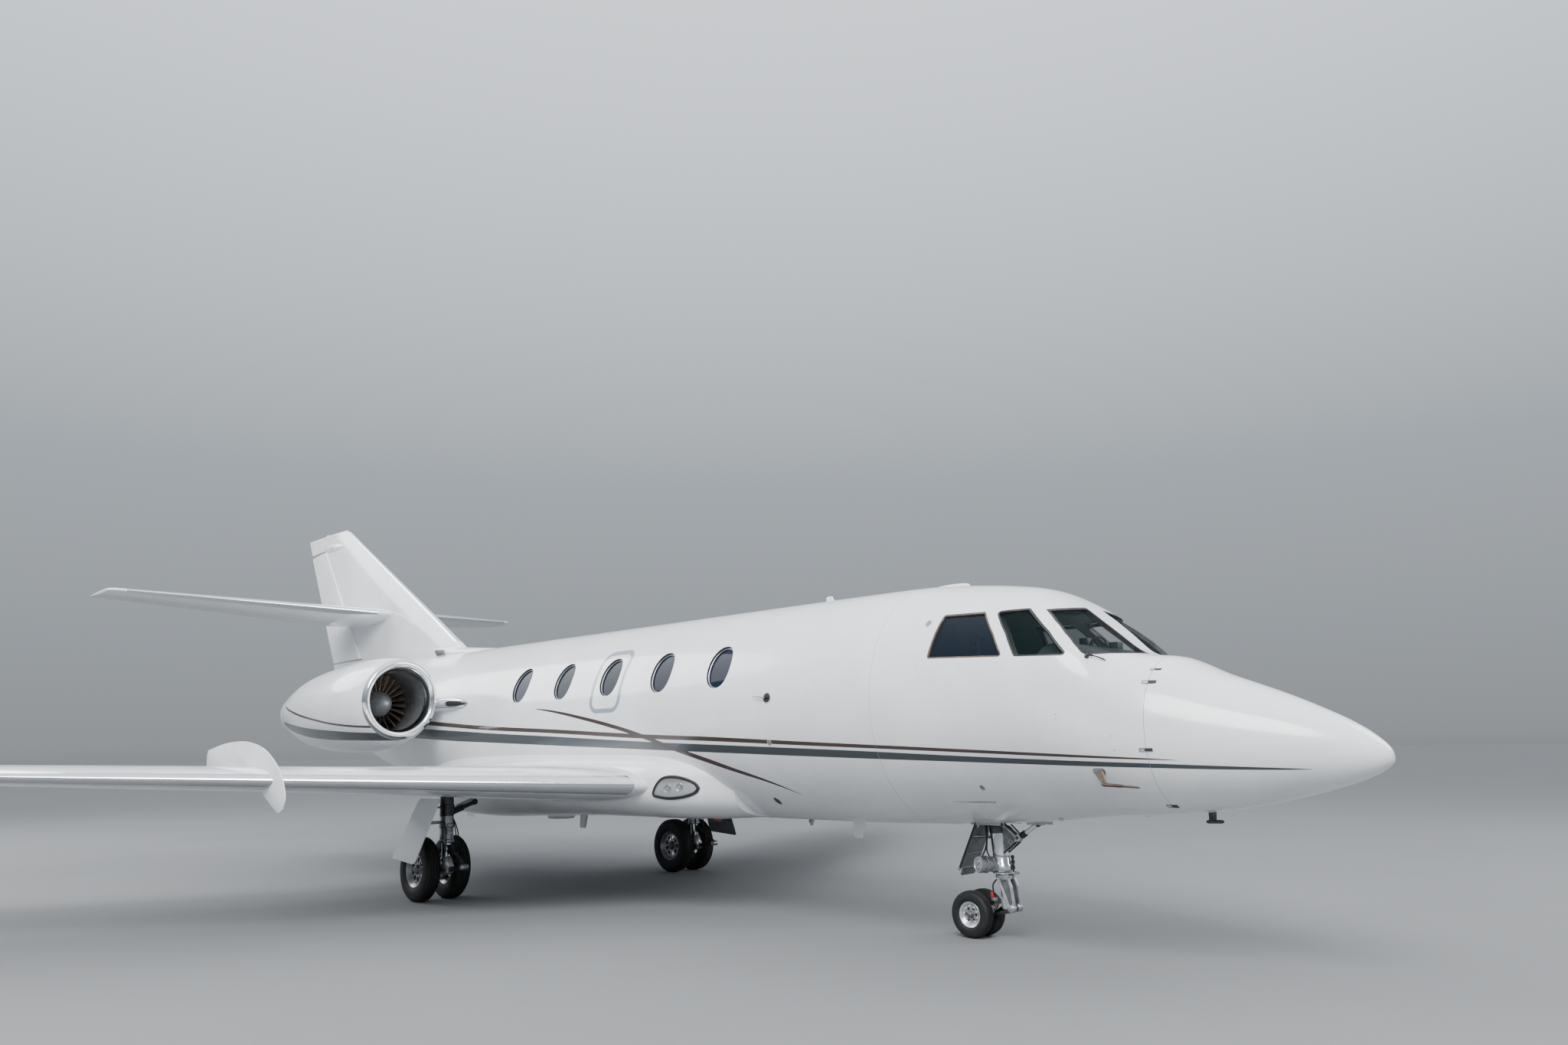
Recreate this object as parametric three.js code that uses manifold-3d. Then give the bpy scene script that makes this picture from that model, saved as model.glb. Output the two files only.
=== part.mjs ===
import * as THREE from 'three';
import { mergeVertices } from 'three/addons/utils/BufferGeometryUtils.js';
import Module from 'manifold-3d';

const wasm = await Module();
wasm.setup();

// Business jet, millimetres. Origin under the middle of its length, on the ground.
// +X runs to the nose, +Y to the port side, +Z up. Stations are counted aft from the nose tip.
const LENGTH = 17200;
const NOSE_X = LENGTH / 2;
const GAP = 0.3;
const WALL = 75;
const TAIL_WALL = 30;
const SEGMENTS = 32;

const SPLIT_RADOME = 1333;
const SPLIT_COCKPIT = 3450;
const SPLIT_TAIL = 10200;
const FLOOR_TOP = 1080;
const FLOOR_THICK = 60;

const HALF_SPAN = 8150;
const WING_LE = 5448;
const WING_LE_SLOPE = 0.601;
const WING_Z = 1140;
const WING_Z_SLOPE = 0.0395;
const WING_KINK_Y = 3000;

const ENGINE_Y = 1608;
const ENGINE_Z = 2148;
const FAN_R = 368;
const FAN_BLADES = 24;

const MAIN_S = 8880;
const MAIN_Y = 1730;
const MAIN_R = 325;
const MAIN_TYRE_W = 168;
const MAIN_TYRE_Y = 172;
const NOSE_S = 3200;
const NOSE_R = 182;
const NOSE_TYRE_W = 105;
const NOSE_TYRE_Y = 84;
const WHEEL_SIDES = 20;
const SURFACE_GAP = 8;

const PIN_R = 12;
const PIN_BORE = 12.9;
const PIN_SIDES = 12;
const PIN_REACH = 12;

const DOOR = { front: 3620, back: 4420, bottom: 1090, top: 2610, hingeY: 575, hingeZ: 1082, heel: 70 };

const paint = (colour, roughness = 0.4, metalness = 0) => (
  new THREE.MeshStandardMaterial({ color: colour, roughness, metalness })
);
const LOOK = {
  white: [0xeeeeec, 0.25, 0],
  metal: [0xc9cbce, 0.2, 1],
  steel: [0x9a9da1, 0.35, 0.9],
  dark: [0x2a2b2d, 0.6, 0],
  rubber: [0x1c1c1d, 0.85, 0],
  rim: [0xb4b6b8, 0.4, 0.7],
  glass: [0x35505c, 0.05, 0],
  floor: [0x8d7f6d, 0.9, 0],
  cream: [0xd8cbb0, 0.7, 0],
  leather: [0x3a332d, 0.6, 0],
  fan: [0x6b655f, 0.35, 0.8],
};

const group = new THREE.Group();

function addPart(name, geometry, look) {
  const [colour, roughness, metalness] = LOOK[look];
  const mesh = new THREE.Mesh(geometry, paint(colour, roughness, metalness));
  mesh.name = name;
  group.add(mesh);
}

function toManifold(geometry) {
  const copy = geometry.clone();
  copy.deleteAttribute('normal');
  copy.deleteAttribute('uv');
  const merged = mergeVertices(copy, 1e-3);
  return new wasm.Manifold(new wasm.Mesh({
    numProp: 3,
    vertProperties: new Float32Array(merged.attributes.position.array),
    triVerts: new Uint32Array(merged.index.array),
  }));
}

function toGeometry(solid) {
  const mesh = solid.getMesh();
  const geometry = new THREE.BufferGeometry();
  geometry.setAttribute('position', new THREE.BufferAttribute(new Float32Array(mesh.vertProperties), 3));
  geometry.setIndex(new THREE.BufferAttribute(new Uint32Array(mesh.triVerts), 1));
  return geometry;
}

function subtract(base, ...tools) {
  let solid = toManifold(base);
  for (const tool of tools) {
    solid = solid.subtract(toManifold(tool));
  }
  return toGeometry(solid);
}

function unite(base, ...others) {
  let solid = toManifold(base);
  for (const other of others) {
    solid = solid.add(toManifold(other));
  }
  return toGeometry(solid);
}

function intersect(base, other) {
  return toGeometry(toManifold(base).intersect(toManifold(other)));
}

// Closed skin through equal rings of points, each end capped across the ring. A turned column
// has its diagonals the other way round.
function loft(rings, turnedColumns = []) {
  const count = rings[0].length;
  const positions = rings.flat().flatMap((point) => [point[0], point[1], point[2]]);
  const faces = [];
  for (let r = 0; r < rings.length - 1; r += 1) {
    for (let i = 0; i < count; i += 1) {
      const a = r * count + i;
      const b = r * count + ((i + 1) % count);
      if (turnedColumns.includes(i)) {
        faces.push(a, b, a + count, b, b + count, a + count);
      } else {
        faces.push(a, b, b + count, a, b + count, a + count);
      }
    }
  }
  const last = (rings.length - 1) * count;
  for (let i = 0; i < Math.floor((count - 1) / 2); i += 1) {
    const j = count - 1 - i;
    faces.push(i, j, i + 1);
    faces.push(last + i, last + i + 1, last + j);
    if (j - 1 > i + 1) {
      faces.push(i + 1, j, j - 1);
      faces.push(last + i + 1, last + j - 1, last + j);
    }
  }
  const geometry = new THREE.BufferGeometry();
  geometry.setAttribute('position', new THREE.Float32BufferAttribute(positions, 3));
  geometry.setIndex(faces);
  return outward(geometry);
}

function signedVolume(geometry) {
  const p = geometry.attributes.position;
  const index = geometry.index.array;
  const a = new THREE.Vector3();
  const b = new THREE.Vector3();
  const c = new THREE.Vector3();
  let total = 0;
  for (let i = 0; i < index.length; i += 3) {
    a.fromBufferAttribute(p, index[i]);
    b.fromBufferAttribute(p, index[i + 1]);
    c.fromBufferAttribute(p, index[i + 2]);
    total += a.dot(b.cross(c));
  }
  return total / 6;
}

function outward(geometry) {
  if (signedVolume(geometry) < 0) {
    const index = geometry.index.array;
    for (let i = 0; i < index.length; i += 3) {
      const keep = index[i];
      index[i] = index[i + 1];
      index[i + 1] = keep;
    }
  }
  return geometry;
}

// Mirror image on the other side of the centre plane.
function mirrored(geometry) {
  const copy = geometry.index ? geometry.clone() : mergeVertices(geometry.clone(), 1e-3);
  copy.scale(1, -1, 1);
  return outward(copy);
}

// A block between two stations, two widths and two heights.
function block(s0, s1, y0, y1, z0, z1) {
  const geometry = new THREE.BoxGeometry(s1 - s0, y1 - y0, z1 - z0);
  geometry.translate(NOSE_X - (s0 + s1) / 2, (y0 + y1) / 2, (z0 + z1) / 2);
  return geometry;
}

// Prism over a plan outline of [station, y] corners.
function planPrism(outline, z0, z1) {
  const shape = new THREE.Shape(outline.map(([s, y]) => new THREE.Vector2(NOSE_X - s, y)));
  const geometry = new THREE.ExtrudeGeometry(shape, { depth: z1 - z0, bevelEnabled: false });
  geometry.translate(0, 0, z0);
  return geometry;
}

// Prism over a side outline of [station, z] corners, between two y values.
function sidePrism(outline, y0, y1) {
  const shape = new THREE.Shape(outline.map(([s, z]) => new THREE.Vector2(NOSE_X - s, z)));
  const geometry = new THREE.ExtrudeGeometry(shape, { depth: y1 - y0, bevelEnabled: false });
  geometry.rotateX(Math.PI / 2);
  geometry.translate(0, y1, 0);
  return geometry;
}

// Prism over a front outline of [y, z] corners, between two stations.
function frontPrism(outline, s0, s1) {
  const rings = [s0, s1].map((s) => outline.map(([y, z]) => [NOSE_X - s, y, z]));
  return loft(rings);
}

// A round bar between two points given as [station, y, z].
function bar(from, to, r0, r1 = r0, sides = 16) {
  const a = new THREE.Vector3(NOSE_X - from[0], from[1], from[2]);
  const b = new THREE.Vector3(NOSE_X - to[0], to[1], to[2]);
  const length = a.distanceTo(b);
  const geometry = new THREE.CylinderGeometry(r1, r0, length, sides);
  geometry.translate(0, length / 2, 0);
  const direction = b.clone().sub(a).normalize();
  geometry.applyQuaternion(new THREE.Quaternion().setFromUnitVectors(new THREE.Vector3(0, 1, 0), direction));
  geometry.translate(a.x, a.y, a.z);
  return geometry;
}

// Turned solid about a line along Y, from a profile of [radius, y] points.
function turned(profile, s, y, z, sides = 32) {
  const points = profile.map(([radius, along]) => new THREE.Vector2(radius, along));
  const lathe = new THREE.LatheGeometry(points, sides);
  lathe.deleteAttribute('normal');
  lathe.deleteAttribute('uv');
  const geometry = mergeVertices(lathe, 1e-3);
  geometry.translate(NOSE_X - s, y, z);
  return outward(geometry);
}

// Fuselage sections: crown, widest height, keel, half width and roundness of the upper half.
const FUSELAGE = [
  { s: 0, top: 1412, mid: 1400, bottom: 1388, half: 12, round: 2 },
  { s: 60, top: 1512, mid: 1412, bottom: 1318, half: 98, round: 2 },
  { s: 200, top: 1619, mid: 1435, bottom: 1251, half: 188, round: 2 },
  { s: 400, top: 1728, mid: 1457, bottom: 1187, half: 285, round: 2 },
  { s: 700, top: 1865, mid: 1490, bottom: 1110, half: 405, round: 2 },
  { s: 1000, top: 1985, mid: 1520, bottom: 1053, half: 525, round: 2.1 },
  { s: 1333, top: 2130, mid: 1560, bottom: 1012, half: 665, round: 2.2 },
  { s: 1525, top: 2148, mid: 1615, bottom: 999, half: 768, round: 3.2 },
  { s: 1700, top: 2296, mid: 1675, bottom: 992, half: 852, round: 3.7 },
  { s: 2010, top: 2562, mid: 1780, bottom: 967, half: 938, round: 2.6 },
  { s: 2120, top: 2642, mid: 1803, bottom: 955, half: 952, round: 2.3 },
  { s: 2300, top: 2725, mid: 1825, bottom: 935, half: 970, round: 2.2 },
  { s: 2600, top: 2785, mid: 1845, bottom: 910, half: 985, round: 2.05 },
  { s: 3000, top: 2835, mid: 1862, bottom: 893, half: 998, round: 2 },
  { s: 3450, top: 2868, mid: 1865, bottom: 872, half: 1005, round: 2 },
  { s: 4200, top: 2875, mid: 1865, bottom: 857, half: 1010, round: 2 },
  { s: 10200, top: 2875, mid: 1865, bottom: 857, half: 1010, round: 2 },
  { s: 11000, top: 2874, mid: 1900, bottom: 930, half: 978, round: 2 },
  { s: 12000, top: 2868, mid: 1984, bottom: 1100, half: 885, round: 2 },
  { s: 12900, top: 2852, mid: 2075, bottom: 1300, half: 770, round: 2 },
  { s: 13960, top: 2818, mid: 2198, bottom: 1579, half: 600, round: 2 },
  { s: 15000, top: 2755, mid: 2335, bottom: 1920, half: 380, round: 2 },
  { s: 15550, top: 2675, mid: 2415, bottom: 2155, half: 230, round: 2 },
  { s: 15700, top: 2580, mid: 2440, bottom: 2300, half: 120, round: 2 },
];

function fuselageAt(s) {
  let k = 0;
  while (k < FUSELAGE.length - 2 && FUSELAGE[k + 1].s <= s) {
    k += 1;
  }
  const a = FUSELAGE[k];
  const b = FUSELAGE[k + 1];
  const t = (s - a.s) / (b.s - a.s);
  const mix = (key) => a[key] + (b[key] - a[key]) * t;
  return { top: mix('top'), mid: mix('mid'), bottom: mix('bottom'), half: mix('half'), round: mix('round') };
}

function fuselageRing(s, grow) {
  const { top, mid, bottom, half, round } = fuselageAt(s);
  const ring = [];
  for (let i = 0; i < SEGMENTS; i += 1) {
    const angle = ((i + 0.5) / SEGMENTS) * Math.PI * 2;
    const power = Math.cos(angle) > 0 ? 2 / round : 1;
    const side = Math.sign(Math.sin(angle)) * Math.abs(Math.sin(angle)) ** power;
    const rise = Math.sign(Math.cos(angle)) * Math.abs(Math.cos(angle)) ** power;
    const height = (rise > 0 ? top - mid : mid - bottom) + grow;
    ring.push([NOSE_X - s, side * (half + grow), mid + rise * height]);
  }
  return ring;
}

function fuselageSolid(s0, s1, grow = 0) {
  const inner = FUSELAGE.map((row) => row.s).filter((s) => s > s0 + 1 && s < s1 - 1);
  return loft([s0, ...inner, s1].map((s) => fuselageRing(s, grow)));
}

function makeRadome() {
  const skin = fuselageSolid(0, SPLIT_RADOME - GAP);
  return subtract(skin, fuselageSolid(200, SPLIT_RADOME + 1, -40));
}

// Cockpit window outlines on the starboard side, as [station, z].
const SIDE_PANES = {
  mid: [[2137, 2138], [1770, 2118], [2120, 2492], [2374, 2502]],
  rear: [[2919, 2172], [2246, 2140], [2482, 2501], [2855, 2514]],
};
const FRONT_PANE = [[80, 2162], [735, 2140], [480, 2524], [76, 2542]];

function shrink(outline, amount) {
  const cx = outline.reduce((sum, p) => sum + p[0], 0) / outline.length;
  const cy = outline.reduce((sum, p) => sum + p[1], 0) / outline.length;
  return outline.map(([x, y]) => {
    const length = Math.hypot(x - cx, y - cy);
    const keep = (length - amount) / length;
    return [cx + (x - cx) * keep, cy + (y - cy) * keep];
  });
}

function paneCutters(amount) {
  return {
    front: frontPrism(shrink(FRONT_PANE, amount), 1250, 2300),
    mid: sidePrism(shrink(SIDE_PANES.mid, amount), 350, 1100),
    rear: sidePrism(shrink(SIDE_PANES.rear, amount), 350, 1100),
  };
}

function cockpitShell(grow = 0, wall = WALL) {
  const outer = fuselageSolid(SPLIT_RADOME, SPLIT_COCKPIT - GAP, grow);
  return subtract(outer, fuselageSolid(SPLIT_RADOME - 1, SPLIT_COCKPIT + 1, -wall));
}

function makeCockpitSection() {
  const cuts = paneCutters(0);
  const holes = Object.values(cuts).flatMap((cut) => [cut, mirrored(cut)]);
  const bay = block(2240, 3260, -170, 170, 700, 1000);
  return subtract(cockpitShell(), ...holes, bay);
}

function makePane(name) {
  const shell = cockpitShell(-12, 32);
  return intersect(shell, paneCutters(0.6)[name]);
}

const WINDOW = { first: 5290, pitch: 828, count: 5, z: 2254, width: 300, height: 390 };

function ovalCutter(s, z, width, height, y0, y1, sides = 20) {
  const outline = [];
  for (let i = 0; i < sides; i += 1) {
    const angle = (i / sides) * Math.PI * 2;
    outline.push([s + (Math.cos(angle) * width) / 2, z + (Math.sin(angle) * height) / 2]);
  }
  return sidePrism(outline, y0, y1);
}

function roundedOutline(s0, s1, z0, z1, radius, steps = 3) {
  const outline = [];
  const corners = [[s1 - radius, z1 - radius, 0], [s0 + radius, z1 - radius, 90],
    [s0 + radius, z0 + radius, 180], [s1 - radius, z0 + radius, 270]];
  for (const [cs, cz, start] of corners) {
    for (let i = 0; i <= steps; i += 1) {
      const angle = ((start + (90 * i) / steps) * Math.PI) / 180;
      outline.push([cs + Math.cos(angle) * radius, cz + Math.sin(angle) * radius]);
    }
  }
  return outline;
}

function windowCutters() {
  const cuts = [];
  for (let i = 0; i < WINDOW.count; i += 1) {
    const s = WINDOW.first + i * WINDOW.pitch;
    cuts.push(ovalCutter(s, WINDOW.z, WINDOW.width, WINDOW.height, 600, 1200));
    cuts.push(ovalCutter(s, WINDOW.z, WINDOW.width, WINDOW.height, -1200, -600));
  }
  return cuts;
}

const EXIT = { front: 6706, back: 7186, bottom: 1905, top: 2565 };

function exitCutter(grow) {
  const outline = roundedOutline(EXIT.front - grow, EXIT.back + grow, EXIT.bottom - grow, EXIT.top + grow, 90);
  return sidePrism(outline, -1200, -450);
}

function doorPin(radius, extra) {
  const { front, back, hingeY, hingeZ } = DOOR;
  return bar([front - 8 - extra, hingeY, hingeZ], [back + 8 + extra, hingeY, hingeZ], radius, radius, PIN_SIDES);
}

// Doorway outline with square feet, its bottom edge round about the hinge line.
function doorCutter(grow, rise) {
  const { front, back, bottom, top, hingeY, hingeZ, heel } = DOOR;
  const head = roundedOutline(front - grow, back + grow, bottom, top + rise, 110).slice(0, 8);
  const outline = [...head, [front - grow, bottom - 6], [back + grow, bottom - 6]];
  const round = bar([front - grow, hingeY, hingeZ], [back + grow, hingeY, hingeZ], heel + grow, heel + grow, 32);
  return unite(sidePrism(outline, 300, 1200), round);
}

function cabinShell() {
  const outer = fuselageSolid(SPLIT_COCKPIT, SPLIT_TAIL - GAP);
  return subtract(outer, fuselageSolid(SPLIT_COCKPIT - 1, SPLIT_TAIL + 1, -WALL));
}

function makeCabinSection() {
  return subtract(cabinShell(), ...windowCutters(), exitCutter(0), doorCutter(8, 12), doorPin(PIN_BORE, 20));
}

function makeExitHatch() {
  return subtract(intersect(cabinShell(), exitCutter(-0.5)), ...windowCutters());
}

function makePassengerDoor() {
  return unite(intersect(cabinShell(), doorCutter(0, 0)), doorPin(PIN_R, 14));
}

function makeTailCone() {
  const outer = fuselageSolid(SPLIT_TAIL, 15700);
  return subtract(outer, fuselageSolid(SPLIT_TAIL - 1, 15300, -TAIL_WALL));
}

function makeFloor() {
  const slab = block(1520, 9440, -900, 900, FLOOR_TOP - FLOOR_THICK, FLOOR_TOP);
  return intersect(slab, fuselageSolid(1400, 9600, -WALL - GAP));
}

function makeCockpitBulkhead() {
  const plate = intersect(block(3470, 3510, -1100, 1100, FLOOR_TOP + GAP, 3000), fuselageSolid(3400, 3600, -WALL - GAP));
  return subtract(plate, block(3400, 3600, -330, 330, FLOOR_TOP - 50, 2600));
}

function makeRearBulkhead() {
  return intersect(block(9450, 9500, -1100, 1100, 700, 3000), fuselageSolid(9300, 9700, -WALL - GAP));
}

function makePanel() {
  const slab = sidePrism([[2120, 1560], [2160, 1560], [2190, 1900], [2250, 1935], [2250, 1965], [1960, 1975],
    [1960, 1930], [2110, 1900]], -1000, 1000);
  return intersect(slab, fuselageSolid(1700, 2600, -WALL - GAP));
}

function makePilotSeat(y) {
  const pan = block(2620, 3080, y - 230, y + 230, 1330, 1460);
  const inner = Math.sign(y) * 290;
  const post = block(2740, 2960, inner - 70, inner + 70, FLOOR_TOP + GAP, 1340);
  const back = sidePrism([[2990, 1450], [3090, 1450], [3200, 2150], [3120, 2150]], y - 220, y + 220);
  return unite(pan, post, back);
}

// Wing-to-body fairing sections, widest height 1250.
const FAIRING = [
  { s: 5350, bottom: 880, half: 700, top: 1500 },
  { s: 5750, bottom: 852, half: 960, top: 1560 },
  { s: 6150, bottom: 842, half: 1110, top: 1610 },
  { s: 7400, bottom: 834, half: 1160, top: 1640 },
  { s: 8500, bottom: 800, half: 1165, top: 1640 },
  { s: 9660, bottom: 760, half: 1120, top: 1620 },
  { s: 10300, bottom: 770, half: 1000, top: 1600 },
  { s: 10750, bottom: 795, half: 860, top: 1550 },
  { s: 11250, bottom: 940, half: 620, top: 1480 },
];

function fairingSolid(grow) {
  const rings = FAIRING.map(({ s, bottom, half, top }) => {
    const ring = [];
    for (let i = 0; i < 32; i += 1) {
      const angle = ((i + 0.5) / 32) * Math.PI * 2;
      const power = Math.cos(angle) > 0 ? 1 : 0.62;
      const side = Math.sign(Math.sin(angle)) * Math.abs(Math.sin(angle)) ** power;
      const rise = Math.sign(Math.cos(angle)) * Math.abs(Math.cos(angle)) ** power;
      const height = (rise > 0 ? top - 1250 : 1250 - bottom) + grow;
      ring.push([NOSE_X - s, side * (half + grow), 1250 + rise * height]);
    }
    return ring;
  });
  return loft(rings);
}

function makeFairing() {
  return subtract(fairingSolid(0), fuselageSolid(5000, 11600, GAP));
}

const CHORD_STEPS = [1, 0.86, 0.72, 0.56, 0.4, 0.26, 0.14, 0.06, 0.015];

function halfThickness(x, ratio) {
  return 5 * ratio * (0.2969 * Math.sqrt(x) - 0.126 * x - 0.3516 * x ** 2 + 0.2843 * x ** 3 - 0.1036 * x ** 4);
}

// Aerofoil ring in [station, height] about its nose.
function aerofoil(chord, ratio, camber, twist) {
  const at = (x, sign) => {
    const mean = camber * 4 * x * (1 - x) - Math.tan(twist) * x;
    const rear = x === 1 ? 0.0022 : 0;
    return [x * chord, (mean + sign * (halfThickness(x, ratio) + rear)) * chord];
  };
  const upper = CHORD_STEPS.map((x) => at(x, 1));
  const lower = [...CHORD_STEPS].reverse().map((x) => at(x, -1));
  return [...upper, [0, 0], ...lower];
}

function wingAt(y) {
  const le = WING_LE + WING_LE_SLOPE * y;
  const inner = 9600 + 275 * (y / WING_KINK_Y);
  const outer = 9875 + 1875 * ((y - WING_KINK_Y) / (HALF_SPAN - WING_KINK_Y));
  const te = y < WING_KINK_Y ? inner : outer;
  return {
    le,
    chord: te - le,
    z: WING_Z + WING_Z_SLOPE * y,
    ratio: 0.105 - 0.025 * (y / HALF_SPAN),
    twist: 0.026 - 0.026 * (y / HALF_SPAN),
  };
}

function wingSolid() {
  const stations = [900, WING_KINK_Y, 5300, 8020, 8110, HALF_SPAN];
  const shrinkTip = [1, 1, 1, 1, 0.86, 0.6];
  return loft(stations.map((y, i) => {
    const { le, chord, z, ratio, twist } = wingAt(y);
    const cut = (1 - shrinkTip[i]) * 0.25 * chord;
    return aerofoil(chord - cut, ratio * shrinkTip[i], 0.012, twist).map(([s, h]) => (
      [NOSE_X - (le + cut + s), y, z + h]
    ));
  }));
}

// Hinge point and nose radius of a trailing surface at a span station.
function wingHinge(y, fraction) {
  const { le, chord, z, ratio, twist } = wingAt(y);
  const mean = (0.012 * 4 * fraction * (1 - fraction) - Math.tan(twist) * fraction) * chord;
  return {
    y,
    s: le + chord * fraction,
    z: z + mean,
    r: halfThickness(fraction, ratio) * chord - 1,
    tail: le + chord,
    tailZ: z - Math.tan(twist) * chord,
  };
}

// Span, hinge place on the chord and the gaps to the ribs at both ends.
const WING_SURFACES = [
  { name: 'flap_inner', from: 1334, to: 2966, fraction: 0.76, gaps: [16, 16] },
  { name: 'flap_outer', from: 3040, to: 5262, fraction: 0.74, gaps: [22, 22] },
  { name: 'aileron', from: 5332, to: 7756, fraction: 0.74, gaps: [16, 16] },
];

// Pins at both ends of a hinge line given as two [station, y, z] points, or the bores they run in.
function hingePins(a, b, gaps, radius, reach) {
  const from = new THREE.Vector3(...a);
  const to = new THREE.Vector3(...b);
  const step = to.clone().sub(from).normalize();
  return [[from, -1], [to, 1]].map(([end, sign], i) => {
    const tip = end.clone().addScaledVector(step, sign * (gaps[i] + reach));
    const root = end.clone().addScaledVector(step, -sign * 30);
    return bar(root.toArray(), tip.toArray(), radius, radius, PIN_SIDES);
  });
}

// Trailing surface with a round nose about its hinge line, from the two end stations.
function surfaceLoft(ends) {
  return loft(ends.map((end) => {
    const ring = [end.at(end.tail, 3)];
    for (const angle of [90, 55, 20, -20, -55, -90]) {
      const a = (angle * Math.PI) / 180;
      ring.push(end.at(end.s - Math.cos(a) * end.r, Math.sin(a) * end.r));
    }
    ring.push(end.at(end.tail, -3));
    return ring;
  }));
}

function wingSurface({ from, to, fraction, gaps }) {
  const ends = [from, to].map((y) => {
    const hinge = wingHinge(y, fraction);
    const at = (s, h) => {
      const along = Math.max(0, (s - hinge.s) / (hinge.tail - hinge.s));
      return [NOSE_X - s, y, hinge.z + (hinge.tailZ - hinge.z) * along + h];
    };
    return { ...hinge, at };
  });
  const [a, b] = ends.map((end) => [end.s, end.y, end.z]);
  return unite(surfaceLoft(ends), ...hingePins(a, b, gaps, PIN_R, PIN_REACH));
}

function wingBores({ from, to, fraction, gaps }) {
  const [a, b] = [from, to].map((y) => wingHinge(y, fraction)).map((end) => [end.s, end.y, end.z]);
  return hingePins(a, b, gaps, PIN_BORE, PIN_REACH + 4);
}

function coveCutter({ from, to, fraction, gaps }) {
  const a = wingHinge(from, fraction);
  const b = wingHinge(to, fraction);
  const slope = (b.s - b.r - (a.s - a.r)) / (to - from);
  const front = (y) => a.s - a.r - SURFACE_GAP / Math.cos(Math.atan(slope)) + slope * (y - from);
  const y0 = from - gaps[0];
  const y1 = to + gaps[1];
  return planPrism([[front(y0), y0], [front(y1), y1], [12500, y1], [12500, y0]], 500, 2500);
}

// Upright fence wrapped round the wing's leading edge, as a [station, z] outline.
const FENCE_Y = 3885;
const FENCE_THICK = 10;
const FENCE = [
  [9450, 1290], [9470, 1400], [9488, 1530], [9462, 1573], [9010, 1631], [8560, 1644],
  [8300, 1621], [8040, 1567], [7840, 1487], [7705, 1410], [7640, 1358], [7540, 1246],
  [7500, 1143], [7535, 1060], [7600, 1032], [7672, 1045], [8000, 1180], [8060, 1245],
];

function makeFence(side) {
  const y0 = side > 0 ? FENCE_Y : -FENCE_Y - FENCE_THICK;
  return sidePrism(FENCE, y0, y0 + FENCE_THICK);
}

function makeWing(side) {
  const trims = [block(9272, 10600, 2900, 3100, 500, 2500), block(10218, 11500, 5200, 5400, 500, 2500)];
  const cuts = [wingSolid(), ...WING_SURFACES.map(coveCutter), ...trims, ...WING_SURFACES.flatMap(wingBores)];
  const [whole, ...coves] = side > 0 ? cuts : cuts.map(mirrored);
  const panel = subtract(whole, fuselageSolid(5000, 11600, GAP), fairingSolid(GAP), ...coves);
  return unite(panel, makeFence(side));
}

// Fin outline: leading edge, rear edge and thickness ratio by height.
const FIN = [
  { z: 2500, le: 10800, te: 15500, half: 95 },
  { z: 2881, le: 10600, te: 15745, half: 112 },
  { z: 2960, le: 11520, te: 15800, half: 120 },
  { z: 3403, le: 12296, te: 16086, half: 108 },
  { z: 5000, le: 15162, te: 17046, half: 68 },
  { z: 5210, le: 15539, te: 17172, half: 60 },
  { z: 5270, le: 15700, te: 17200, half: 40 },
];

function finSolid() {
  return loft(FIN.map(({ z, le, te, half }) => {
    const chord = te - le;
    const ring = aerofoil(chord, (2 * half) / chord, 0, 0);
    return ring.map(([s, h]) => [NOSE_X - (le + s), h, z]);
  }));
}

// The rudder's ends, its gaps to the fin along the hinge line, and the fall of its top edge to the rear.
const RUDDER = { low: 3016, high: 4979, lowGap: 28, highGap: 18, fall: 0.057, pinGaps: [37, 24] };

function rudderHinge(z) {
  const t = (z - 3000) / (5000 - 3000);
  const te = z < 3403 ? 15800 + ((z - 2960) * 286) / 443 : 16086 + ((z - 3403) * 960) / 1597;
  return { s: 14704 + 1724 * t, r: 78 - 38 * t, tail: te };
}

function makeRudder() {
  const heights = [RUDDER.low, 3403, RUDDER.high];
  const blade = surfaceLoft(heights.map((z) => {
    const hinge = rudderHinge(z);
    const fall = z === RUDDER.high ? RUDDER.fall : 0;
    return { ...hinge, at: (s, h) => [NOSE_X - s, h, z - fall * Math.max(0, s - hinge.s)] };
  }));
  return unite(blade, ...rudderPins(PIN_R, PIN_REACH));
}

function rudderPins(radius, reach) {
  const [a, b] = [RUDDER.low, RUDDER.high].map((z) => [rudderHinge(z).s, 0, z]);
  return hingePins(a, b, RUDDER.pinGaps, radius, reach);
}

function rudderCove(half = 400) {
  const lowZ = RUDDER.low - RUDDER.lowGap;
  const highZ = RUDDER.high + RUDDER.highGap;
  const front = (z) => rudderHinge(z).s - rudderHinge(z).r - SURFACE_GAP * 1.35;
  return sidePrism([[front(lowZ), lowZ], [18000, lowZ], [18000, highZ], [front(highZ), highZ]], -half, half);
}

function tailplaneAt(y) {
  const t = y / 3370;
  return { le: 13600 + 2320 * t, chord: 2300 - 1250 * t, z: 3625 + 335 * t, ratio: 0.1 - 0.01 * t };
}

function tailplaneSolid(grow = 0) {
  const stations = [-3370, -3330, -3250, 0, 3250, 3330, 3370];
  const shrinkTip = [0.6, 0.86, 1, 1, 1, 0.86, 0.6];
  return loft(stations.map((y, i) => {
    const { le, chord, z, ratio } = tailplaneAt(Math.abs(y));
    const cut = (1 - shrinkTip[i]) * 0.25 * chord;
    const ring = aerofoil(chord - cut + 2 * grow, ratio * shrinkTip[i] * (1 + grow / 60), 0, 0);
    return ring.map(([s, h]) => [NOSE_X - (le + cut - grow + s), y, z + h]);
  }));
}

const ELEVATOR = { from: 136, to: 3226, fraction: 0.7, splay: 0.52, gap: 16 };

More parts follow.
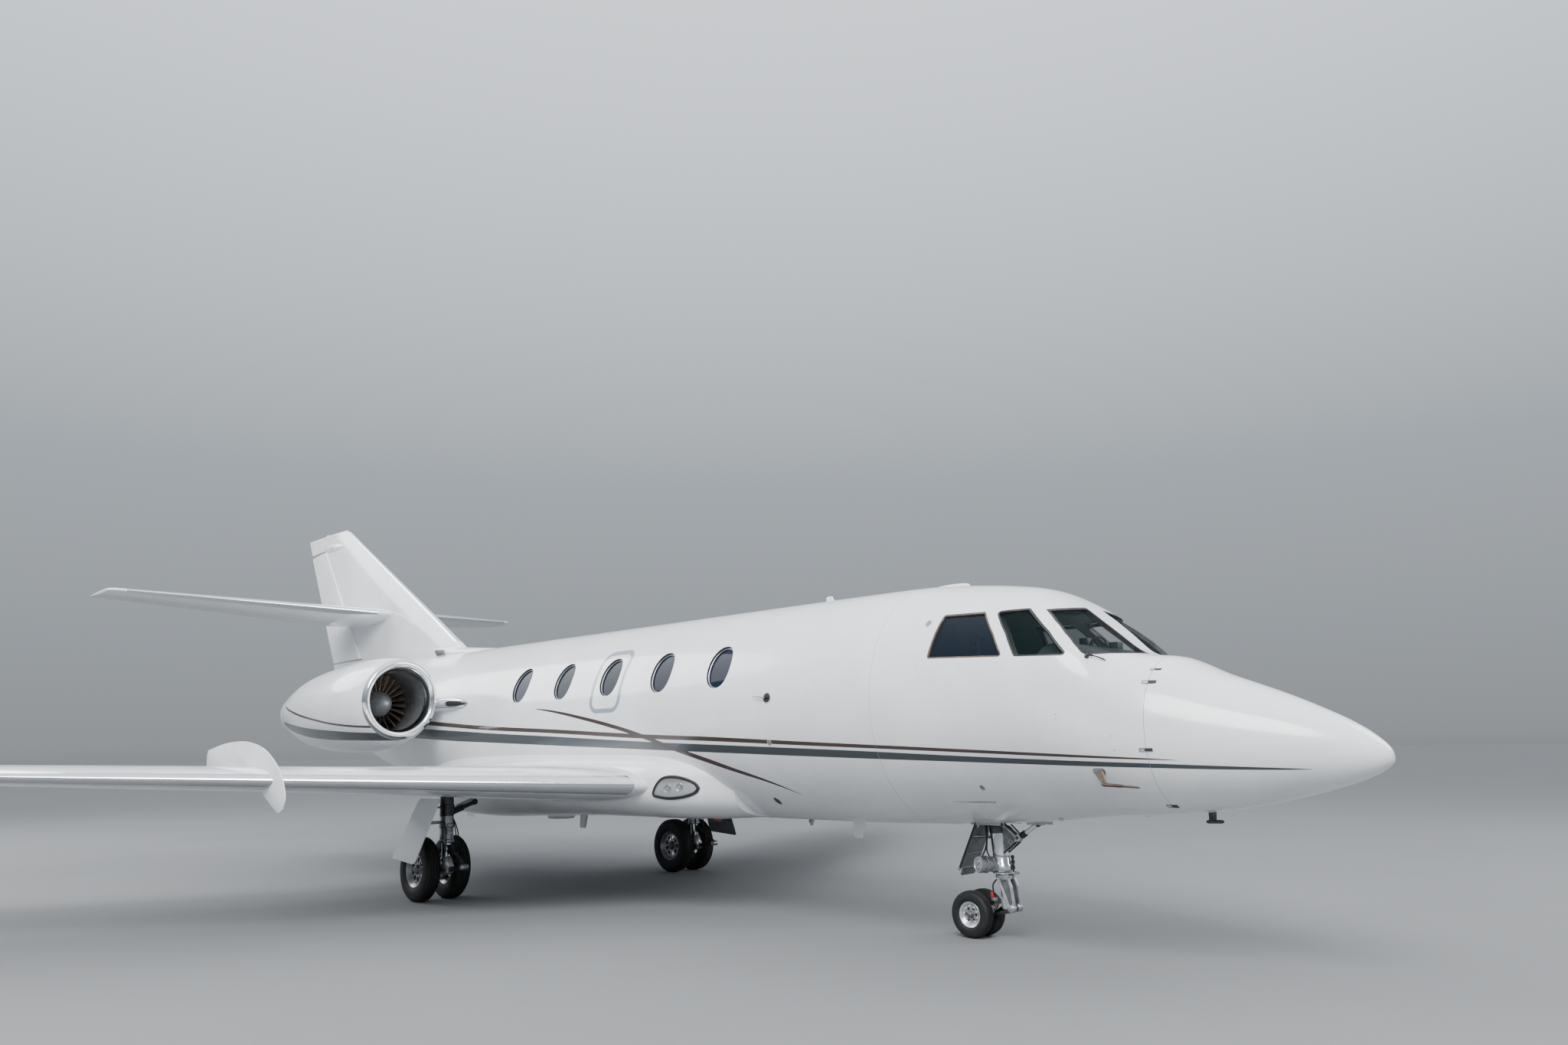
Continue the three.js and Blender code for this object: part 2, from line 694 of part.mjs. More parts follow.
function elevatorHinge(y) {
  const { le, chord, z, ratio } = tailplaneAt(y);
  const { fraction } = ELEVATOR;
  return { s: le + chord * fraction, z, r: halfThickness(fraction, ratio) * chord - 1, tail: le + chord };
}

function makeElevator() {
  const ends = [ELEVATOR.from, ELEVATOR.to].map((y, i) => {
    const hinge = elevatorHinge(y);
    const at = (s, h) => {
      const extra = i === 0 ? Math.max(0, s - hinge.s) * ELEVATOR.splay : 0;
      const rise = (extra * 335) / 3370;
      return [NOSE_X - (s + extra * 0.317), y + extra, hinge.z + rise + h];
    };
    return { ...hinge, at };
  });
  return unite(surfaceLoft(ends), ...elevatorPins(PIN_R, PIN_REACH));
}

function elevatorPins(radius, reach) {
  const ends = [ELEVATOR.from, ELEVATOR.to].map((y) => [elevatorHinge(y).s, y, elevatorHinge(y).z]);
  return hingePins(...ends, [ELEVATOR.gap, ELEVATOR.gap], radius, reach);
}

function elevatorCove() {
  const y0 = ELEVATOR.from - ELEVATOR.gap;
  const y1 = ELEVATOR.to + ELEVATOR.gap;
  const a = elevatorHinge(y0);
  const b = elevatorHinge(y1);
  const shift = SURFACE_GAP * 1.1;
  return planPrism([[a.s - a.r - shift, y0], [b.s - b.r - shift, y1], [18000, y1], [18000, y0]], 3000, 4500);
}

function makeTailplane() {
  const cuts = [elevatorCove(), ...elevatorPins(PIN_BORE, PIN_REACH + 4)];
  const trim = block(15190, 18000, -125, 125, 3000, 4500);
  return subtract(tailplaneSolid(), ...cuts, ...cuts.map(mirrored), trim, rudderCove(92));
}

function makeFin() {
  return subtract(finSolid(), fuselageSolid(9000, 15700, GAP), tailplaneSolid(0.5), rudderCove(),
    ...rudderPins(PIN_BORE, PIN_REACH + 4));
}

// Nacelle sections: outer radius and centre drop; the duct and nozzle have their own radii.
const NACELLE = [
  { s: 10100, r: 462, drop: 0 },
  { s: 10112, r: 478, drop: 0 },
  { s: 10180, r: 502, drop: 6 },
  { s: 10400, r: 541, drop: 24 },
  { s: 10850, r: 558, drop: 47 },
  { s: 11300, r: 546, drop: 62 },
  { s: 11750, r: 520, drop: 70 },
  { s: 12250, r: 465, drop: 76 },
  { s: 12780, r: 376, drop: 82 },
  { s: 13350, r: 268, drop: 90 },
];
const DUCT = [
  { s: 13350, r: 252, drop: 90 },
  { s: 12780, r: 300, drop: 82 },
  { s: 12250, r: 400, drop: 76 },
  { s: 11300, r: 430, drop: 62 },
  { s: 11050, r: 430, drop: 47 },
  { s: 11050, r: 380, drop: 40 },
  { s: 10650, r: 380, drop: 30 },
  { s: 10300, r: 372, drop: 12 },
  { s: 10150, r: 402, drop: 3 },
  { s: 10104, r: 440, drop: 0 },
];
const FAN_S = 10760;
const FAN_DROP = 35;

// Pylon leading edge: it sweeps aft from the fuselage side to the nacelle behind its lip.
const PYLON = [
  { y: 700, s: 9640 },
  { y: 985, s: 9700 },
  { y: 1122, s: 10190 },
  { y: 1608, s: 10600 },
];
const PYLON_TAIL = 12980;
const PYLON_Z = 2110;
const PYLON_THICK = 205;

function tubeLoft(rows, side, closed) {
  const count = 24;
  const positions = [];
  for (const { s, r, drop } of rows) {
    for (let i = 0; i < count; i += 1) {
      const angle = (i / count) * Math.PI * 2;
      positions.push(NOSE_X - s, side * ENGINE_Y + Math.sin(angle) * r, ENGINE_Z - drop + Math.cos(angle) * r);
    }
  }
  const faces = [];
  const last = closed ? rows.length : rows.length - 1;
  for (let k = 0; k < last; k += 1) {
    const next = (k + 1) % rows.length;
    for (let i = 0; i < count; i += 1) {
      const j = (i + 1) % count;
      faces.push(k * count + i, k * count + j, next * count + j);
      faces.push(k * count + i, next * count + j, next * count + i);
    }
  }
  const geometry = new THREE.BufferGeometry();
  geometry.setAttribute('position', new THREE.Float32BufferAttribute(positions, 3));
  geometry.setIndex(faces);
  return outward(geometry);
}

function makeNacelle(side) {
  return tubeLoft([...NACELLE, ...DUCT], side, true);
}

function nacelleSolid(side, grow) {
  const rings = NACELLE.map(({ s, r, drop }) => {
    const ring = [];
    for (let i = 0; i < 24; i += 1) {
      const angle = (i / 24) * Math.PI * 2;
      ring.push([NOSE_X - s, side * ENGINE_Y + Math.sin(angle) * (r + grow),
        ENGINE_Z - drop + Math.cos(angle) * (r + grow)]);
    }
    return ring;
  });
  return loft(rings);
}

function makePylon(side) {
  const rings = PYLON.map(({ y, s }) => {
    const ring = aerofoil(PYLON_TAIL - s, PYLON_THICK / (PYLON_TAIL - s), 0, 0);
    return ring.map(([chordwise, h]) => [NOSE_X - (s + chordwise), side * y, PYLON_Z + h]);
  });
  return subtract(loft(rings), fuselageSolid(9000, 15700, GAP), nacelleSolid(side, GAP));
}

function makeEngineCore(side) {
  const axisZ = ENGINE_Z - FAN_DROP;
  const bore = bar([11000, side * ENGINE_Y, axisZ], [11180, side * ENGINE_Y, axisZ], 40.9, 40.9, 24);
  const core = bar([11080, side * ENGINE_Y, ENGINE_Z - 60], [12400, side * ENGINE_Y, ENGINE_Z - 70], 360, 300, 16);
  const plug = bar([12390, side * ENGINE_Y, ENGINE_Z - 70], [13420, side * ENGINE_Y, ENGINE_Z - 90], 215, 60, 16);
  const mount = block(11500, 11900, side > 0 ? 1120 : -1300, side > 0 ? 1300 : -1120, 2040, 2110);
  return subtract(unite(core, plug, mount), subtract(nacelleSolid(side, 50), nacelleCavity(side, -GAP)), bore);
}

function nacelleCavity(side, grow) {
  const rows = DUCT.filter((row) => row.r !== 380 && row.s > 11000);
  const rings = rows.map(({ s, r, drop }) => {
    const ring = [];
    for (let i = 0; i < 24; i += 1) {
      const angle = (i / 24) * Math.PI * 2;
      ring.push([NOSE_X - s, side * ENGINE_Y + Math.sin(angle) * (r + grow),
        ENGINE_Z - drop + Math.cos(angle) * (r + grow)]);
    }
    return ring;
  });
  return loft(rings);
}

function makeFan(side) {
  const y = side * ENGINE_Y;
  const z = ENGINE_Z - FAN_DROP;
  const hub = bar([FAN_S - 50, y, z], [FAN_S + 90, y, z], 120, 130, 12);
  const cone = bar([FAN_S - 330, y, z], [FAN_S - 45, y, z], 8, 118, 12);
  const shaft = bar([FAN_S + 60, y, z], [11150, y, z], 40, 40, 12);
  let solid = toManifold(hub).add(toManifold(cone)).add(toManifold(shaft));
  for (let i = 0; i < FAN_BLADES; i += 1) {
    const blade = loft([[100, 50, 0.5], [FAN_R, 66, 1.1]].map(([radius, chord, pitch]) => {
      const dx = (Math.cos(pitch) * chord) / 2;
      const dy = (Math.sin(pitch) * chord) / 2;
      const nx = Math.sin(pitch) * 4;
      const ny = Math.cos(pitch) * 4;
      return [[dx + nx, dy - ny, radius], [dx - nx, dy + ny, radius], [-dx - nx, -dy + ny, radius],
        [-dx + nx, -dy - ny, radius]];
    }), [3]);
    blade.rotateX(((i + 0.5) / FAN_BLADES) * Math.PI * 2);
    blade.translate(NOSE_X - FAN_S - 20, y, z);
    solid = solid.add(toManifold(blade));
  }
  return toGeometry(solid);
}

function tyreProfile(r, width, bead) {
  const w = width / 2;
  return [[bead, w * 0.8], [(bead + r) / 2, w], [r * 0.91, w * 0.92], [r * 0.978, w * 0.66],
    [r, w * 0.28], [r, -w * 0.28], [r * 0.978, -w * 0.66], [r * 0.91, -w * 0.92], [(bead + r) / 2, -w],
    [bead, -w * 0.8], [bead, w * 0.8]];
}

function makeTyre(s, y, z, r, width, bead) {
  return turned(tyreProfile(r, width, bead), s, y, z, WHEEL_SIDES);
}

// Two rims on one axle, turned about the wheel line.
function makeWheelPair(s, y, z, bead, offset, width, axle) {
  const w = width / 2;
  const lip = bead - GAP;
  const half = [[axle, offset - w * 0.6], [bead * 0.75, offset - w * 0.8], [lip, offset - w * 0.8],
    [lip, offset + w * 0.8], [bead * 0.82, offset + w * 0.8], [bead * 0.74, offset + w * 0.3],
    [axle * 1.5, offset + w * 0.35], [axle * 1.3, offset + w * 0.75], [0, offset + w * 0.75]];
  const mirror = half.map(([r, a]) => [r, -a]).reverse();
  return turned([...mirror, ...half], s, y, z, WHEEL_SIDES);
}

// Centre line of the upper main leg, as [station, z] at its top and foot.
const MAIN_LEG = { top: [8712, 1130], foot: [8672, 600], radius: 72 };

function mainLegBar(side, grow) {
  const { top, foot, radius } = MAIN_LEG;
  const y = side * MAIN_Y;
  return bar([top[0], y, top[1]], [foot[0], y, foot[1]], radius + grow, radius + grow, 14);
}

// Trailing-arm leg: the strut stands ahead of the axle and an arm runs back to it.
function makeMainLeg(side) {
  const y = side * MAIN_Y;
  const upper = mainLegBar(side, 0);
  const piston = bar([8675, y, 620], [8652, y, 400], 48, 48, 12);
  const shoe = bar([8654, y, 430], [8598, y, 335], 46, 46, 12);
  const arm = bar([8590, y, 335], [MAIN_S, y, MAIN_R], 46, 50, 12);
  const eye = bar([MAIN_S, y - 62, MAIN_R], [MAIN_S, y + 62, MAIN_R], 66, 66, 14);
  const link1 = bar([8640, y, 545], [8290, y, 372], 22, 22, 6);
  const link2 = bar([8290, y, 366], [8600, y, 330], 22, 22, 6);
  const knee = bar([8290, y - 40, 368], [8290, y + 40, 368], 30, 30, 8);
  const brace = bar([8695, y, 900], [9060, side * 1120, 1010], 34, 34, 8);
  const bore = bar([MAIN_S, y - 80, MAIN_R], [MAIN_S, y + 80, MAIN_R], 35.8, 35.8, WHEEL_SIDES);
  const solid = unite(upper, piston, shoe, arm, eye, link1, link2, knee, brace);
  return subtract(solid, bore, wingBelow(side), fairingSolid(GAP));
}

// Whole wing with the running gap below it, for trimming what meets it from beneath.
function wingBelow(side) {
  const whole = side > 0 ? wingSolid() : mirrored(wingSolid());
  const lowered = whole.clone();
  lowered.translate(0, 0, -GAP);
  return unite(whole, lowered);
}

function makeLegDoor(side) {
  const rings = [[1960, 8420, 8810, 1060], [2095, 8640, 9140, 425]].map(([y, s0, s1, z]) => (
    [[NOSE_X - s0, side * y, z], [NOSE_X - s1, side * y, z], [NOSE_X - s1, side * (y + 22), z],
      [NOSE_X - s0, side * (y + 22), z]]
  ));
  const panel = loft(rings);
  const link = bar([8700, side * 1740, 800], [8760, side * 2030, 800], 16, 16, 10);
  return subtract(unite(panel, link), wingBelow(side), mainLegBar(side, 0.4));
}

// The steering axis runs down the strut; the axle trails behind its foot.
const NOSE_AXIS = { top: [2985, 0, 990], foot: [2915, 0, 250] };

function alongNoseLeg(z) {
  const { top, foot } = NOSE_AXIS;
  const t = (top[2] - z) / (top[2] - foot[2]);
  return [top[0] + (foot[0] - top[0]) * t, 0, z];
}

function noseTube(grow) {
  return bar(alongNoseLeg(996), alongNoseLeg(520), 68 + grow, 68 + grow, 16);
}

function makeNoseLeg() {
  const barrel = bar([3045, -190, 582], [2945, 60, 572], 64, 64, 16);
  const bracket = sidePrism([[2930, 870], [2930, 640], [2790, 745], [2790, 815]], -16, 16);
  const strut = bar([2575, 0, 985], [2795, 0, 780], 26, 26, 8);
  const trunnion = bar([2980, GAP - 170, 945], [2980, 170 - GAP, 945], 40, 40, 10);
  const bore = bar(alongNoseLeg(610), alongNoseLeg(400), 42.8, 42.8, 24);
  return subtract(unite(noseTube(0), barrel, bracket, strut, trunnion), bore);
}

function makeNoseFork() {
  const piston = bar(alongNoseLeg(600), alongNoseLeg(240), 42, 42, 24);
  const shoe = bar(alongNoseLeg(498), alongNoseLeg(468), 66, 66, 14);
  const blades = [-46, 22].map((y) => (
    sidePrism([[2960, 496], [2866, 496], [2832, 400], [2818, 290], [2825, 226], [2885, 226], [2908, 330]], y, y + 24)
  ));
  const knee = bar([2850, -70, 250], [2850, 70, 250], 30, 30, 12);
  const arm = bar([2850, 0, 250], [2915, 0, 250], 24, 26, 10);
  const trail = bar([2912, 0, 258], [NOSE_S, 0, NOSE_R], 26, 26, 12);
  const eye = bar([NOSE_S, -38, NOSE_R], [NOSE_S, 38, NOSE_R], 52, 52, 14);
  const bore = bar([NOSE_S, -80, NOSE_R], [NOSE_S, 80, NOSE_R], 25.8, 25.8, WHEEL_SIDES);
  return subtract(unite(piston, shoe, ...blades, knee, arm, trail, eye), bore);
}

function makeNoseDoor() {
  const rings = [-150, 110].map((y) => (
    [[NOSE_X - 3075, y, 905], [NOSE_X - 3095, y, 905], [NOSE_X - 3290, y, 510], [NOSE_X - 3270, y, 510]]
  ));
  const panel = loft(rings);
  const arm = bar(alongNoseLeg(780), [3147, 0, 780], 16, 16, 10);
  return subtract(unite(panel, arm), noseTube(0.4));
}

addPart('radome', makeRadome(), 'white');
addPart('cockpit_section', makeCockpitSection(), 'white');
addPart('cabin_section', makeCabinSection(), 'white');
addPart('tail_cone', makeTailCone(), 'white');
addPart('cabin_floor', makeFloor(), 'floor');
addPart('cockpit_bulkhead', makeCockpitBulkhead(), 'cream');
addPart('rear_bulkhead', makeRearBulkhead(), 'cream');
addPart('instrument_panel', makePanel(), 'dark');
addPart('pilot_seat_port', makePilotSeat(420), 'leather');
addPart('pilot_seat_stbd', makePilotSeat(-420), 'leather');
for (const name of ['front', 'mid', 'rear']) {
  const pane = makePane(name);
  addPart(`window_${name}_port`, pane, 'glass');
  addPart(`window_${name}_stbd`, mirrored(pane), 'glass');
}
addPart('exit_hatch', makeExitHatch(), 'white');
addPart('passenger_door', makePassengerDoor(), 'white');
addPart('belly_fairing', makeFairing(), 'white');
addPart('wing_port', makeWing(1), 'white');
addPart('wing_stbd', makeWing(-1), 'white');
for (const surface of WING_SURFACES) {
  const panel = wingSurface(surface);
  addPart(`${surface.name}_port`, panel, 'white');
  addPart(`${surface.name}_stbd`, mirrored(panel), 'white');
}
addPart('fin', makeFin(), 'white');
addPart('rudder', makeRudder(), 'white');
addPart('tailplane', makeTailplane(), 'white');
const elevator = makeElevator();
addPart('elevator_port', elevator, 'white');
addPart('elevator_stbd', mirrored(elevator), 'white');
for (const [tag, side] of [['port', 1], ['stbd', -1]]) {
  addPart(`nacelle_${tag}`, makeNacelle(side), 'white');
  addPart(`pylon_${tag}`, makePylon(side), 'white');
  addPart(`engine_core_${tag}`, makeEngineCore(side), 'steel');
  addPart(`fan_${tag}`, makeFan(side), 'fan');
  addPart(`main_leg_${tag}`, makeMainLeg(side), 'steel');
  addPart(`leg_door_${tag}`, makeLegDoor(side), 'white');
  const y = side * MAIN_Y;
  addPart(`main_wheels_${tag}`, makeWheelPair(MAIN_S, y, MAIN_R, 165, MAIN_TYRE_Y, MAIN_TYRE_W, 35), 'rim');
  addPart(`main_tyre_in_${tag}`, makeTyre(MAIN_S, y - side * MAIN_TYRE_Y, MAIN_R, MAIN_R, MAIN_TYRE_W, 165), 'rubber');
  addPart(`main_tyre_out_${tag}`, makeTyre(MAIN_S, y + side * MAIN_TYRE_Y, MAIN_R, MAIN_R, MAIN_TYRE_W, 165), 'rubber');
}
addPart('nose_leg', makeNoseLeg(), 'steel');
addPart('nose_door', makeNoseDoor(), 'dark');
addPart('nose_fork', makeNoseFork(), 'steel');
addPart('nose_wheels', makeWheelPair(NOSE_S, 0, NOSE_R, 88, NOSE_TYRE_Y, NOSE_TYRE_W, 25), 'rim');
addPart('nose_tyre_port', makeTyre(NOSE_S, NOSE_TYRE_Y, NOSE_R, NOSE_R, NOSE_TYRE_W, 88), 'rubber');
addPart('nose_tyre_stbd', makeTyre(NOSE_S, -NOSE_TYRE_Y, NOSE_R, NOSE_R, NOSE_TYRE_W, 88), 'rubber');

export default group;
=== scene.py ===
import math

import bmesh
import bpy
import numpy as np
from mathutils import Matrix, Vector


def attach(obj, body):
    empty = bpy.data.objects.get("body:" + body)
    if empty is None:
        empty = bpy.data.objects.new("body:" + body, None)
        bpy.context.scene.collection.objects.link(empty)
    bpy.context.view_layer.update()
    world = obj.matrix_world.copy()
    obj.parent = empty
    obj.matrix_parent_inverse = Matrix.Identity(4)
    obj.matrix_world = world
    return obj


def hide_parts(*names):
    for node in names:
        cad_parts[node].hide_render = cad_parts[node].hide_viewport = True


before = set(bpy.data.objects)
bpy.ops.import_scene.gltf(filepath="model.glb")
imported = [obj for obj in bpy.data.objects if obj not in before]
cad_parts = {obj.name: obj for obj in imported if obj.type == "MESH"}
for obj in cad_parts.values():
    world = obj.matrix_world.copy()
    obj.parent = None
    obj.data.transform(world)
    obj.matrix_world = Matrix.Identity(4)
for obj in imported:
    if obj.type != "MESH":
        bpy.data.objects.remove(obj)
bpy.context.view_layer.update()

# Sizes in metres. Stations run aft from the nose tip, y to port, z up from the ground.
NOSE_X = 8.6
SPLIT_RADOME = 1.333
SPLIT_COCKPIT = 3.45
SPLIT_TAIL = 10.2
TAIL_END = 15.7
WALL = 0.075
JOINT = 0.0012
SIDES = {"port": 1, "stbd": -1}

# Fuselage sections: station, crown, widest height, keel, half width, roundness of the upper half.
FUSELAGE = [
    (0.0, 1.412, 1.400, 1.388, 0.012, 2.0),
    (0.06, 1.512, 1.412, 1.318, 0.098, 2.0),
    (0.2, 1.619, 1.435, 1.251, 0.188, 2.0),
    (0.4, 1.728, 1.457, 1.187, 0.285, 2.0),
    (0.7, 1.865, 1.490, 1.110, 0.405, 2.0),
    (1.0, 1.985, 1.520, 1.053, 0.525, 2.1),
    (1.333, 2.130, 1.560, 1.012, 0.665, 2.2),
    (1.525, 2.148, 1.615, 0.999, 0.768, 3.2),
    (1.7, 2.296, 1.675, 0.992, 0.852, 3.7),
    (2.01, 2.562, 1.780, 0.967, 0.938, 2.6),
    (2.12, 2.642, 1.803, 0.955, 0.952, 2.3),
    (2.3, 2.725, 1.825, 0.935, 0.970, 2.2),
    (2.6, 2.785, 1.845, 0.910, 0.985, 2.05),
    (3.0, 2.835, 1.862, 0.893, 0.998, 2.0),
    (3.45, 2.868, 1.865, 0.872, 1.005, 2.0),
    (4.2, 2.875, 1.865, 0.857, 1.010, 2.0),
    (10.2, 2.875, 1.865, 0.857, 1.010, 2.0),
    (11.0, 2.874, 1.900, 0.930, 0.978, 2.0),
    (12.0, 2.868, 1.984, 1.100, 0.885, 2.0),
    (12.9, 2.852, 2.075, 1.300, 0.770, 2.0),
    (13.96, 2.818, 2.198, 1.579, 0.600, 2.0),
    (15.0, 2.755, 2.335, 1.920, 0.380, 2.0),
    (15.55, 2.675, 2.415, 2.155, 0.230, 2.0),
    (15.7, 2.580, 2.440, 2.300, 0.120, 2.0),
]

# Belly fairing sections: station, keel, half width, top. Its widest height is FAIRING_MID.
FAIRING = [
    (5.35, 0.880, 0.700, 1.500),
    (5.75, 0.852, 0.960, 1.560),
    (6.15, 0.842, 1.110, 1.610),
    (7.40, 0.834, 1.160, 1.640),
    (8.50, 0.800, 1.165, 1.640),
    (9.66, 0.760, 1.120, 1.620),
    (10.30, 0.770, 1.000, 1.600),
    (10.75, 0.795, 0.860, 1.550),
    (11.25, 0.940, 0.620, 1.480),
]
FAIRING_MID = 1.25

# Cockpit panes: side outlines as (station, height), the front one as (y, height).
PANE_MID = [(2.166, 2.135), (1.771, 2.120), (1.939, 2.308), (2.175, 2.514), (2.422, 2.508), (2.269, 2.313)]
PANE_REAR = [(2.920, 2.168), (2.253, 2.139), (2.360, 2.317), (2.516, 2.514), (2.884, 2.522)]
PANE_FRONT = [(0.080, 2.152), (0.560, 2.134), (0.764, 2.121), (0.755, 2.206), (0.724, 2.297), (0.663, 2.394),
              (0.574, 2.498), (0.122, 2.541), (0.130, 2.437), (0.119, 2.337), (0.099, 2.239)]

WINDOW_FIRST = 5.29
WINDOW_PITCH = 0.828
WINDOW_COUNT = 5
WINDOW_Z = 2.254
WINDOW_WIDTH = 0.300
WINDOW_HEIGHT = 0.390

EXIT = {"front": 6.740, "back": 7.165, "bottom": 1.932, "top": 2.492, "radius": 0.09}
DOOR = {"front": 3.62, "back": 4.42, "bottom": 1.09, "top": 2.61, "radius": 0.11,
        "hinge_y": 0.575, "hinge_z": 1.082, "heel": 0.07}

HALF_SPAN = 8.15
WING_KINK_Y = 3.0
WING_ROOT_Y = 0.96
WING_SURFACES = [
    ("flap_inner", 1.334, 2.966, 0.76, 0.016, 0.016),
    ("flap_outer", 3.040, 5.262, 0.74, 0.022, 0.022),
    ("aileron", 5.332, 7.756, 0.74, 0.016, 0.016),
]
SURFACE_GAP = 0.008
# Slots between the trailing surfaces: front and back station, inner and outer y.
WING_SLOTS = [(9.272, 10.6, 2.9, 3.1), (10.218, 11.5, 5.2, 5.4)]

# How the edges, height, thickness and twist of the wing change along the span.
WING_LEAD = 5.448
WING_SWEEP = 0.601
WING_TRAIL_ROOT = 9.6
WING_TRAIL_KINK = 9.875
WING_TRAIL_INNER = 0.275
WING_TRAIL_OUTER = 1.875
WING_Z = 1.14
WING_DIHEDRAL = 0.0395
WING_RATIO = 0.105
WING_RATIO_FALL = 0.025
WING_TWIST = 0.026

# The same for the tailplane, from its centre to its tip.
TAIL_LEAD = 13.6
TAIL_SWEEP = 2.32
TAIL_CHORD = 2.3
TAIL_TAPER = 1.25
TAIL_Z = 3.625
TAIL_RISE = 0.335
TAIL_RATIO = 0.1
TAIL_RATIO_FALL = 0.01
TAIL_TIP_START = 3.25
TAIL_TIP_LENGTH = 0.12

# Fin rows: height, leading edge, trailing edge, half thickness.
FIN = [
    (2.500, 10.800, 15.500, 0.095),
    (2.881, 10.600, 15.745, 0.112),
    (2.960, 11.520, 15.800, 0.120),
    (3.403, 12.296, 16.086, 0.108),
    (5.000, 15.162, 17.046, 0.068),
    (5.210, 15.539, 17.172, 0.060),
    (5.270, 15.700, 17.200, 0.040),
]
RUDDER_LOW = 3.016
RUDDER_HIGH = 4.979
TAIL_HALF = 3.37
ELEVATOR = {"from": 0.136, "to": 3.226, "fraction": 0.70, "splay": 0.52, "gap": 0.016}

ENGINE_Y = 1.608
ENGINE_Z = 2.148
FAN_S = 10.76
FAN_DROP = 0.035
FAN_R = 0.368
FAN_BLADES = 24

# Nacelle sections, outside and then inside: station, radius, drop of the centre.
NACELLE = [
    (10.100, 0.418, 0.000),
    (10.108, 0.441, 0.000),
    (10.140, 0.464, 0.003),
    (10.220, 0.490, 0.010),
    (10.400, 0.527, 0.024),
    (10.850, 0.558, 0.047),
    (11.300, 0.546, 0.062),
    (11.750, 0.518, 0.070),
    (12.200, 0.465, 0.076),
    (12.600, 0.382, 0.080),
    (13.000, 0.276, 0.086),
]
DUCT = [
    (10.100, 0.418, 0.000),
    (10.108, 0.394, 0.000),
    (10.140, 0.370, 0.003),
    (10.220, 0.350, 0.008),
    (10.420, 0.352, 0.020),
    (10.640, 0.377, 0.030),
    (11.050, 0.383, 0.040),
]
NOZZLE = [
    (13.000, 0.264, 0.086),
    (12.600, 0.306, 0.080),
    (12.200, 0.396, 0.076),
    (11.300, 0.432, 0.062),
]
NACELLE_END = 13.0
LIP_JOINT = 10.150
# Pylon leading edge: y and station.
PYLON = [(0.700, 9.640), (0.985, 9.700), (1.122, 10.190), (1.608, 10.600)]
PYLON_TAIL = 12.98
PYLON_Z = 2.110
PYLON_THICK = 0.205

MAIN_S = 8.88
MAIN_Y = 1.73
MAIN_R = 0.325
MAIN_TYRE_Y = 0.172
NOSE_S = 3.200
NOSE_R = 0.182
NOSE_TYRE_Y = 0.084
NOSE_TYRE_W = 0.105


# Curves and tables

def unit(vector):
    return vector / np.linalg.norm(vector)


def full_turn(count):
    """Angles of a whole turn, its end left out."""
    return np.linspace(0, 2 * math.pi, count, endpoint=False)


def pchip(xs, ys):
    """Smooth curve through points that makes no waves of its own between them."""
    xs, ys = np.asarray(xs, float), np.asarray(ys, float)
    step = np.diff(xs)
    slope = np.diff(ys) / step
    tangent = np.zeros_like(ys)
    for i in range(1, len(xs) - 1):
        if slope[i - 1] * slope[i] > 0:
            a = 2 * step[i] + step[i - 1]
            b = step[i] + 2 * step[i - 1]
            tangent[i] = (a + b) / (a / slope[i - 1] + b / slope[i])
    tangent[0], tangent[-1] = slope[0], slope[-1]

    def value(x):
        x = np.clip(np.asarray(x, float), xs[0], xs[-1])
        i = np.clip(np.searchsorted(xs, x, side="right") - 1, 0, len(step) - 1)
        t = (x - xs[i]) / step[i]
        rest = 1 - t
        return (ys[i] * (1 + 2 * t) * rest * rest + tangent[i] * step[i] * t * rest * rest
                + ys[i + 1] * t * t * (3 - 2 * t) - tangent[i + 1] * step[i] * t * t * rest)

    return value


def fair_table(rows, blur, key=lambda s: s, count=2400):
    """Columns of a section table as one smooth function of the station."""
    table = np.asarray(rows, float)
    knots = key(table[:, 0])
    grid = np.linspace(knots[0], knots[-1], count)
    columns = np.stack([pchip(knots, table[:, c])(grid) for c in range(1, table.shape[1])])
    sigma = blur / (grid[1] - grid[0])
    reach = int(3 * sigma)
    weights = np.exp(-0.5 * (np.arange(-reach, reach + 1) / sigma) ** 2)
    weights /= weights.sum()
    smooth = []
    for column in columns:
        head = 2 * column[0] - column[1:reach + 1][::-1]
        tail = 2 * column[-1] - column[-reach - 1:-1][::-1]
        smooth.append(np.convolve(np.concatenate([head, column, tail]), weights, "valid"))

    def value(s):
        at = key(np.asarray(s, float))
        return [np.interp(at, grid, column) for column in smooth]

    return value


def spline(points, steps=8):
    """Smooth curve through a few points in space."""
    points = np.asarray(points, float)
    if len(points) < 3:
        return points
    gaps = np.linalg.norm(np.diff(points, axis=0), axis=1) ** 0.5
    knots = np.concatenate([[0], np.cumsum(gaps)])
    tangents = np.gradient(points, knots, axis=0)
    curve = [points[0]]
    for i in range(len(points) - 1):
        h = knots[i + 1] - knots[i]
        for k in range(1, steps + 1):
            t = k / steps
            rest = 1 - t
            curve.append(points[i] * (1 + 2 * t) * rest * rest + tangents[i] * h * t * rest * rest
                         + points[i + 1] * t * t * (3 - 2 * t) - tangents[i + 1] * h * t * t * rest)
    return np.array(curve)


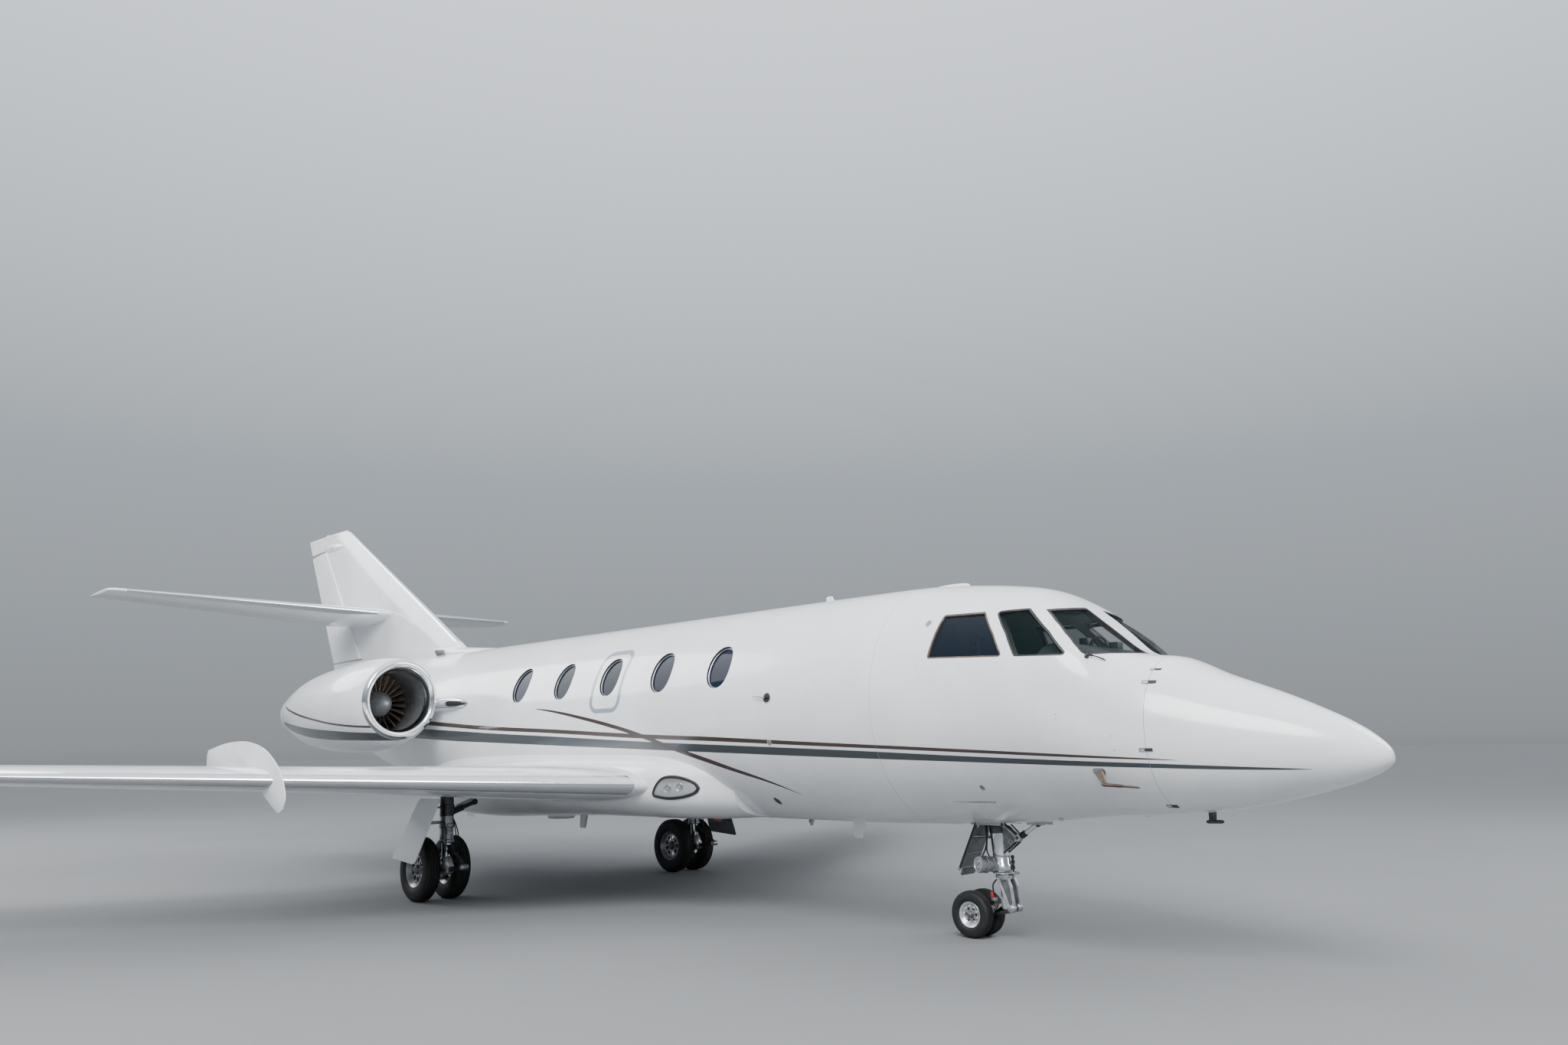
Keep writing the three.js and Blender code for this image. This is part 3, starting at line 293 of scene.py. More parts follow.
def rounded(corners, radius, steps=8):
    """Outline with its corners rounded to an arc. Corners are (u, v) pairs in order."""
    corners = [np.asarray(c, float) for c in corners]
    outline = []
    for i, corner in enumerate(corners):
        before = corners[i - 1] - corner
        after = corners[(i + 1) % len(corners)] - corner
        before /= np.linalg.norm(before)
        after /= np.linalg.norm(after)
        half = math.acos(float(np.clip(before @ after, -1, 1))) / 2
        middle = before + after
        middle /= np.linalg.norm(middle)
        centre = corner + middle * (radius / math.sin(half))
        start = corner + before * (radius / math.tan(half)) - centre
        end = corner + after * (radius / math.tan(half)) - centre
        for k in range(steps + 1):
            t = k / steps
            spoke = start * (1 - t) + end * t
            outline.append(centre + unit(spoke) * radius)
    return np.array(outline)


def even(outline, count):
    """The same closed outline with evenly spaced points."""
    closed = np.vstack([outline, outline[:1]])
    run = np.concatenate([[0], np.cumsum(np.linalg.norm(np.diff(closed, axis=0), axis=1))])
    at = np.linspace(0, run[-1], count, endpoint=False)
    return np.stack([np.interp(at, run, closed[:, k]) for k in range(2)], axis=1)


def inset(outline, amount):
    """Outline moved inwards by an amount, for outlines with no hollow sides."""
    ahead = np.roll(outline, -1, axis=0) - np.roll(outline, 1, axis=0)
    normal = np.stack([-ahead[:, 1], ahead[:, 0]], axis=1)
    normal /= np.linalg.norm(normal, axis=1)[:, None]
    centre = outline.mean(axis=0)
    if ((centre - outline) * normal).sum() < 0:
        normal = -normal
    return outline + normal * amount


def oval(cu, cv, width, height, count=72, power=1.0):
    angles = full_turn(count)
    u = np.sign(np.cos(angles)) * np.abs(np.cos(angles)) ** power
    v = np.sign(np.sin(angles)) * np.abs(np.sin(angles)) ** power
    return np.stack([cu + u * width / 2, cv + v * height / 2], axis=1)


def rectangle(front, back, bottom, top, radius, steps=10):
    return rounded([(back, top), (front, top), (front, bottom), (back, bottom)], radius, steps)


# Meshes: each part is (points, faces, look numbers), and a piece is made of one or more parts.

def points3(s, y, z):
    s, y, z = np.broadcast_arrays(s, y, z)
    return np.stack([NOSE_X - s, y, z], axis=-1)


def at(s, y, z):
    return np.array([NOSE_X - s, y, z], float)


def loft(rings, look=0, closed=False, caps=True, looks=None):
    """Skin over equal rings of points. A closed one also joins its last ring to its first."""
    rings = np.asarray(rings, float)
    count, around = rings.shape[:2]
    rows = np.arange(count if closed else count - 1)[:, None]
    cols = np.arange(around)[None, :]
    following = (rows + 1) % count
    side = (cols + 1) % around
    quads = np.stack([rows * around + cols, rows * around + side,
                      following * around + side, following * around + cols], axis=-1)
    faces = quads.reshape(-1, 4).tolist()
    marks = [look] * len(faces) if looks is None else list(np.asarray(looks).reshape(-1))
    if caps and not closed:
        last = (count - 1) * around
        faces.append(list(range(around))[::-1])
        faces.append([last + i for i in range(around)])
        marks += [marks[0], marks[-1]]
    return rings.reshape(-1, 3), faces, marks


def lathe(profile, centre, axis=(0, 1, 0), count=64, look=0, closed=False, looks=None):
    """Turned form from (radius, along) points about an axis through a centre."""
    axis = np.asarray(axis, float) / np.linalg.norm(axis)
    aside = np.cross(axis, (0.0, 0.0, 1.0))
    if np.linalg.norm(aside) < 1e-6:
        aside = np.array([1.0, 0.0, 0.0])
    aside /= np.linalg.norm(aside)
    up = np.cross(aside, axis)
    angles = full_turn(count)
    rings = []
    for radius, along in profile:
        radius = max(radius, 1e-4)
        rings.append(np.asarray(centre) + axis * along
                     + radius * (np.cos(angles)[:, None] * up + np.sin(angles)[:, None] * aside))
    if looks is not None:
        looks = np.repeat(np.asarray(looks), count)
    return loft(rings, look, closed=closed, looks=looks)


def tube(path, radius, count=16, look=0):
    """Round bar along points; radius is one number or one for each point."""
    path = np.asarray(path, float)
    radii = np.broadcast_to(np.asarray(radius, float), (len(path),))
    tangents = np.gradient(path, axis=0)
    tangents /= np.linalg.norm(tangents, axis=1)[:, None]
    side = np.cross(tangents[0], (0.0, 0.0, 1.0))
    if np.linalg.norm(side) < 1e-3:
        side = np.cross(tangents[0], (0.0, 1.0, 0.0))
    angles = full_turn(count)
    rings = []
    for point, tangent, r in zip(path, tangents, radii):
        side = side - tangent * (side @ tangent)
        side /= np.linalg.norm(side)
        up = np.cross(side, tangent)
        rings.append(point + r * (np.cos(angles)[:, None] * side + np.sin(angles)[:, None] * up))
    return loft(rings, look)


def rod(a, b, profile, count=24, look=0):
    """Stepped bar from a to b; profile is (share of the length, radius) pairs."""
    a, b = np.asarray(a, float), np.asarray(b, float)
    length = np.linalg.norm(b - a)
    return lathe([(r, t * length) for t, r in profile], a, b - a, count, look)


def bar(a, b, radius, count=24, look=0):
    """Plain round bar from a to b."""
    return rod(a, b, [(0, radius), (1, radius)], count, look)


def from_bmesh(bm, look=0):
    bmesh.ops.recalc_face_normals(bm, faces=bm.faces)
    bm.verts.index_update()
    points = np.array([v.co[:] for v in bm.verts])
    faces = [[v.index for v in f.verts] for f in bm.faces]
    bm.free()
    return points, faces, [look] * len(faces)


def block(low, high, bevel=0.004, look=0, segments=2):
    """Box between two corners with eased edges."""
    low, high = np.minimum(low, high), np.maximum(low, high)
    bm = bmesh.new()
    bmesh.ops.create_cube(bm, size=1)
    for v in bm.verts:
        v.co = Vector((low + high) / 2) + Vector(v.co[:]) * Vector(high - low)
    if bevel:
        bmesh.ops.bevel(bm, geom=bm.edges[:], offset=bevel, segments=segments, affect="EDGES", profile=0.5)
    return from_bmesh(bm, look)


def slab(outline, origin, u, v, thick, bevel=0.003, look=0, segments=2):
    """Plate with a given outline in the plane of u and v, thick across it, centred on the plane."""
    origin, u, v = (np.asarray(k, float) for k in (origin, u, v))
    across = np.cross(u, v)
    across /= np.linalg.norm(across)
    bm = bmesh.new()
    low = [bm.verts.new(origin + a * u + b * v - across * thick / 2) for a, b in outline]
    high = [bm.verts.new(origin + a * u + b * v + across * thick / 2) for a, b in outline]
    bm.faces.new(low[::-1])
    bm.faces.new(high)
    for i in range(len(low)):
        j = (i + 1) % len(low)
        bm.faces.new((low[i], low[j], high[j], high[i]))
    bmesh.ops.recalc_face_normals(bm, faces=bm.faces)
    if bevel:
        rims = [e for e in bm.edges if abs((e.verts[0].co - e.verts[1].co).dot(Vector(across))) < 1e-6]
        bmesh.ops.bevel(bm, geom=rims, offset=bevel, segments=segments, affect="EDGES", profile=0.5)
    return from_bmesh(bm, look)


def turned(part, matrix):
    """A part moved by a 4 by 4 matrix."""
    points, faces, looks = part
    m = np.array(matrix)
    return points @ m[:3, :3].T + m[:3, 3], faces, looks


def raw_object(name, parts):
    """Blender object from parts, its faces all turned outwards."""
    points, faces, looks, offset = [], [], [], 0
    for part_points, part_faces, part_looks in parts:
        points.append(part_points)
        faces += [[i + offset for i in f] for f in part_faces] if offset else part_faces
        looks += part_looks
        offset += len(part_points)
    mesh = bpy.data.meshes.new(name)
    mesh.from_pydata(np.vstack(points).tolist(), [], faces)
    mesh.polygons.foreach_set("material_index", np.array(looks, np.int32))
    bm = bmesh.new()
    bm.from_mesh(mesh)
    bmesh.ops.recalc_face_normals(bm, faces=bm.faces)
    bm.to_mesh(mesh)
    bm.free()
    mesh.shade_smooth()
    obj = bpy.data.objects.new(name, mesh)
    bpy.context.scene.collection.objects.link(obj)
    return obj


def corner_normals(mesh):
    values = np.zeros(len(mesh.loops) * 3, np.float32)
    mesh.corner_normals.foreach_get("vector", values)
    return values


def remember_normals(obj, sharp):
    """Keeps the smooth normals in an attribute, so that cuts don't disturb the shading."""
    mesh = obj.data
    mesh.set_sharp_from_angle(angle=math.radians(sharp))
    kept = mesh.attributes.new("kept_normal", "FLOAT_VECTOR", "CORNER")
    kept.data.foreach_set("vector", corner_normals(mesh))


def restore_normals(obj, sharp):
    mesh = obj.data
    kept = np.zeros(len(mesh.loops) * 3, np.float32)
    mesh.attributes["kept_normal"].data.foreach_get("vector", kept)
    mesh.attributes.remove(mesh.attributes["kept_normal"])
    kept = kept.reshape(-1, 3)
    mesh.set_sharp_from_angle(angle=math.radians(sharp))
    own = corner_normals(mesh).reshape(-1, 3)
    length = np.linalg.norm(kept, axis=1)
    use = length > 0.5
    own[use] = kept[use] / length[use][:, None]
    mesh.normals_split_custom_set(own.tolist())


def cut(obj, tools, operation="DIFFERENCE"):
    """Cuts an object with others and deletes them."""
    for tool in tools:
        modifier = obj.modifiers.new("cut", "BOOLEAN")
        modifier.object = tool
        modifier.operation = operation
        modifier.solver = "MANIFOLD"
    bpy.context.view_layer.update()
    graph = bpy.context.evaluated_depsgraph_get()
    mesh = bpy.data.meshes.new_from_object(obj.evaluated_get(graph))
    obj.modifiers.clear()
    obj.data = mesh
    for tool in tools:
        bpy.data.objects.remove(tool)


def piece(name, parts, looks, body="airframe", replaces=(), sharp=38, cuts=(), keep=()):
    """One finished piece of the model: meshed, cut, shaded, painted and put on its body."""
    obj = raw_object(name, parts)
    for look in looks:
        obj.data.materials.append(LOOK[look])
    if cuts or keep:
        remember_normals(obj, sharp)
        for tool in [*cuts, *keep]:
            for look in looks:
                tool.data.materials.append(LOOK[look])
        if keep:
            cut(obj, keep, "INTERSECT")
        if cuts:
            cut(obj, cuts)
        restore_normals(obj, sharp)
    else:
        obj.data.set_sharp_from_angle(angle=math.radians(sharp))
    obj.data.name = name
    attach(obj, body)
    if replaces:
        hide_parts(*replaces)
    return obj


def cutter(parts):
    return raw_object("cutter", parts)


def side_prism(outline, y0, y1, look=0):
    """Solid over an outline of (station, height) points between two y values."""
    rings = [points3(outline[:, 0], y, outline[:, 1]) for y in (y0, y1)]
    return loft(rings, look)


def front_prism(outline, s0, s1, look=0):
    """Solid over an outline of (y, height) points between two stations."""
    rings = [points3(s, outline[:, 0], outline[:, 1]) for s in (s0, s1)]
    return loft(rings, look)


def plan_prism(outline, z0, z1, look=0):
    """Solid over an outline of (station, y) points between two heights."""
    outline = np.asarray(outline, float)
    rings = [points3(outline[:, 0], outline[:, 1], z) for z in (z0, z1)]
    return loft(rings, look)


# Materials: a small kit that wires one node material

class Shader:
    """Node material; each call adds a node and gives back its output."""

    def __init__(self, name):
        self.material = bpy.data.materials.new(name)
        self.material.use_nodes = True
        self.tree = self.material.node_tree
        self.tree.nodes.clear()
        self.surface = self.tree.nodes.new("ShaderNodeBsdfPrincipled")
        output = self.tree.nodes.new("ShaderNodeOutputMaterial")
        self.tree.links.new(self.surface.outputs[0], output.inputs[0])
        self.place = self.tree.nodes.new("ShaderNodeTexCoord").outputs["Object"]

    def put(self, socket, value):
        if isinstance(value, bpy.types.NodeSocket):
            self.tree.links.new(value, socket)
        else:
            socket.default_value = value

    def set(self, **values):
        for name, value in values.items():
            self.put(self.surface.inputs[name.replace("_", " ")], value)

    def math(self, operation, a, b=0.0, c=0.0, clamp=False):
        node = self.tree.nodes.new("ShaderNodeMath")
        node.operation = operation
        node.use_clamp = clamp
        for socket, value in zip(node.inputs, (a, b, c)):
            self.put(socket, value)
        return node.outputs[0]

    def times(self, a, b):
        return self.math("MULTIPLY", a, b)

    def minus(self, a, b):
        return self.math("SUBTRACT", a, b)

    def stretched(self, stretch):
        node = self.tree.nodes.new("ShaderNodeVectorMath")
        node.operation = "MULTIPLY"
        self.put(node.inputs[0], self.place)
        self.put(node.inputs[1], stretch)
        return node.outputs[0]

    def axes(self):
        node = self.tree.nodes.new("ShaderNodeSeparateXYZ")
        self.put(node.inputs[0], self.place)
        return node.outputs[0], node.outputs[1], node.outputs[2]

    def noise(self, scale, detail=3.0, roughness=0.55, stretch=(1.0, 1.0, 1.0)):
        node = self.tree.nodes.new("ShaderNodeTexNoise")
        self.put(node.inputs["Vector"], self.stretched(stretch))
        node.inputs["Scale"].default_value = scale
        node.inputs["Detail"].default_value = detail
        node.inputs["Roughness"].default_value = roughness
        return node.outputs["Fac"]

    def cells(self, scale, stretch=(1.0, 1.0, 1.0), feature="F1"):
        node = self.tree.nodes.new("ShaderNodeTexVoronoi")
        node.feature = feature
        self.put(node.inputs["Vector"], self.stretched(stretch))
        node.inputs["Scale"].default_value = scale
        return node.outputs["Distance"]

    def span(self, value, a, b, low=0.0, high=1.0, smooth=True):
        node = self.tree.nodes.new("ShaderNodeMapRange")
        node.interpolation_type = "SMOOTHSTEP" if smooth else "LINEAR"
        for socket, number in zip(node.inputs, (value, a, b, low, high)):
            self.put(socket, number)
        return node.outputs[0]

    def curve(self, value, points):
        node = self.tree.nodes.new("ShaderNodeFloatCurve")
        track = node.mapping.curves[0]
        while len(track.points) > 2:
            track.points.remove(track.points[1])
        track.points[0].location = points[0]
        track.points[1].location = points[-1]
        for x, y in points[1:-1]:
            track.points.new(x, y)
        node.mapping.update()
        self.put(node.inputs["Value"], value)
        return node.outputs[0]

    def mix(self, factor, a, b):
        node = self.tree.nodes.new("ShaderNodeMix")
        node.data_type = "RGBA"
        self.put(node.inputs["Factor"], factor)
        for socket, colour in ((node.inputs["A"], a), (node.inputs["B"], b)):
            self.put(socket, colour if isinstance(colour, bpy.types.NodeSocket) else (*colour, 1.0))
        return node.outputs["Result"]

    def bump(self, height, distance, strength=1.0, under=None):
        node = self.tree.nodes.new("ShaderNodeBump")
        node.inputs["Strength"].default_value = strength
        node.inputs["Distance"].default_value = distance
        self.put(node.inputs["Height"], height)
        if under is not None:
            self.put(node.inputs["Normal"], under)
        return node.outputs[0]

    def near(self, value, centre, half, soft):
        """One where the value is within half of the centre, falling to none over the soft edge."""
        gap = self.math("ABSOLUTE", self.minus(value, centre))
        return self.span(self.minus(gap, half), soft, 0.0)

    def total(self, *masks):
        result = masks[0]
        for mask in masks[1:]:
            result = self.math("MAXIMUM", result, mask)
        return result


WHITE_LOW = (0.78, 0.80, 0.82)
WHITE_HIGH = (0.86, 0.875, 0.89)
STRIPE_BROWN = (0.050, 0.030, 0.026)
STRIPE_GREY = (0.040, 0.050, 0.056)
HATCH_BAND = (0.25, 0.31, 0.37)
GROOVE_DARK = (0.10, 0.11, 0.12)

# Stripes along the body: station, centre height, half width.
BROWN_STRIPE = [(1.17, 1.393, 0.0), (1.8, 1.428, 0.008), (2.9, 1.4845, 0.0115), (4.29, 1.551, 0.015),
                (5.44, 1.6075, 0.0185), (6.32, 1.6445, 0.0195), (7.88, 1.728, 0.0195),
                (9.12, 1.7885, 0.0215), (10.18, 1.858, 0.023), (12.4, 2.02, 0.02), (13.8, 2.16, 0.0)]
GREY_STRIPE = [(0.42, 1.328, 0.0), (0.895, 1.341, 0.010), (1.51, 1.366, 0.015), (2.5, 1.4055, 0.0195),
               (3.79, 1.4575, 0.0295), (5.03, 1.5055, 0.0335), (6.32, 1.5565, 0.0365),
               (7.88, 1.6255, 0.0465), (9.12, 1.679, 0.052), (10.18, 1.7295, 0.0595),
               (12.4, 1.86, 0.05), (13.6, 1.99, 0.0)]
SWOOSH = [(4.51, 1.115, 0.0), (4.81, 1.226, 0.010), (5.17, 1.325, 0.017), (5.52, 1.421, 0.021),
          (5.908, 1.523, 0.0205), (6.43, 1.669, 0.0195), (6.81, 1.755, 0.0185), (7.318, 1.850, 0.0155),
          (7.885, 1.940, 0.0095), (8.204, 1.976, 0.0)]
COWL_GREY = [(10.05, 1.710, 0.042), (10.44, 1.722, 0.046), (11.5, 1.777, 0.058), (12.0, 1.828, 0.054),
             (12.4, 1.885, 0.042), (12.7, 1.940, 0.0)]
COWL_BROWN = [(10.05, 1.822, 0.011), (10.4, 1.838, 0.011), (11.4, 1.950, 0.012), (12.25, 2.085, 0.012),
              (12.6, 2.150, 0.0)]
STRIPE_SPAN = 14.0
STRIPE_BASE = 1.0
STRIPE_RISE = 1.5
STRIPE_WIDEST = 0.08


def station(shader):
    x, y, z = shader.axes()
    return shader.minus(NOSE_X, x), y, z


def stripe(shader, s, z, rows):
    share = shader.math("DIVIDE", s, STRIPE_SPAN, clamp=True)
    centre = shader.curve(share, [(a / STRIPE_SPAN, (b - STRIPE_BASE) / STRIPE_RISE) for a, b, _ in rows])
    width = shader.curve(share, [(a / STRIPE_SPAN, c / STRIPE_WIDEST) for a, _, c in rows])
    middle = shader.math("MULTIPLY_ADD", centre, STRIPE_RISE, STRIPE_BASE)
    half = shader.times(width, STRIPE_WIDEST)
    within = shader.near(s, (rows[0][0] + rows[-1][0]) / 2, (rows[-1][0] - rows[0][0]) / 2, 0.01)
    return shader.times(within, shader.near(z, middle, half, 0.003))


def box_distance(shader, u, v, cu, cv, half_u, half_v, radius):
    """Distance from the edge of a rounded rectangle, negative inside it."""
    du = shader.minus(shader.math("ABSOLUTE", shader.minus(u, cu)), half_u - radius)
    dv = shader.minus(shader.math("ABSOLUTE", shader.minus(v, cv)), half_v - radius)
    outside_u = shader.math("MAXIMUM", du, 0.0)
    outside_v = shader.math("MAXIMUM", dv, 0.0)
    corner = shader.math("SQRT", shader.math("ADD", shader.times(outside_u, outside_u),
                                             shader.times(outside_v, outside_v)))
    inside = shader.math("MINIMUM", shader.math("MAXIMUM", du, dv), 0.0)
    return shader.minus(shader.math("ADD", corner, inside), radius)


def paint_base(shader, low=WHITE_LOW, high=WHITE_HIGH):
    """Gloss enamel: slight unevenness in its white, its gloss and its flatness."""
    drift = shader.noise(1.7, 4.0, 0.6)
    colour = shader.mix(shader.span(drift, 0.3, 0.7), low, high)
    streaks = shader.noise(3.0, 5.0, 0.65, stretch=(0.35, 1.0, 2.6))
    rough = shader.span(streaks, 0.3, 0.75, 0.16, 0.27)
    wave = shader.bump(shader.noise(2.2, 2.0), 0.0035, 0.35)
    peel = shader.bump(shader.noise(420.0, 2.0), 0.0001, 0.12, under=wave)
    shader.set(Coat_Weight=0.55, Coat_Roughness=0.06, Coat_IOR=1.5, IOR=1.46)
    return colour, rough, peel


def finish_paint(shader, colour, rough, normal, grooves=None):
    if grooves is not None:
        colour = shader.mix(shader.times(grooves, 0.62), colour, GROOVE_DARK)
        normal = shader.bump(shader.times(grooves, -1.0), 0.0015, 0.5, under=normal)
    shader.set(Base_Color=colour, Roughness=rough, Normal=normal)
    return shader.material


# Stations, and on the wing y values, of the joints and rivet rows drawn by the paints.
BODY_JOINTS = (2.02, 4.62, 6.28, 7.95, 9.62, 11.35, 12.85, 14.3)
RIVET_ROWS = (4.60, 6.26, 7.93, 9.60, 11.33)
RIVET_PITCH = 0.028
WING_JOINTS = (6.25, 7.55)
WING_RIBS = (1.9, 2.75, 3.6, 4.55, 5.45, 6.5, 7.6)
COWL_JOINTS = (10.33, 11.18, 12.32)


def body_paint():
    """White enamel with the two long stripes, the swoosh, the hatch band and the skin joints."""
    shader = Shader("body_paint")
    colour, rough, normal = paint_base(shader)
    s, y, z = station(shader)
    grey = stripe(shader, s, z, GREY_STRIPE)
    brown = shader.total(stripe(shader, s, z, BROWN_STRIPE), stripe(shader, s, z, SWOOSH))
    brown = shader.times(brown, shader.span(z, 0.9, 1.0))
    hatch_s = (EXIT["front"] + EXIT["back"]) / 2
    hatch_z = (EXIT["bottom"] + EXIT["top"]) / 2
    half_s = (EXIT["back"] - EXIT["front"]) / 2
    half_z = (EXIT["top"] - EXIT["bottom"]) / 2
    edge = box_distance(shader, s, z, hatch_s, hatch_z, half_s, half_z, EXIT["radius"])
    band = shader.near(edge, 0.022, 0.020, 0.002)
    band = shader.times(band, shader.span(y, 0.0, -0.1))
    colour = shader.mix(band, colour, HATCH_BAND)
    colour = shader.mix(grey, colour, STRIPE_GREY)
    colour = shader.mix(brown, colour, STRIPE_BROWN)
    joints = [shader.near(s, place, 0.0012, 0.0012) for place in BODY_JOINTS]
    low = shader.span(z, 1.5, 1.49)
    laps = [shader.times(shader.near(z, 1.235, 0.001, 0.001), shader.times(low, 0.25))]
    rivets = rivet_rows(shader, s, z)
    grooves = shader.total(*[shader.times(joint, 0.35) for joint in joints], *laps, rivets)
    return finish_paint(shader, colour, rough, normal, shader.times(grooves, 0.45))


def rivet_rows(shader, s, z):
    """Rows of flush rivets beside the skin joints."""
    along = shader.minus(shader.math("FRACT", shader.math("DIVIDE", z, RIVET_PITCH)), 0.5)
    along = shader.times(along, RIVET_PITCH)
    rows = []
    for place in RIVET_ROWS:
        across = shader.minus(s, place)
        gap = shader.math("SQRT", shader.math("ADD", shader.times(across, across),
                                              shader.times(along, along)))
        rows.append(shader.span(gap, 0.0035, 0.002))
    return shader.times(shader.total(*rows), 0.3)


def plain_paint(name, low=WHITE_LOW, high=WHITE_HIGH):
    shader = Shader(name)
    colour, rough, normal = paint_base(shader, low, high)
    return finish_paint(shader, colour, rough, normal)


def polished_metal(name, tint=(0.82, 0.84, 0.87), rough=0.12):
    """Bright sheet aluminium with fine streaks and a few dull patches."""
    shader = Shader(name)
    streaks = shader.noise(26.0, 6.0, 0.7, stretch=(1.0, 0.25, 1.0))
    cloud = shader.noise(4.0, 4.0)
    colour = shader.mix(cloud, tuple(c * 0.86 for c in tint), tint)
    gloss = shader.span(streaks, 0.25, 0.8, rough * 0.6, rough * 1.9)
    shader.set(Base_Color=colour, Metallic=1.0, Roughness=gloss, Normal=shader.bump(streaks, 0.0004, 0.15))
    return shader.material


def cast_metal(name, low, high, rough=0.42, metallic=0.85, grain=120.0):
    """Machined or cast metal with a fine grain and uneven gloss."""
    shader = Shader(name)
    cloud = shader.noise(14.0, 5.0)
    fine = shader.noise(grain, 4.0, 0.7)
    colour = shader.mix(shader.span(cloud, 0.3, 0.7), low, high)
    gloss = shader.span(fine, 0.2, 0.8, rough - 0.1, rough + 0.12)
    shader.set(Base_Color=colour, Metallic=metallic, Roughness=gloss, Normal=shader.bump(fine, 0.0004, 0.25))
    return shader.material


def gear_enamel(name, low, high, rough=0.32):
    """Painted forging with a film of dust in its hollows."""
    shader = Shader(name)
    cloud = shader.noise(9.0, 5.0, 0.6)
    grime = shader.noise(30.0, 5.0, 0.7)
    colour = shader.mix(shader.span(cloud, 0.3, 0.7), low, high)
    colour = shader.mix(shader.span(grime, 0.58, 0.8, 0.0, 0.45), colour, (0.12, 0.10, 0.08))
    shader.set(Base_Color=colour, Roughness=shader.span(grime, 0.3, 0.8, rough, rough + 0.25),
               Coat_Weight=0.25, Normal=shader.bump(grime, 0.0006, 0.3))
    return shader.material


def rubber(name, colour=(0.018, 0.018, 0.019), rough=0.62):
    """Black rubber, greyed a little where it is scuffed."""
    shader = Shader(name)
    dust = shader.noise(22.0, 6.0, 0.7)
    fine = shader.noise(260.0, 3.0)
    tone = shader.mix(shader.span(dust, 0.45, 0.8), colour, tuple(c * 2.6 + 0.012 for c in colour))
    shader.set(Base_Color=tone, Roughness=shader.span(dust, 0.3, 0.8, rough - 0.12, rough + 0.16),
               Normal=shader.bump(fine, 0.0006, 0.3))
    return shader.material


def plastic(name, colour, rough=0.5, grain=300.0):
    shader = Shader(name)
    cloud = shader.noise(11.0, 4.0)
    fine = shader.noise(grain, 3.0)
    tone = shader.mix(cloud, tuple(c * 0.82 for c in colour), tuple(min(1.0, c * 1.12) for c in colour))
    shader.set(Base_Color=tone, Roughness=shader.span(cloud, 0.3, 0.7, rough - 0.06, rough + 0.08),
               Normal=shader.bump(fine, 0.0003, 0.3))
    return shader.material


def glass(name, tint, rough=0.02, solid=0.0, shine=0.4):
    """Tinted glazing; solid is how much of what lies behind it is held back."""
    shader = Shader(name)
    smear = shader.noise(7.0, 4.0, 0.6)
    colour = shader.mix(smear, tuple(c * 0.85 for c in tint), tint)
    shader.set(Base_Color=colour, Roughness=shader.span(smear, 0.4, 0.9, rough, rough + 0.04), IOR=1.36,
               Alpha=solid, Specular_IOR_Level=shine)
    return shader.material


def leather(name, colour):
    """Hide with a fine pebble grain, worn smoother on the crowns."""
    shader = Shader(name)
    pebbles = shader.cells(420.0)
    wear = shader.noise(8.0, 4.0)
    tone = shader.mix(wear, tuple(c * 0.78 for c in colour), tuple(min(1.0, c * 1.08) for c in colour))
    shader.set(Base_Color=tone, Roughness=shader.span(wear, 0.3, 0.7, 0.38, 0.56),
               Normal=shader.bump(pebbles, 0.0006, 0.45))
    return shader.material


def woven(name, colour, pitch=420.0):
    """Short pile with a twill run in it."""
    shader = Shader(name)
    x, y, _ = shader.axes()
    run = shader.math("SINE", shader.times(shader.math("ADD", x, y), pitch))
    pile = shader.noise(240.0, 4.0, 0.7)
    height = shader.math("ADD", pile, shader.times(run, 0.2))
    tone = shader.mix(pile, tuple(c * 0.6 for c in colour), tuple(min(1.0, c * 1.2) for c in colour))
    shader.set(Base_Color=tone, Roughness=0.93, Normal=shader.bump(height, 0.002, 0.6), Sheen_Weight=0.25)
    return shader.material


def lens(name, tint):
    """Ribbed lamp glass."""
    shader = Shader(name)
    ribs = shader.cells(160.0)
    shader.set(Base_Color=shader.mix(ribs, tuple(c * 0.7 for c in tint), tint), Roughness=0.06,
               Transmission_Weight=0.35, Normal=shader.bump(ribs, 0.0008, 0.3), Coat_Weight=1.0)
    return shader.material


def wing_paint():
    """Wing enamel, a little greyer than the body, with its panel joints."""
    shader = Shader("wing_paint")
    colour, rough, normal = paint_base(shader, (0.66, 0.69, 0.72), (0.77, 0.79, 0.81))
    s, y, _ = station(shader)
    side = shader.math("ABSOLUTE", y)
    aft = shader.minus(s, shader.times(side, 0.47))
    lines = [shader.near(aft, place, 0.0012, 0.0012) for place in WING_JOINTS]
    ribs = [shader.near(side, place, 0.0012, 0.0012) for place in WING_RIBS]
    grooves = shader.total(*lines, *ribs)
    return finish_paint(shader, colour, rough, normal, shader.times(grooves, 0.45))


def tail_paint():
    """Fin and tailplane enamel with the joints of the cap and of the low panel."""
    shader = Shader("tail_paint")
    colour, rough, normal = paint_base(shader)
    s, _, z = station(shader)
    low_panel = shader.near(shader.minus(s, shader.times(z, 1.55)), 9.15, 0.001, 0.001)
    cap = shader.near(z, 5.004, 0.0015, 0.0015)
    grooves = shader.total(cap, shader.times(low_panel, 0.7))
    return finish_paint(shader, colour, rough, normal, shader.times(grooves, 0.6))


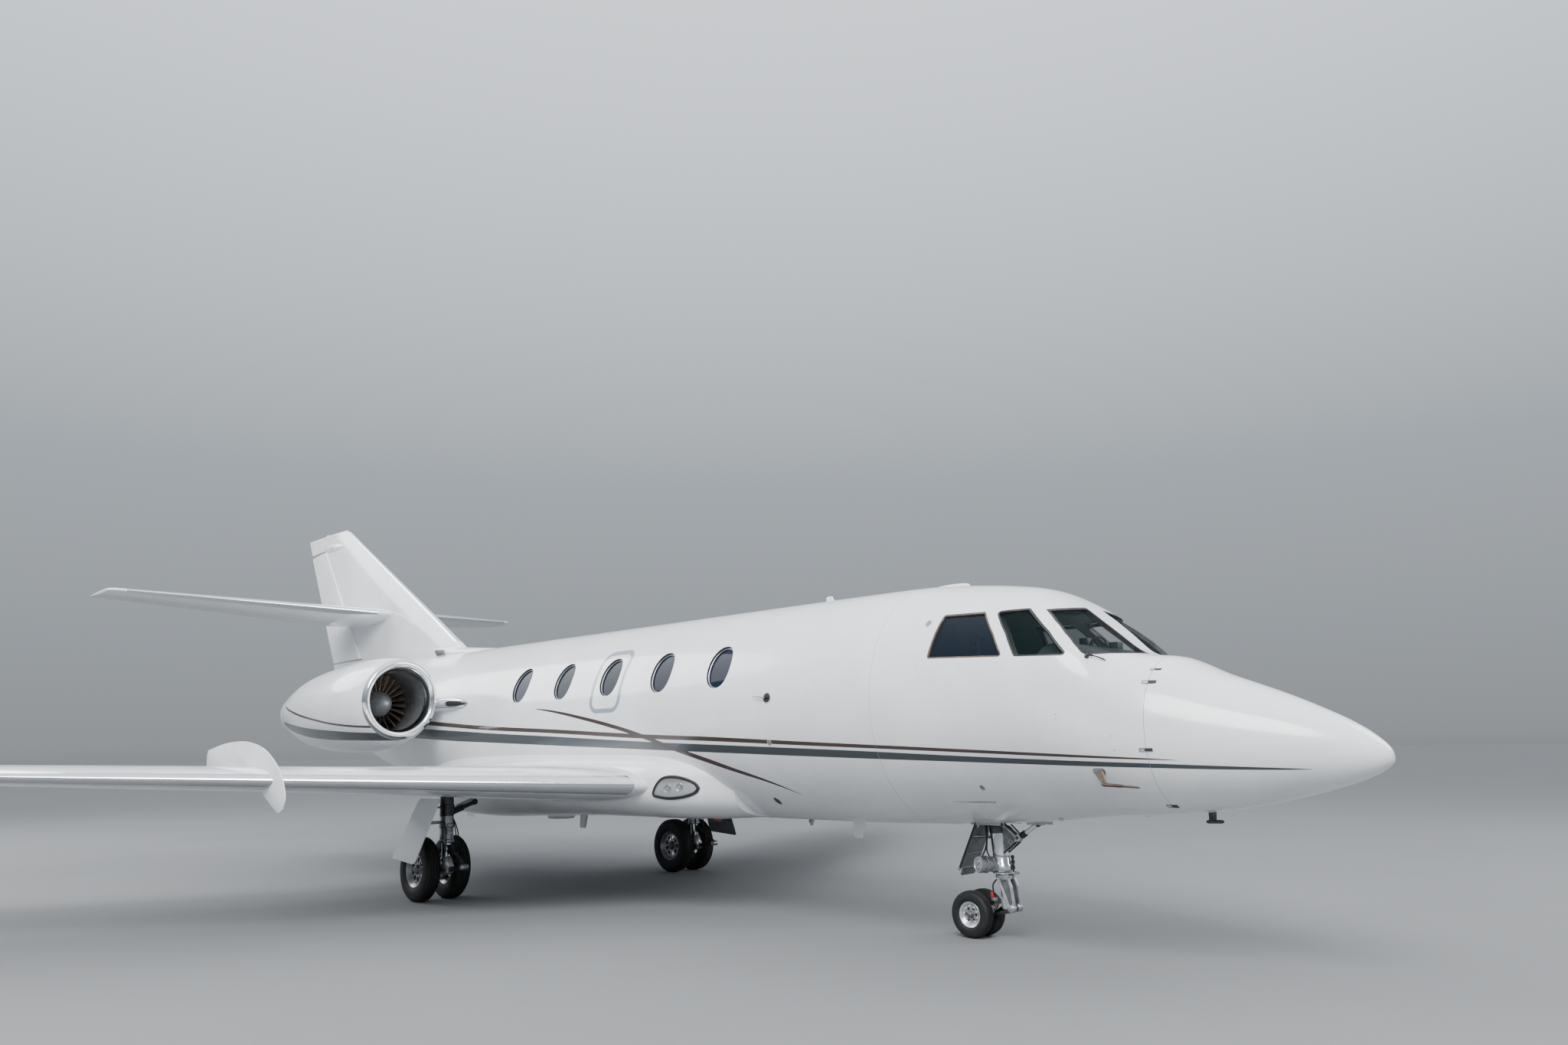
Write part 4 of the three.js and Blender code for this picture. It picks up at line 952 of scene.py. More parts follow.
def nacelle_paint():
    """Cowl enamel with the thin brown and dark bands low on the side and the cowl joints."""
    shader = Shader("nacelle_paint")
    colour, rough, normal = paint_base(shader)
    s, y, z = station(shader)
    outboard = shader.span(shader.math("ABSOLUTE", y), ENGINE_Y - 0.05, ENGINE_Y)
    colour = shader.mix(shader.times(stripe(shader, s, z, COWL_GREY), outboard), colour, STRIPE_GREY)
    colour = shader.mix(shader.times(stripe(shader, s, z, COWL_BROWN), outboard), colour, STRIPE_BROWN)
    joints = [shader.near(s, place, 0.0015, 0.0015) for place in COWL_JOINTS]
    split = shader.near(shader.math("ABSOLUTE", y), ENGINE_Y, 0.0015, 0.0015)
    split = shader.times(split, shader.near(s, 11.75, 0.57, 0.001))
    return finish_paint(shader, colour, rough, normal, shader.times(shader.total(*joints, split), 0.6))


def tyre_rubber():
    """Tyre rubber with dusty patches and a fine grain."""
    shader = Shader("tyre_rubber")
    dust = shader.noise(16.0, 6.0, 0.7)
    fine = shader.noise(200.0, 4.0)
    tone = shader.mix(shader.span(dust, 0.45, 0.85), (0.006, 0.006, 0.007), (0.024, 0.023, 0.022))
    shader.set(Base_Color=tone, Roughness=shader.span(dust, 0.3, 0.8, 0.58, 0.86),
               Normal=shader.bump(fine, 0.0008, 0.35))
    return shader.material


def make_looks():
    return {
        "body": body_paint(),
        "wing": wing_paint(),
        "tail": tail_paint(),
        "cowl": nacelle_paint(),
        "white": plain_paint("plain_white"),
        "polish": polished_metal("polished_edge"),
        "lip": polished_metal("intake_lip", (0.86, 0.88, 0.91), 0.08),
        "duct": cast_metal("duct_liner", (0.24, 0.25, 0.26), (0.33, 0.34, 0.355), 0.32, 0.7),
        "blade": cast_metal("fan_blade", (0.34, 0.25, 0.185), (0.52, 0.40, 0.30), 0.34, 0.7, 60.0),
        "spinner": cast_metal("spinner", (0.40, 0.41, 0.42), (0.50, 0.51, 0.52), 0.33, 0.5),
        "hot": cast_metal("hot_section", (0.19, 0.165, 0.145), (0.33, 0.30, 0.27), 0.4, 0.9),
        "steel": cast_metal("gear_steel", (0.30, 0.31, 0.33), (0.46, 0.47, 0.49), 0.34, 0.9),
        "dark_steel": cast_metal("dark_steel", (0.05, 0.052, 0.056), (0.11, 0.115, 0.12), 0.38, 0.8),
        "chrome": polished_metal("chrome", (0.85, 0.86, 0.88), 0.05),
        "rim": cast_metal("wheel_alloy", (0.30, 0.31, 0.33), (0.42, 0.43, 0.44), 0.36, 0.7),
        "bronze": cast_metal("bronze_fitting", (0.075, 0.055, 0.045), (0.15, 0.115, 0.092), 0.36, 0.6, 60.0),
        "rim_flange": cast_metal("wheel_flange", (0.60, 0.61, 0.63), (0.78, 0.79, 0.80), 0.28, 0.7),
        "hub": cast_metal("wheel_hub", (0.10, 0.105, 0.11), (0.20, 0.205, 0.21), 0.4, 0.6),
        "forging": cast_metal("gear_forging", (0.42, 0.44, 0.46), (0.58, 0.60, 0.62), 0.30, 0.6, 90.0),
        # The web finish is a dark grey that stands for the shade in the recessed pockets of the forgings:
        # painted shade.
        "web": cast_metal("forging_web_painted_shade", (0.13, 0.14, 0.15), (0.22, 0.23, 0.245), 0.42, 0.5, 90.0),
        "black": plastic("black_satin", (0.02, 0.021, 0.023), 0.42),
        "seal": rubber("rubber_seal", (0.012, 0.012, 0.013), 0.55),
        "tyre": tyre_rubber(),
        "groove": rubber("tread_groove", (0.006, 0.006, 0.006), 0.9),
        # Cabin glass is nearly opaque dark blue: painted shade standing in for the unlit cabin behind it.
        "cabin_glass_painted_shade": glass("cabin_glass_painted_shade", (0.012, 0.020, 0.036), 0.015, 0.93, 0.16),
        "pane": glass("windshield_glass", (0.012, 0.040, 0.048), 0.01, 0.09, 0.25),
        "dark_pane": glass("rear_pane_glass", (0.006, 0.014, 0.026), 0.01, 0.48),
        "rear_seal": rubber("rear_pane_seal", (0.085, 0.062, 0.045), 0.5),
        "lining": plastic("cabin_lining", (0.46, 0.43, 0.37), 0.6),
        "cockpit_trim": plastic("cockpit_trim", (0.50, 0.49, 0.45), 0.6),
        "glareshield": plastic("glareshield", (0.016, 0.022, 0.025), 0.75, 180.0),
        "carpet": woven("carpet", (0.30, 0.26, 0.20)),
        "veneer": plastic("bulkhead_panel", (0.55, 0.50, 0.42), 0.4),
        "hide": leather("seat_hide", (0.10, 0.085, 0.072)),
        "fleece": woven("seat_fleece", (0.62, 0.58, 0.50), 300.0),
        "screen": glass("screen_glass", (0.02, 0.03, 0.045), 0.03, 1.0),
        "white_lens": lens("clear_lens", (0.80, 0.82, 0.80)),
        "red_lens": lens("red_lens", (0.62, 0.02, 0.015)),
        "green_lens": lens("green_lens", (0.02, 0.45, 0.16)),
        "red_paint": plastic("red_mark", (0.50, 0.03, 0.02), 0.4),
        "brass": cast_metal("bronze_probe", (0.26, 0.19, 0.12), (0.38, 0.29, 0.20), 0.35, 0.9),
        "bay": gear_enamel("bay_primer", (0.30, 0.31, 0.29), (0.42, 0.43, 0.40)),
        # The door inner finish is a dark grey that stands for the shade on the inner faces of the gear doors:
        # painted shade.
        "door_inner_painted_shade": gear_enamel("door_inner_painted_shade", (0.14, 0.15, 0.16), (0.20, 0.21, 0.22)),
        "clear": glass("clear_cover", (0.60, 0.63, 0.65), 0.01, 0.05, 0.3),
        "louvre": plastic("louvred_panel", (0.045, 0.060, 0.080), 0.45),
    }


LOOK = make_looks()


# Fuselage

fuselage_at = fair_table(FUSELAGE, 0.022, np.sqrt)


def fuselage_ring(s, count=192):
    crown, mid, keel, half, power = (float(v) for v in fuselage_at(s))
    angles = full_turn(count)
    p = np.where(np.cos(angles) > 0, 2 / power, 1.0)
    side = np.sign(np.sin(angles)) * np.abs(np.sin(angles)) ** p
    rise = np.sign(np.cos(angles)) * np.abs(np.cos(angles)) ** p
    height = np.where(rise > 0, crown - mid, mid - keel)
    return points3(s, side * half, mid + rise * height)


def fuselage_field(p):
    """Zero on the fuselage skin, less inside it and more outside."""
    s = NOSE_X - p[..., 0]
    crown, mid, keel, half, power = fuselage_at(np.clip(s, 0, TAIL_END))
    rise = p[..., 2] - mid
    height = np.where(rise > 0, crown - mid, mid - keel)
    n = np.where(rise > 0, power, 2.0)
    return (np.abs(p[..., 1]) / half) ** n + (np.abs(rise) / height) ** n - 1


def fuselage_normal(p, step=0.004):
    grad = np.stack([fuselage_field(p + step * e) - fuselage_field(p - step * e) for e in np.eye(3)], axis=-1)
    return grad / np.linalg.norm(grad, axis=-1)[..., None]


def skin_rings(s0, s1, step, count=192, depth=0.0):
    stations = np.linspace(s0, s1, max(2, int(round((s1 - s0) / step)) + 1))
    rings = np.array([fuselage_ring(s, count) for s in stations])
    if depth:
        inner = rings - fuselage_normal(rings) * depth
        inner[..., 0] = rings[..., 0]
        return inner
    return rings


def skin_shell(s0, s1, step, wall=WALL, outer_look=0, inner_look=1, count=192):
    """Fuselage wall between two stations, open at both ends."""
    outer = skin_rings(s0, s1, step, count)
    inner = skin_rings(s0, s1, max(step, 0.06), count, wall)[::-1]
    rings = np.concatenate([outer, inner])
    looks = np.full((len(rings), count), inner_look)
    looks[:len(outer) - 1] = outer_look
    return loft(rings, closed=True, looks=looks)


def on_side(s, z, side):
    """Points of the fuselage side at stations and heights."""
    s, z = np.asarray(s, float), np.asarray(z, float)
    crown, mid, keel, half, power = fuselage_at(s)
    rise = z - mid
    height = np.where(rise > 0, crown - mid, mid - keel)
    n = np.where(rise > 0, power, 2.0)
    y = half * np.maximum(1 - (np.abs(rise) / height) ** n, 0) ** (1 / n)
    return points3(s, side * y, z)


def on_front(y, z, low=1.2, high=2.6):
    """Points of the windshield at distances from the centre plane and heights."""
    y, z = np.asarray(y, float), np.asarray(z, float)
    a, b = np.full_like(z, low), np.full_like(z, high)
    for _ in range(36):
        middle = (a + b) / 2
        outside = fuselage_field(points3(middle, y, z)) > 0
        a, b = np.where(outside, middle, a), np.where(outside, b, middle)
    return points3((a + b) / 2, y, z)


def on_crown(s, y=0.0, sign=1):
    """Point of the fuselage top, or bottom, at a station."""
    crown, mid, keel, half, power = (float(v) for v in fuselage_at(s))
    n = power if sign > 0 else 2.0
    rise = max(0.0, 1 - (abs(y) / half) ** n) ** (1 / n)
    return at(s, y, mid + rise * (crown - mid if sign > 0 else keel - mid))


def pane(outline, project, depth, thick=0.008, look=0, layers=9):
    """Curved sheet of glazing inside an outline, set in from the skin by a depth."""
    centre = outline.mean(axis=0)
    sheets = []
    for offset in (depth, depth + thick):
        rings = []
        for share in np.linspace(0.02, 1, layers):
            points = project(centre + (outline - centre) * share)
            rings.append(points - fuselage_normal(points) * offset)
        sheets.append(rings)
    return loft([*sheets[0], *sheets[1][::-1]], look)


def rim(outline, project, width, top, bottom, look=0, crown=0.0):
    """Flat ring of trim just inside an outline, between two depths under the skin."""
    rows = []
    for amount, depth in ((0.0, top), (width * 0.5, top - crown), (width, top),
                          (width, bottom), (0.0, bottom)):
        points = project(inset(outline, amount) if amount else outline)
        rows.append(points - fuselage_normal(points) * depth)
    return loft(rows, look, closed=True)


def side_project(side):
    return lambda outline: on_side(outline[:, 0], outline[:, 1], side)


def front_project(side):
    return lambda outline: on_front(outline[:, 0] * side, outline[:, 1])


def body_windows():
    """Oval cabin windows: one outline for each place on one side."""
    return [oval(WINDOW_FIRST + i * WINDOW_PITCH, WINDOW_Z, WINDOW_WIDTH, WINDOW_HEIGHT, power=0.9)
            for i in range(WINDOW_COUNT)]


def exit_outline(grow=0.0):
    return rectangle(EXIT["front"] - grow, EXIT["back"] + grow, EXIT["bottom"] - grow, EXIT["top"] + grow,
                     EXIT["radius"] + grow)


def door_outline(grow=0.0, rise=0.0, foot=0.006):
    low = DOOR["bottom"] - foot
    head = rounded([(DOOR["back"] + grow, DOOR["top"] + rise), (DOOR["front"] - grow, DOOR["top"] + rise),
                    (DOOR["front"] - grow, low), (DOOR["back"] + grow, low)], DOOR["radius"])
    half = len(head) // 2
    feet = np.array([(DOOR["front"] - grow, low), (DOOR["back"] + grow, low)])
    return np.vstack([head[:half], feet])


SIDE_OUTLINES = {
    "mid": even(rounded(PANE_MID, 0.02), 112),
    "rear": even(rounded(PANE_REAR, 0.02), 112),
}
FRONT_OUTLINE = even(rounded(PANE_FRONT, 0.02), 112)
GLASS_DEPTH = 0.014
SEAL_WIDTH = 0.013


def build_radome():
    """Nose cone and the dark gasket behind it."""
    stations = np.linspace(0, math.sqrt(SPLIT_RADOME - JOINT), 90) ** 2
    rings = [fuselage_ring(max(s, 1e-4)) for s in stations]
    piece("nose_cone", [loft(rings)], ["body"], replaces=["radome"], sharp=60)
    gasket = skin_rings(SPLIT_RADOME - 0.006, SPLIT_RADOME + 0.006, 0.012, depth=0.0035)
    inner = skin_rings(SPLIT_RADOME - 0.006, SPLIT_RADOME + 0.006, 0.012, depth=0.03)[::-1]
    piece("nose_joint_gasket", [loft([*gasket, *inner], closed=True)], ["seal"])


def build_cockpit_shell():
    """Cockpit section of the skin with the openings of its panes."""
    shell = skin_shell(SPLIT_RADOME + JOINT, SPLIT_COCKPIT - JOINT, 0.016)
    tools = []
    for side in SIDES.values():
        for outline in SIDE_OUTLINES.values():
            tools.append(cutter([side_prism(outline, side * 0.30, side * 1.15, 2)]))
        tools.append(cutter([front_prism(FRONT_OUTLINE * np.array([side, 1.0]), 1.25, 2.32, 2)]))
    tools += [
        cutter([plan_prism(rectangle(2.85, 3.12, -0.148, 0.148, 0.03), 0.7, 1.0, 2)]),
        cutter([plan_prism(rectangle(2.505, 2.66, -0.05, 0.05, 0.02), 0.7, 1.0, 2)]),
    ]
    piece("cockpit_skin", [shell], ["body", "cockpit_trim", "seal"],
          replaces=["cockpit_section"], sharp=40, cuts=tools)


def build_cockpit_glazing():
    """Cockpit panes with their seals."""
    for tag, side in SIDES.items():
        for name, outline in SIDE_OUTLINES.items():
            project = side_project(side)
            piece(f"glass_{name}_{tag}", [pane(inset(outline, 0.003), project, GLASS_DEPTH, 0.010)],
                  ["dark_pane" if name == "rear" else "pane"],
                  replaces=[f"window_{name}_{tag}"], sharp=60)
            frame_look = "rear_seal" if name == "rear" else "seal"
            piece(f"glass_seal_{name}_{tag}", [rim(outline, project, SEAL_WIDTH, 0.0025, 0.030, crown=0.001)],
                  [frame_look])
        project = front_project(side)
        piece(f"glass_front_{tag}", [pane(inset(FRONT_OUTLINE, 0.003), project, GLASS_DEPTH, 0.016)],
              ["pane"], replaces=[f"window_front_{tag}"], sharp=60)
        piece(f"glass_seal_front_{tag}", [rim(FRONT_OUTLINE, project, SEAL_WIDTH, 0.0025, 0.034,
                                              crown=0.001)], ["seal"])


def build_cabin_shell():
    shell = skin_shell(SPLIT_COCKPIT + JOINT, SPLIT_TAIL - JOINT, 0.05)
    tools = []
    for outline in body_windows():
        for side in SIDES.values():
            tools.append(cutter([side_prism(outline, side * 0.6, side * 1.2, 2)]))
    tools += [
        cutter([side_prism(exit_outline(), -1.2, -0.45, 2)]),
        cutter([side_prism(door_outline(0.006, 0.008), 0.3, 1.2, 2)]),
    ]
    heel = bar(at(DOOR["front"] - 0.006, DOOR["hinge_y"], DOOR["hinge_z"]),
               at(DOOR["back"] + 0.006, DOOR["hinge_y"], DOOR["hinge_z"]),
               DOOR["heel"] + 0.007, 48, 2)
    tools.append(cutter([heel]))
    piece("cabin_skin", [shell], ["body", "lining", "black"],
          replaces=["cabin_section"], sharp=40, cuts=tools)


def build_cabin_windows():
    """Oval cabin panes with their rims."""
    for tag, side in SIDES.items():
        project = side_project(side)
        for i, outline in enumerate(body_windows()):
            # The panes are nearly opaque dark glass, painted shade for the cabin behind them.
            parts = [pane(inset(outline, 0.004), project, 0.026, 0.010, 0),
                     rim(outline, project, 0.012, 0.021, 0.038, 1, 0.004),
                     rim(outline, project, 0.004, 0.0015, 0.016, 2)]
            piece(f"cabin_window_{i + 1}_{tag}", parts, ["cabin_glass_painted_shade", "steel", "seal"],
                  sharp=50)


def build_exit_hatch():
    """Escape hatch on the starboard side."""
    shell = skin_shell(EXIT["front"] - 0.1, EXIT["back"] + 0.1, 0.03, count=256)
    keep = cutter([side_prism(exit_outline(-0.0025), -1.2, -0.45, 2)])
    window = cutter([side_prism(body_windows()[2], -1.2, -0.6, 2)])
    piece("exit_hatch_skin", [shell], ["body", "lining", "seal"],
          replaces=["exit_hatch"], sharp=40, cuts=[window], keep=[keep])


def build_door():
    """Passenger door with its steps."""
    shell = skin_shell(DOOR["front"] - 0.1, DOOR["back"] + 0.1, 0.03, count=256)
    keep = cutter([side_prism(door_outline(0, 0), 0.3, 1.2, 2)])
    looks = ["body", "lining", "seal", "chrome", "carpet", "steel"]
    hinge_a = at(DOOR["front"], DOOR["hinge_y"], DOOR["hinge_z"])
    hinge_b = at(DOOR["back"], DOOR["hinge_y"], DOOR["hinge_z"])
    pin_a, pin_b = hinge_a + np.array([0.020, 0, 0]), hinge_b - np.array([0.020, 0, 0])
    heel = rod(hinge_a, hinge_b, [(0, 0.060), (0.006, 0.0665), (0.994, 0.0665), (1, 0.060)], 48, 0)
    piece("door_skin", [shell], looks[:3], "passenger_door_body", ["passenger_door"],
          sharp=40, keep=[keep])
    parts = [heel, bar(pin_a, pin_b, 0.0115, 24, 5)]
    for k in range(4):
        z = 1.36 + 0.27 * k
        inner = on_side(4.02, z, 1)[1] - WALL
        parts += [
            block(at(3.72, inner - 0.21, z - 0.016), at(4.32, inner + 0.012, z + 0.012), 0.006, 1),
            block(at(3.74, inner - 0.20, z + 0.0125), at(4.30, inner - 0.01, z + 0.019), 0.003, 4),
            bar(at(3.72, inner - 0.212, z), at(4.32, inner - 0.212, z), 0.008, 16, 3),
        ]
    piece("door_steps", parts, looks, "passenger_door_body")
    recess = rectangle(3.70, 3.86, 1.86, 1.93, 0.02)
    handle_path = spline([on_side(s, 1.895, 1) + np.array([0, lift, 0]) for s, lift in
                          ((3.715, -0.004), (3.74, 0.004), (3.78, 0.006), (3.82, 0.004), (3.845, -0.004))])
    handle = [rim(recess, side_project(1), 0.006, -0.0015, 0.010, 3),
              pane(inset(recess, 0.005), side_project(1), -0.0008, 0.006, 5),
              tube(handle_path, 0.007, 16, 3)]
    piece("door_handle", handle, looks, "passenger_door_body")


def build_tail_cone():
    """Tail section of the skin and the lamp at its end."""
    rings = skin_rings(SPLIT_TAIL + JOINT, TAIL_END, 0.05)
    piece("tail_skin", [loft(rings)], ["body"], replaces=["tail_cone"], sharp=50)
    crown, _, keel, _, _ = (float(v) for v in fuselage_at(TAIL_END))
    centre = at(TAIL_END - 0.03, 0, (crown + keel) / 2)
    lamp = [lathe([(0.052, 0.0), (0.052, 0.022), (0.046, 0.03), (0.043, 0.024), (0.043, 0.0)], centre,
                  (-1, 0, 0), 48, 0, closed=True), lathe([(0.0, 0.0), (0.041, 0.0), (0.040, 0.018),
                                                          (0.026, 0.027), (0.0, 0.029)], centre,
                                                         (-1, 0, 0), 48, 1)]
    piece("tail_lamp", lamp, ["chrome", "white_lens"])


# Belly fairing

fairing_at = fair_table(FAIRING, 0.10)


def fairing_rings(count=160):
    rings = []
    for s in np.linspace(FAIRING[0][0], FAIRING[-1][0], 150):
        keel, half, crown = (float(v) for v in fairing_at(s))
        angles = full_turn(count)
        p = np.where(np.cos(angles) > 0, 1.0, 0.62)
        side = np.sign(np.sin(angles)) * np.abs(np.sin(angles)) ** p
        rise = np.sign(np.cos(angles)) * np.abs(np.cos(angles)) ** p
        height = np.where(rise > 0, crown - FAIRING_MID, FAIRING_MID - keel)
        rings.append(points3(s, side * half, FAIRING_MID + rise * height))
    return rings


def build_fairing():
    """Belly fairing, cut away where the fuselage runs through it."""
    inside = cutter([loft(skin_rings(5.0, 11.6, 0.1, 192, 0.02), 0)])
    piece("belly_fairing_skin", [loft(fairing_rings())], ["body"],
          replaces=["belly_fairing"], sharp=50, cuts=[inside])


# Lifting surfaces

def half_thickness(x, ratio):
    return 5 * ratio * (0.2969 * np.sqrt(x) - 0.126 * x - 0.3516 * x ** 2 + 0.2843 * x ** 3 - 0.1036 * x ** 4)


CHORD_COUNT = 44


def chord_points(low=0.0, count=CHORD_COUNT):
    """Chord fractions from the trailing edge to a front limit, closer together at the nose."""
    turn = np.linspace(0, math.pi, count)
    return low + (1 - low) * (1 + np.cos(turn)) / 2


def aerofoil(chord, ratio, camber=0.0, twist=0.0, count=CHORD_COUNT):
    x = chord_points(0.0, count)
    mean = camber * 4 * x * (1 - x) - math.tan(twist) * x
    thick = half_thickness(x, ratio) + 0.0022 * x ** 8
    upper = np.stack([x, mean + thick], axis=1)
    lower = np.stack([x, mean - thick], axis=1)[::-1][1:]
    return np.vstack([upper, lower]) * chord


def aerofoil_looks(rows, edge, low=0.0, high=1.0, shares=None):
    """Look numbers for the quads of a lofted surface: the nose strip is look 1."""
    x = chord_points()
    both = np.concatenate([x, x[::-1][1:]])
    middle = (both + np.roll(both, -1)) / 2
    nose = middle < edge
    marks = np.tile(nose.astype(int), (rows - 1, 1))
    if shares is not None:
        centre = (np.asarray(shares)[1:] + np.asarray(shares)[:-1]) / 2
        marks[(centre < low) | (centre > high)] = 0
    return marks


def wing_at(y):
    """Leading edge, chord, height, thickness ratio and twist of the wing at a y."""
    le = WING_LEAD + WING_SWEEP * y
    inner = WING_TRAIL_ROOT + WING_TRAIL_INNER * (y / WING_KINK_Y)
    outer = WING_TRAIL_KINK + WING_TRAIL_OUTER * ((y - WING_KINK_Y) / (HALF_SPAN - WING_KINK_Y))
    te = inner if y < WING_KINK_Y else outer
    ratio = WING_RATIO - WING_RATIO_FALL * y / HALF_SPAN
    return le, te - le, WING_Z + WING_DIHEDRAL * y, ratio, WING_TWIST * (1 - y / HALF_SPAN)


WING_CAMBER = 0.012
TIP_START = 8.02


def tip_shrink(y, start, end, least=0.5):
    """Share of the section that is left towards a rounded tip."""
    share = max(0.0, (y - start) / (end - start))
    return least + (1 - least) * math.sqrt(max(0.0, 1 - share ** 2.2))


def wing_ring(y, side):
    """Section of the wing at a y, rounded off at the tip."""
    le, chord, z, ratio, twist = wing_at(y)
    keep = tip_shrink(y, TIP_START, HALF_SPAN)
    start = (1 - keep) * 0.25 * chord
    ring = aerofoil(chord - start, ratio * keep, WING_CAMBER, twist)
    return points3(le + start + ring[:, 0], side * y, z + ring[:, 1])


def wing_stations():
    return np.concatenate([np.linspace(WING_ROOT_Y, WING_KINK_Y, 26),
                           np.linspace(WING_KINK_Y, TIP_START, 60)[1:],
                           TIP_START + (HALF_SPAN - TIP_START) * np.sin(np.linspace(0, math.pi / 2, 9))[1:]])


def wing_hinge(y, fraction):
    """Station, height and radius of a hinge line of the wing at a y."""
    le, chord, z, ratio, twist = wing_at(y)
    mean = (WING_CAMBER * 4 * fraction * (1 - fraction) - math.tan(twist) * fraction) * chord
    return le + chord * fraction, z + mean, float(half_thickness(fraction, ratio)) * chord


def cove_outline(y_from, y_to, fraction, gap_in, gap_out):
    """Plan of the room that a trailing surface takes out of the wing."""
    sa, _, ra = wing_hinge(y_from, fraction)
    sb, _, rb = wing_hinge(y_to, fraction)
    slope = ((sb - rb) - (sa - ra)) / (y_to - y_from)
    shift = SURFACE_GAP / math.cos(math.atan(slope))
    front = [(sa - ra - shift + slope * (y - y_from), y) for y in (y_from - gap_in, y_to + gap_out)]
    return [front[0], front[1], (12.5, y_to + gap_out), (12.5, y_from - gap_in)]


def build_wing(tag, side):
    """Wing skin with room cut for its trailing surfaces."""
    stations = wing_stations()
    rings = [wing_ring(y, side) for y in stations]
    looks = aerofoil_looks(len(stations), 0.035, 1.18, 7.95, stations)
    outlines = [cove_outline(*row[1:]) for row in WING_SURFACES]
    outlines += [[(s0, y0), (s1, y0), (s1, y1), (s0, y1)] for s0, s1, y0, y1 in WING_SLOTS]
    coves = [plan_prism(np.array(outline) * (1.0, side), 0.5, 2.5, 2) for outline in outlines]
    piece(f"wing_skin_{tag}", [loft(rings, looks=looks)], ["wing", "polish", "bay"],
          replaces=[f"wing_{tag}"], sharp=40, cuts=[cutter([c]) for c in coves])


def surface_ring(y, fraction, side):
    """Section of a trailing surface: the aerofoil behind its hinge and a round nose about it."""
    le, chord, z, ratio, twist = wing_at(y)
    hinge_s, hinge_z, radius = wing_hinge(y, fraction)
    x = chord_points(fraction, 26)[:20]
    x = np.append(x[x > fraction + 0.004], fraction + 0.001)
    mean = (WING_CAMBER * 4 * x * (1 - x) - math.tan(twist) * x) * chord
    thick = half_thickness(x, ratio) * chord
    turn = np.radians(np.linspace(90, -90, 19))
    nose = np.stack([hinge_s - np.cos(turn) * radius, hinge_z + np.sin(turn) * radius], axis=1)
    upper = np.stack([le + x * chord, z + mean + thick], axis=1)
    lower = np.stack([le + x * chord, z + mean - thick], axis=1)[::-1]
    ring = np.vstack([upper, nose, lower])
    return points3(ring[:, 0], side * y, ring[:, 1])


def hinge_pins(a, b, gap_a, gap_b, look=1):
    """Pins along a hinge line past both ends of a surface."""
    a, b = np.asarray(a, float), np.asarray(b, float)
    step = unit(b - a)
    ends = [(a, -1, gap_a), (b, 1, gap_b)]
    return [bar(end - step * sign * 0.03, end + step * sign * (gap + 0.012), 0.0115, 20, look)
            for end, sign, gap in ends]


def build_trailing_surfaces(tag, side):
    """Flaps and aileron of one wing, with their hinge pins."""
    for name, y_from, y_to, fraction, gap_in, gap_out in WING_SURFACES:
        rings = [surface_ring(y, fraction, side) for y in np.linspace(y_from, y_to, 28)]
        ends = [at(s, side * y, z) for y, (s, z, _) in ((y, wing_hinge(y, fraction)) for y in (y_from, y_to))]
        parts = [loft(rings), *hinge_pins(*ends, gap_in, gap_out)]
        piece(f"{name}_skin_{tag}", parts, ["wing", "steel"], f"{name}_{tag}_body",
              [f"{name}_{tag}"], sharp=40)


def fin_at(z):
    rows = np.array(FIN)
    return [float(np.interp(z, rows[:, 0], rows[:, c])) for c in (1, 2, 3)]


FIN_CAP_Z = 5.21


def build_fin():
    """Fin skin with room cut for the rudder."""
    heights = np.concatenate([np.linspace(2.5, 2.96, 24), np.linspace(2.96, 3.403, 14)[1:],
                              np.linspace(3.403, FIN_CAP_Z, 44)[1:], [5.225, 5.24, 5.252, 5.262, 5.27]])
    rings = []
    for z in heights:
        le, te, half = fin_at(z)
        if z > FIN_CAP_Z:
            share = (z - FIN_CAP_Z) / (5.27 - FIN_CAP_Z)
            half = 0.060 * math.sqrt(max(0.02, 1 - share ** 2)) + 0.006
        ring = aerofoil(te - le, 2 * half / (te - le))
        rings.append(points3(le + ring[:, 0], ring[:, 1], z))
    looks = aerofoil_looks(len(heights), 0.020, 3.05, 4.99, heights)
    hinge = [rudder_hinge(z) for z in (RUDDER_LOW - 0.028, RUDDER_HIGH + 0.018)]
    front = [s - r - SURFACE_GAP * 1.35 for s, r, _ in hinge]
    cove = np.array([(front[0], RUDDER_LOW - 0.028), (18.0, RUDDER_LOW - 0.028), (18.0, RUDDER_HIGH + 0.018),
                     (front[1], RUDDER_HIGH + 0.018)])
    tools = [cutter([side_prism(cove, -0.4, 0.4, 2)])]
    piece("fin_skin", [loft(rings, looks=looks)], ["tail", "polish", "bay"],
          replaces=["fin"], sharp=40, cuts=tools)


def rudder_hinge(z):
    """Station of the rudder hinge, its radius and the trailing edge at a height."""
    t = (z - 3.0) / 2.0
    te = 15.8 + (z - 2.96) * 0.286 / 0.443 if z < 3.403 else 16.086 + (z - 3.403) * 0.96 / 1.597
    return 14.704 + 1.724 * t, 0.078 - 0.038 * t, te


def straight_ring(hinge_s, radius, tail, thin=0.003, count=14):
    """Wedge section with a round nose, as (station, offset) points."""
    run = np.linspace(tail, hinge_s, count)[:-1]
    bulge = 1 + 0.22 * np.sin(np.linspace(0, math.pi, count))[:-1]
    side = np.linspace(thin, radius, count)[:-1] * bulge
    turn = np.radians(np.linspace(90, -90, 19))
    nose = np.stack([hinge_s - np.cos(turn) * radius, np.sin(turn) * radius], axis=1)
    return np.vstack([np.stack([run, side], axis=1), nose, np.stack([run, -side], axis=1)[::-1]])


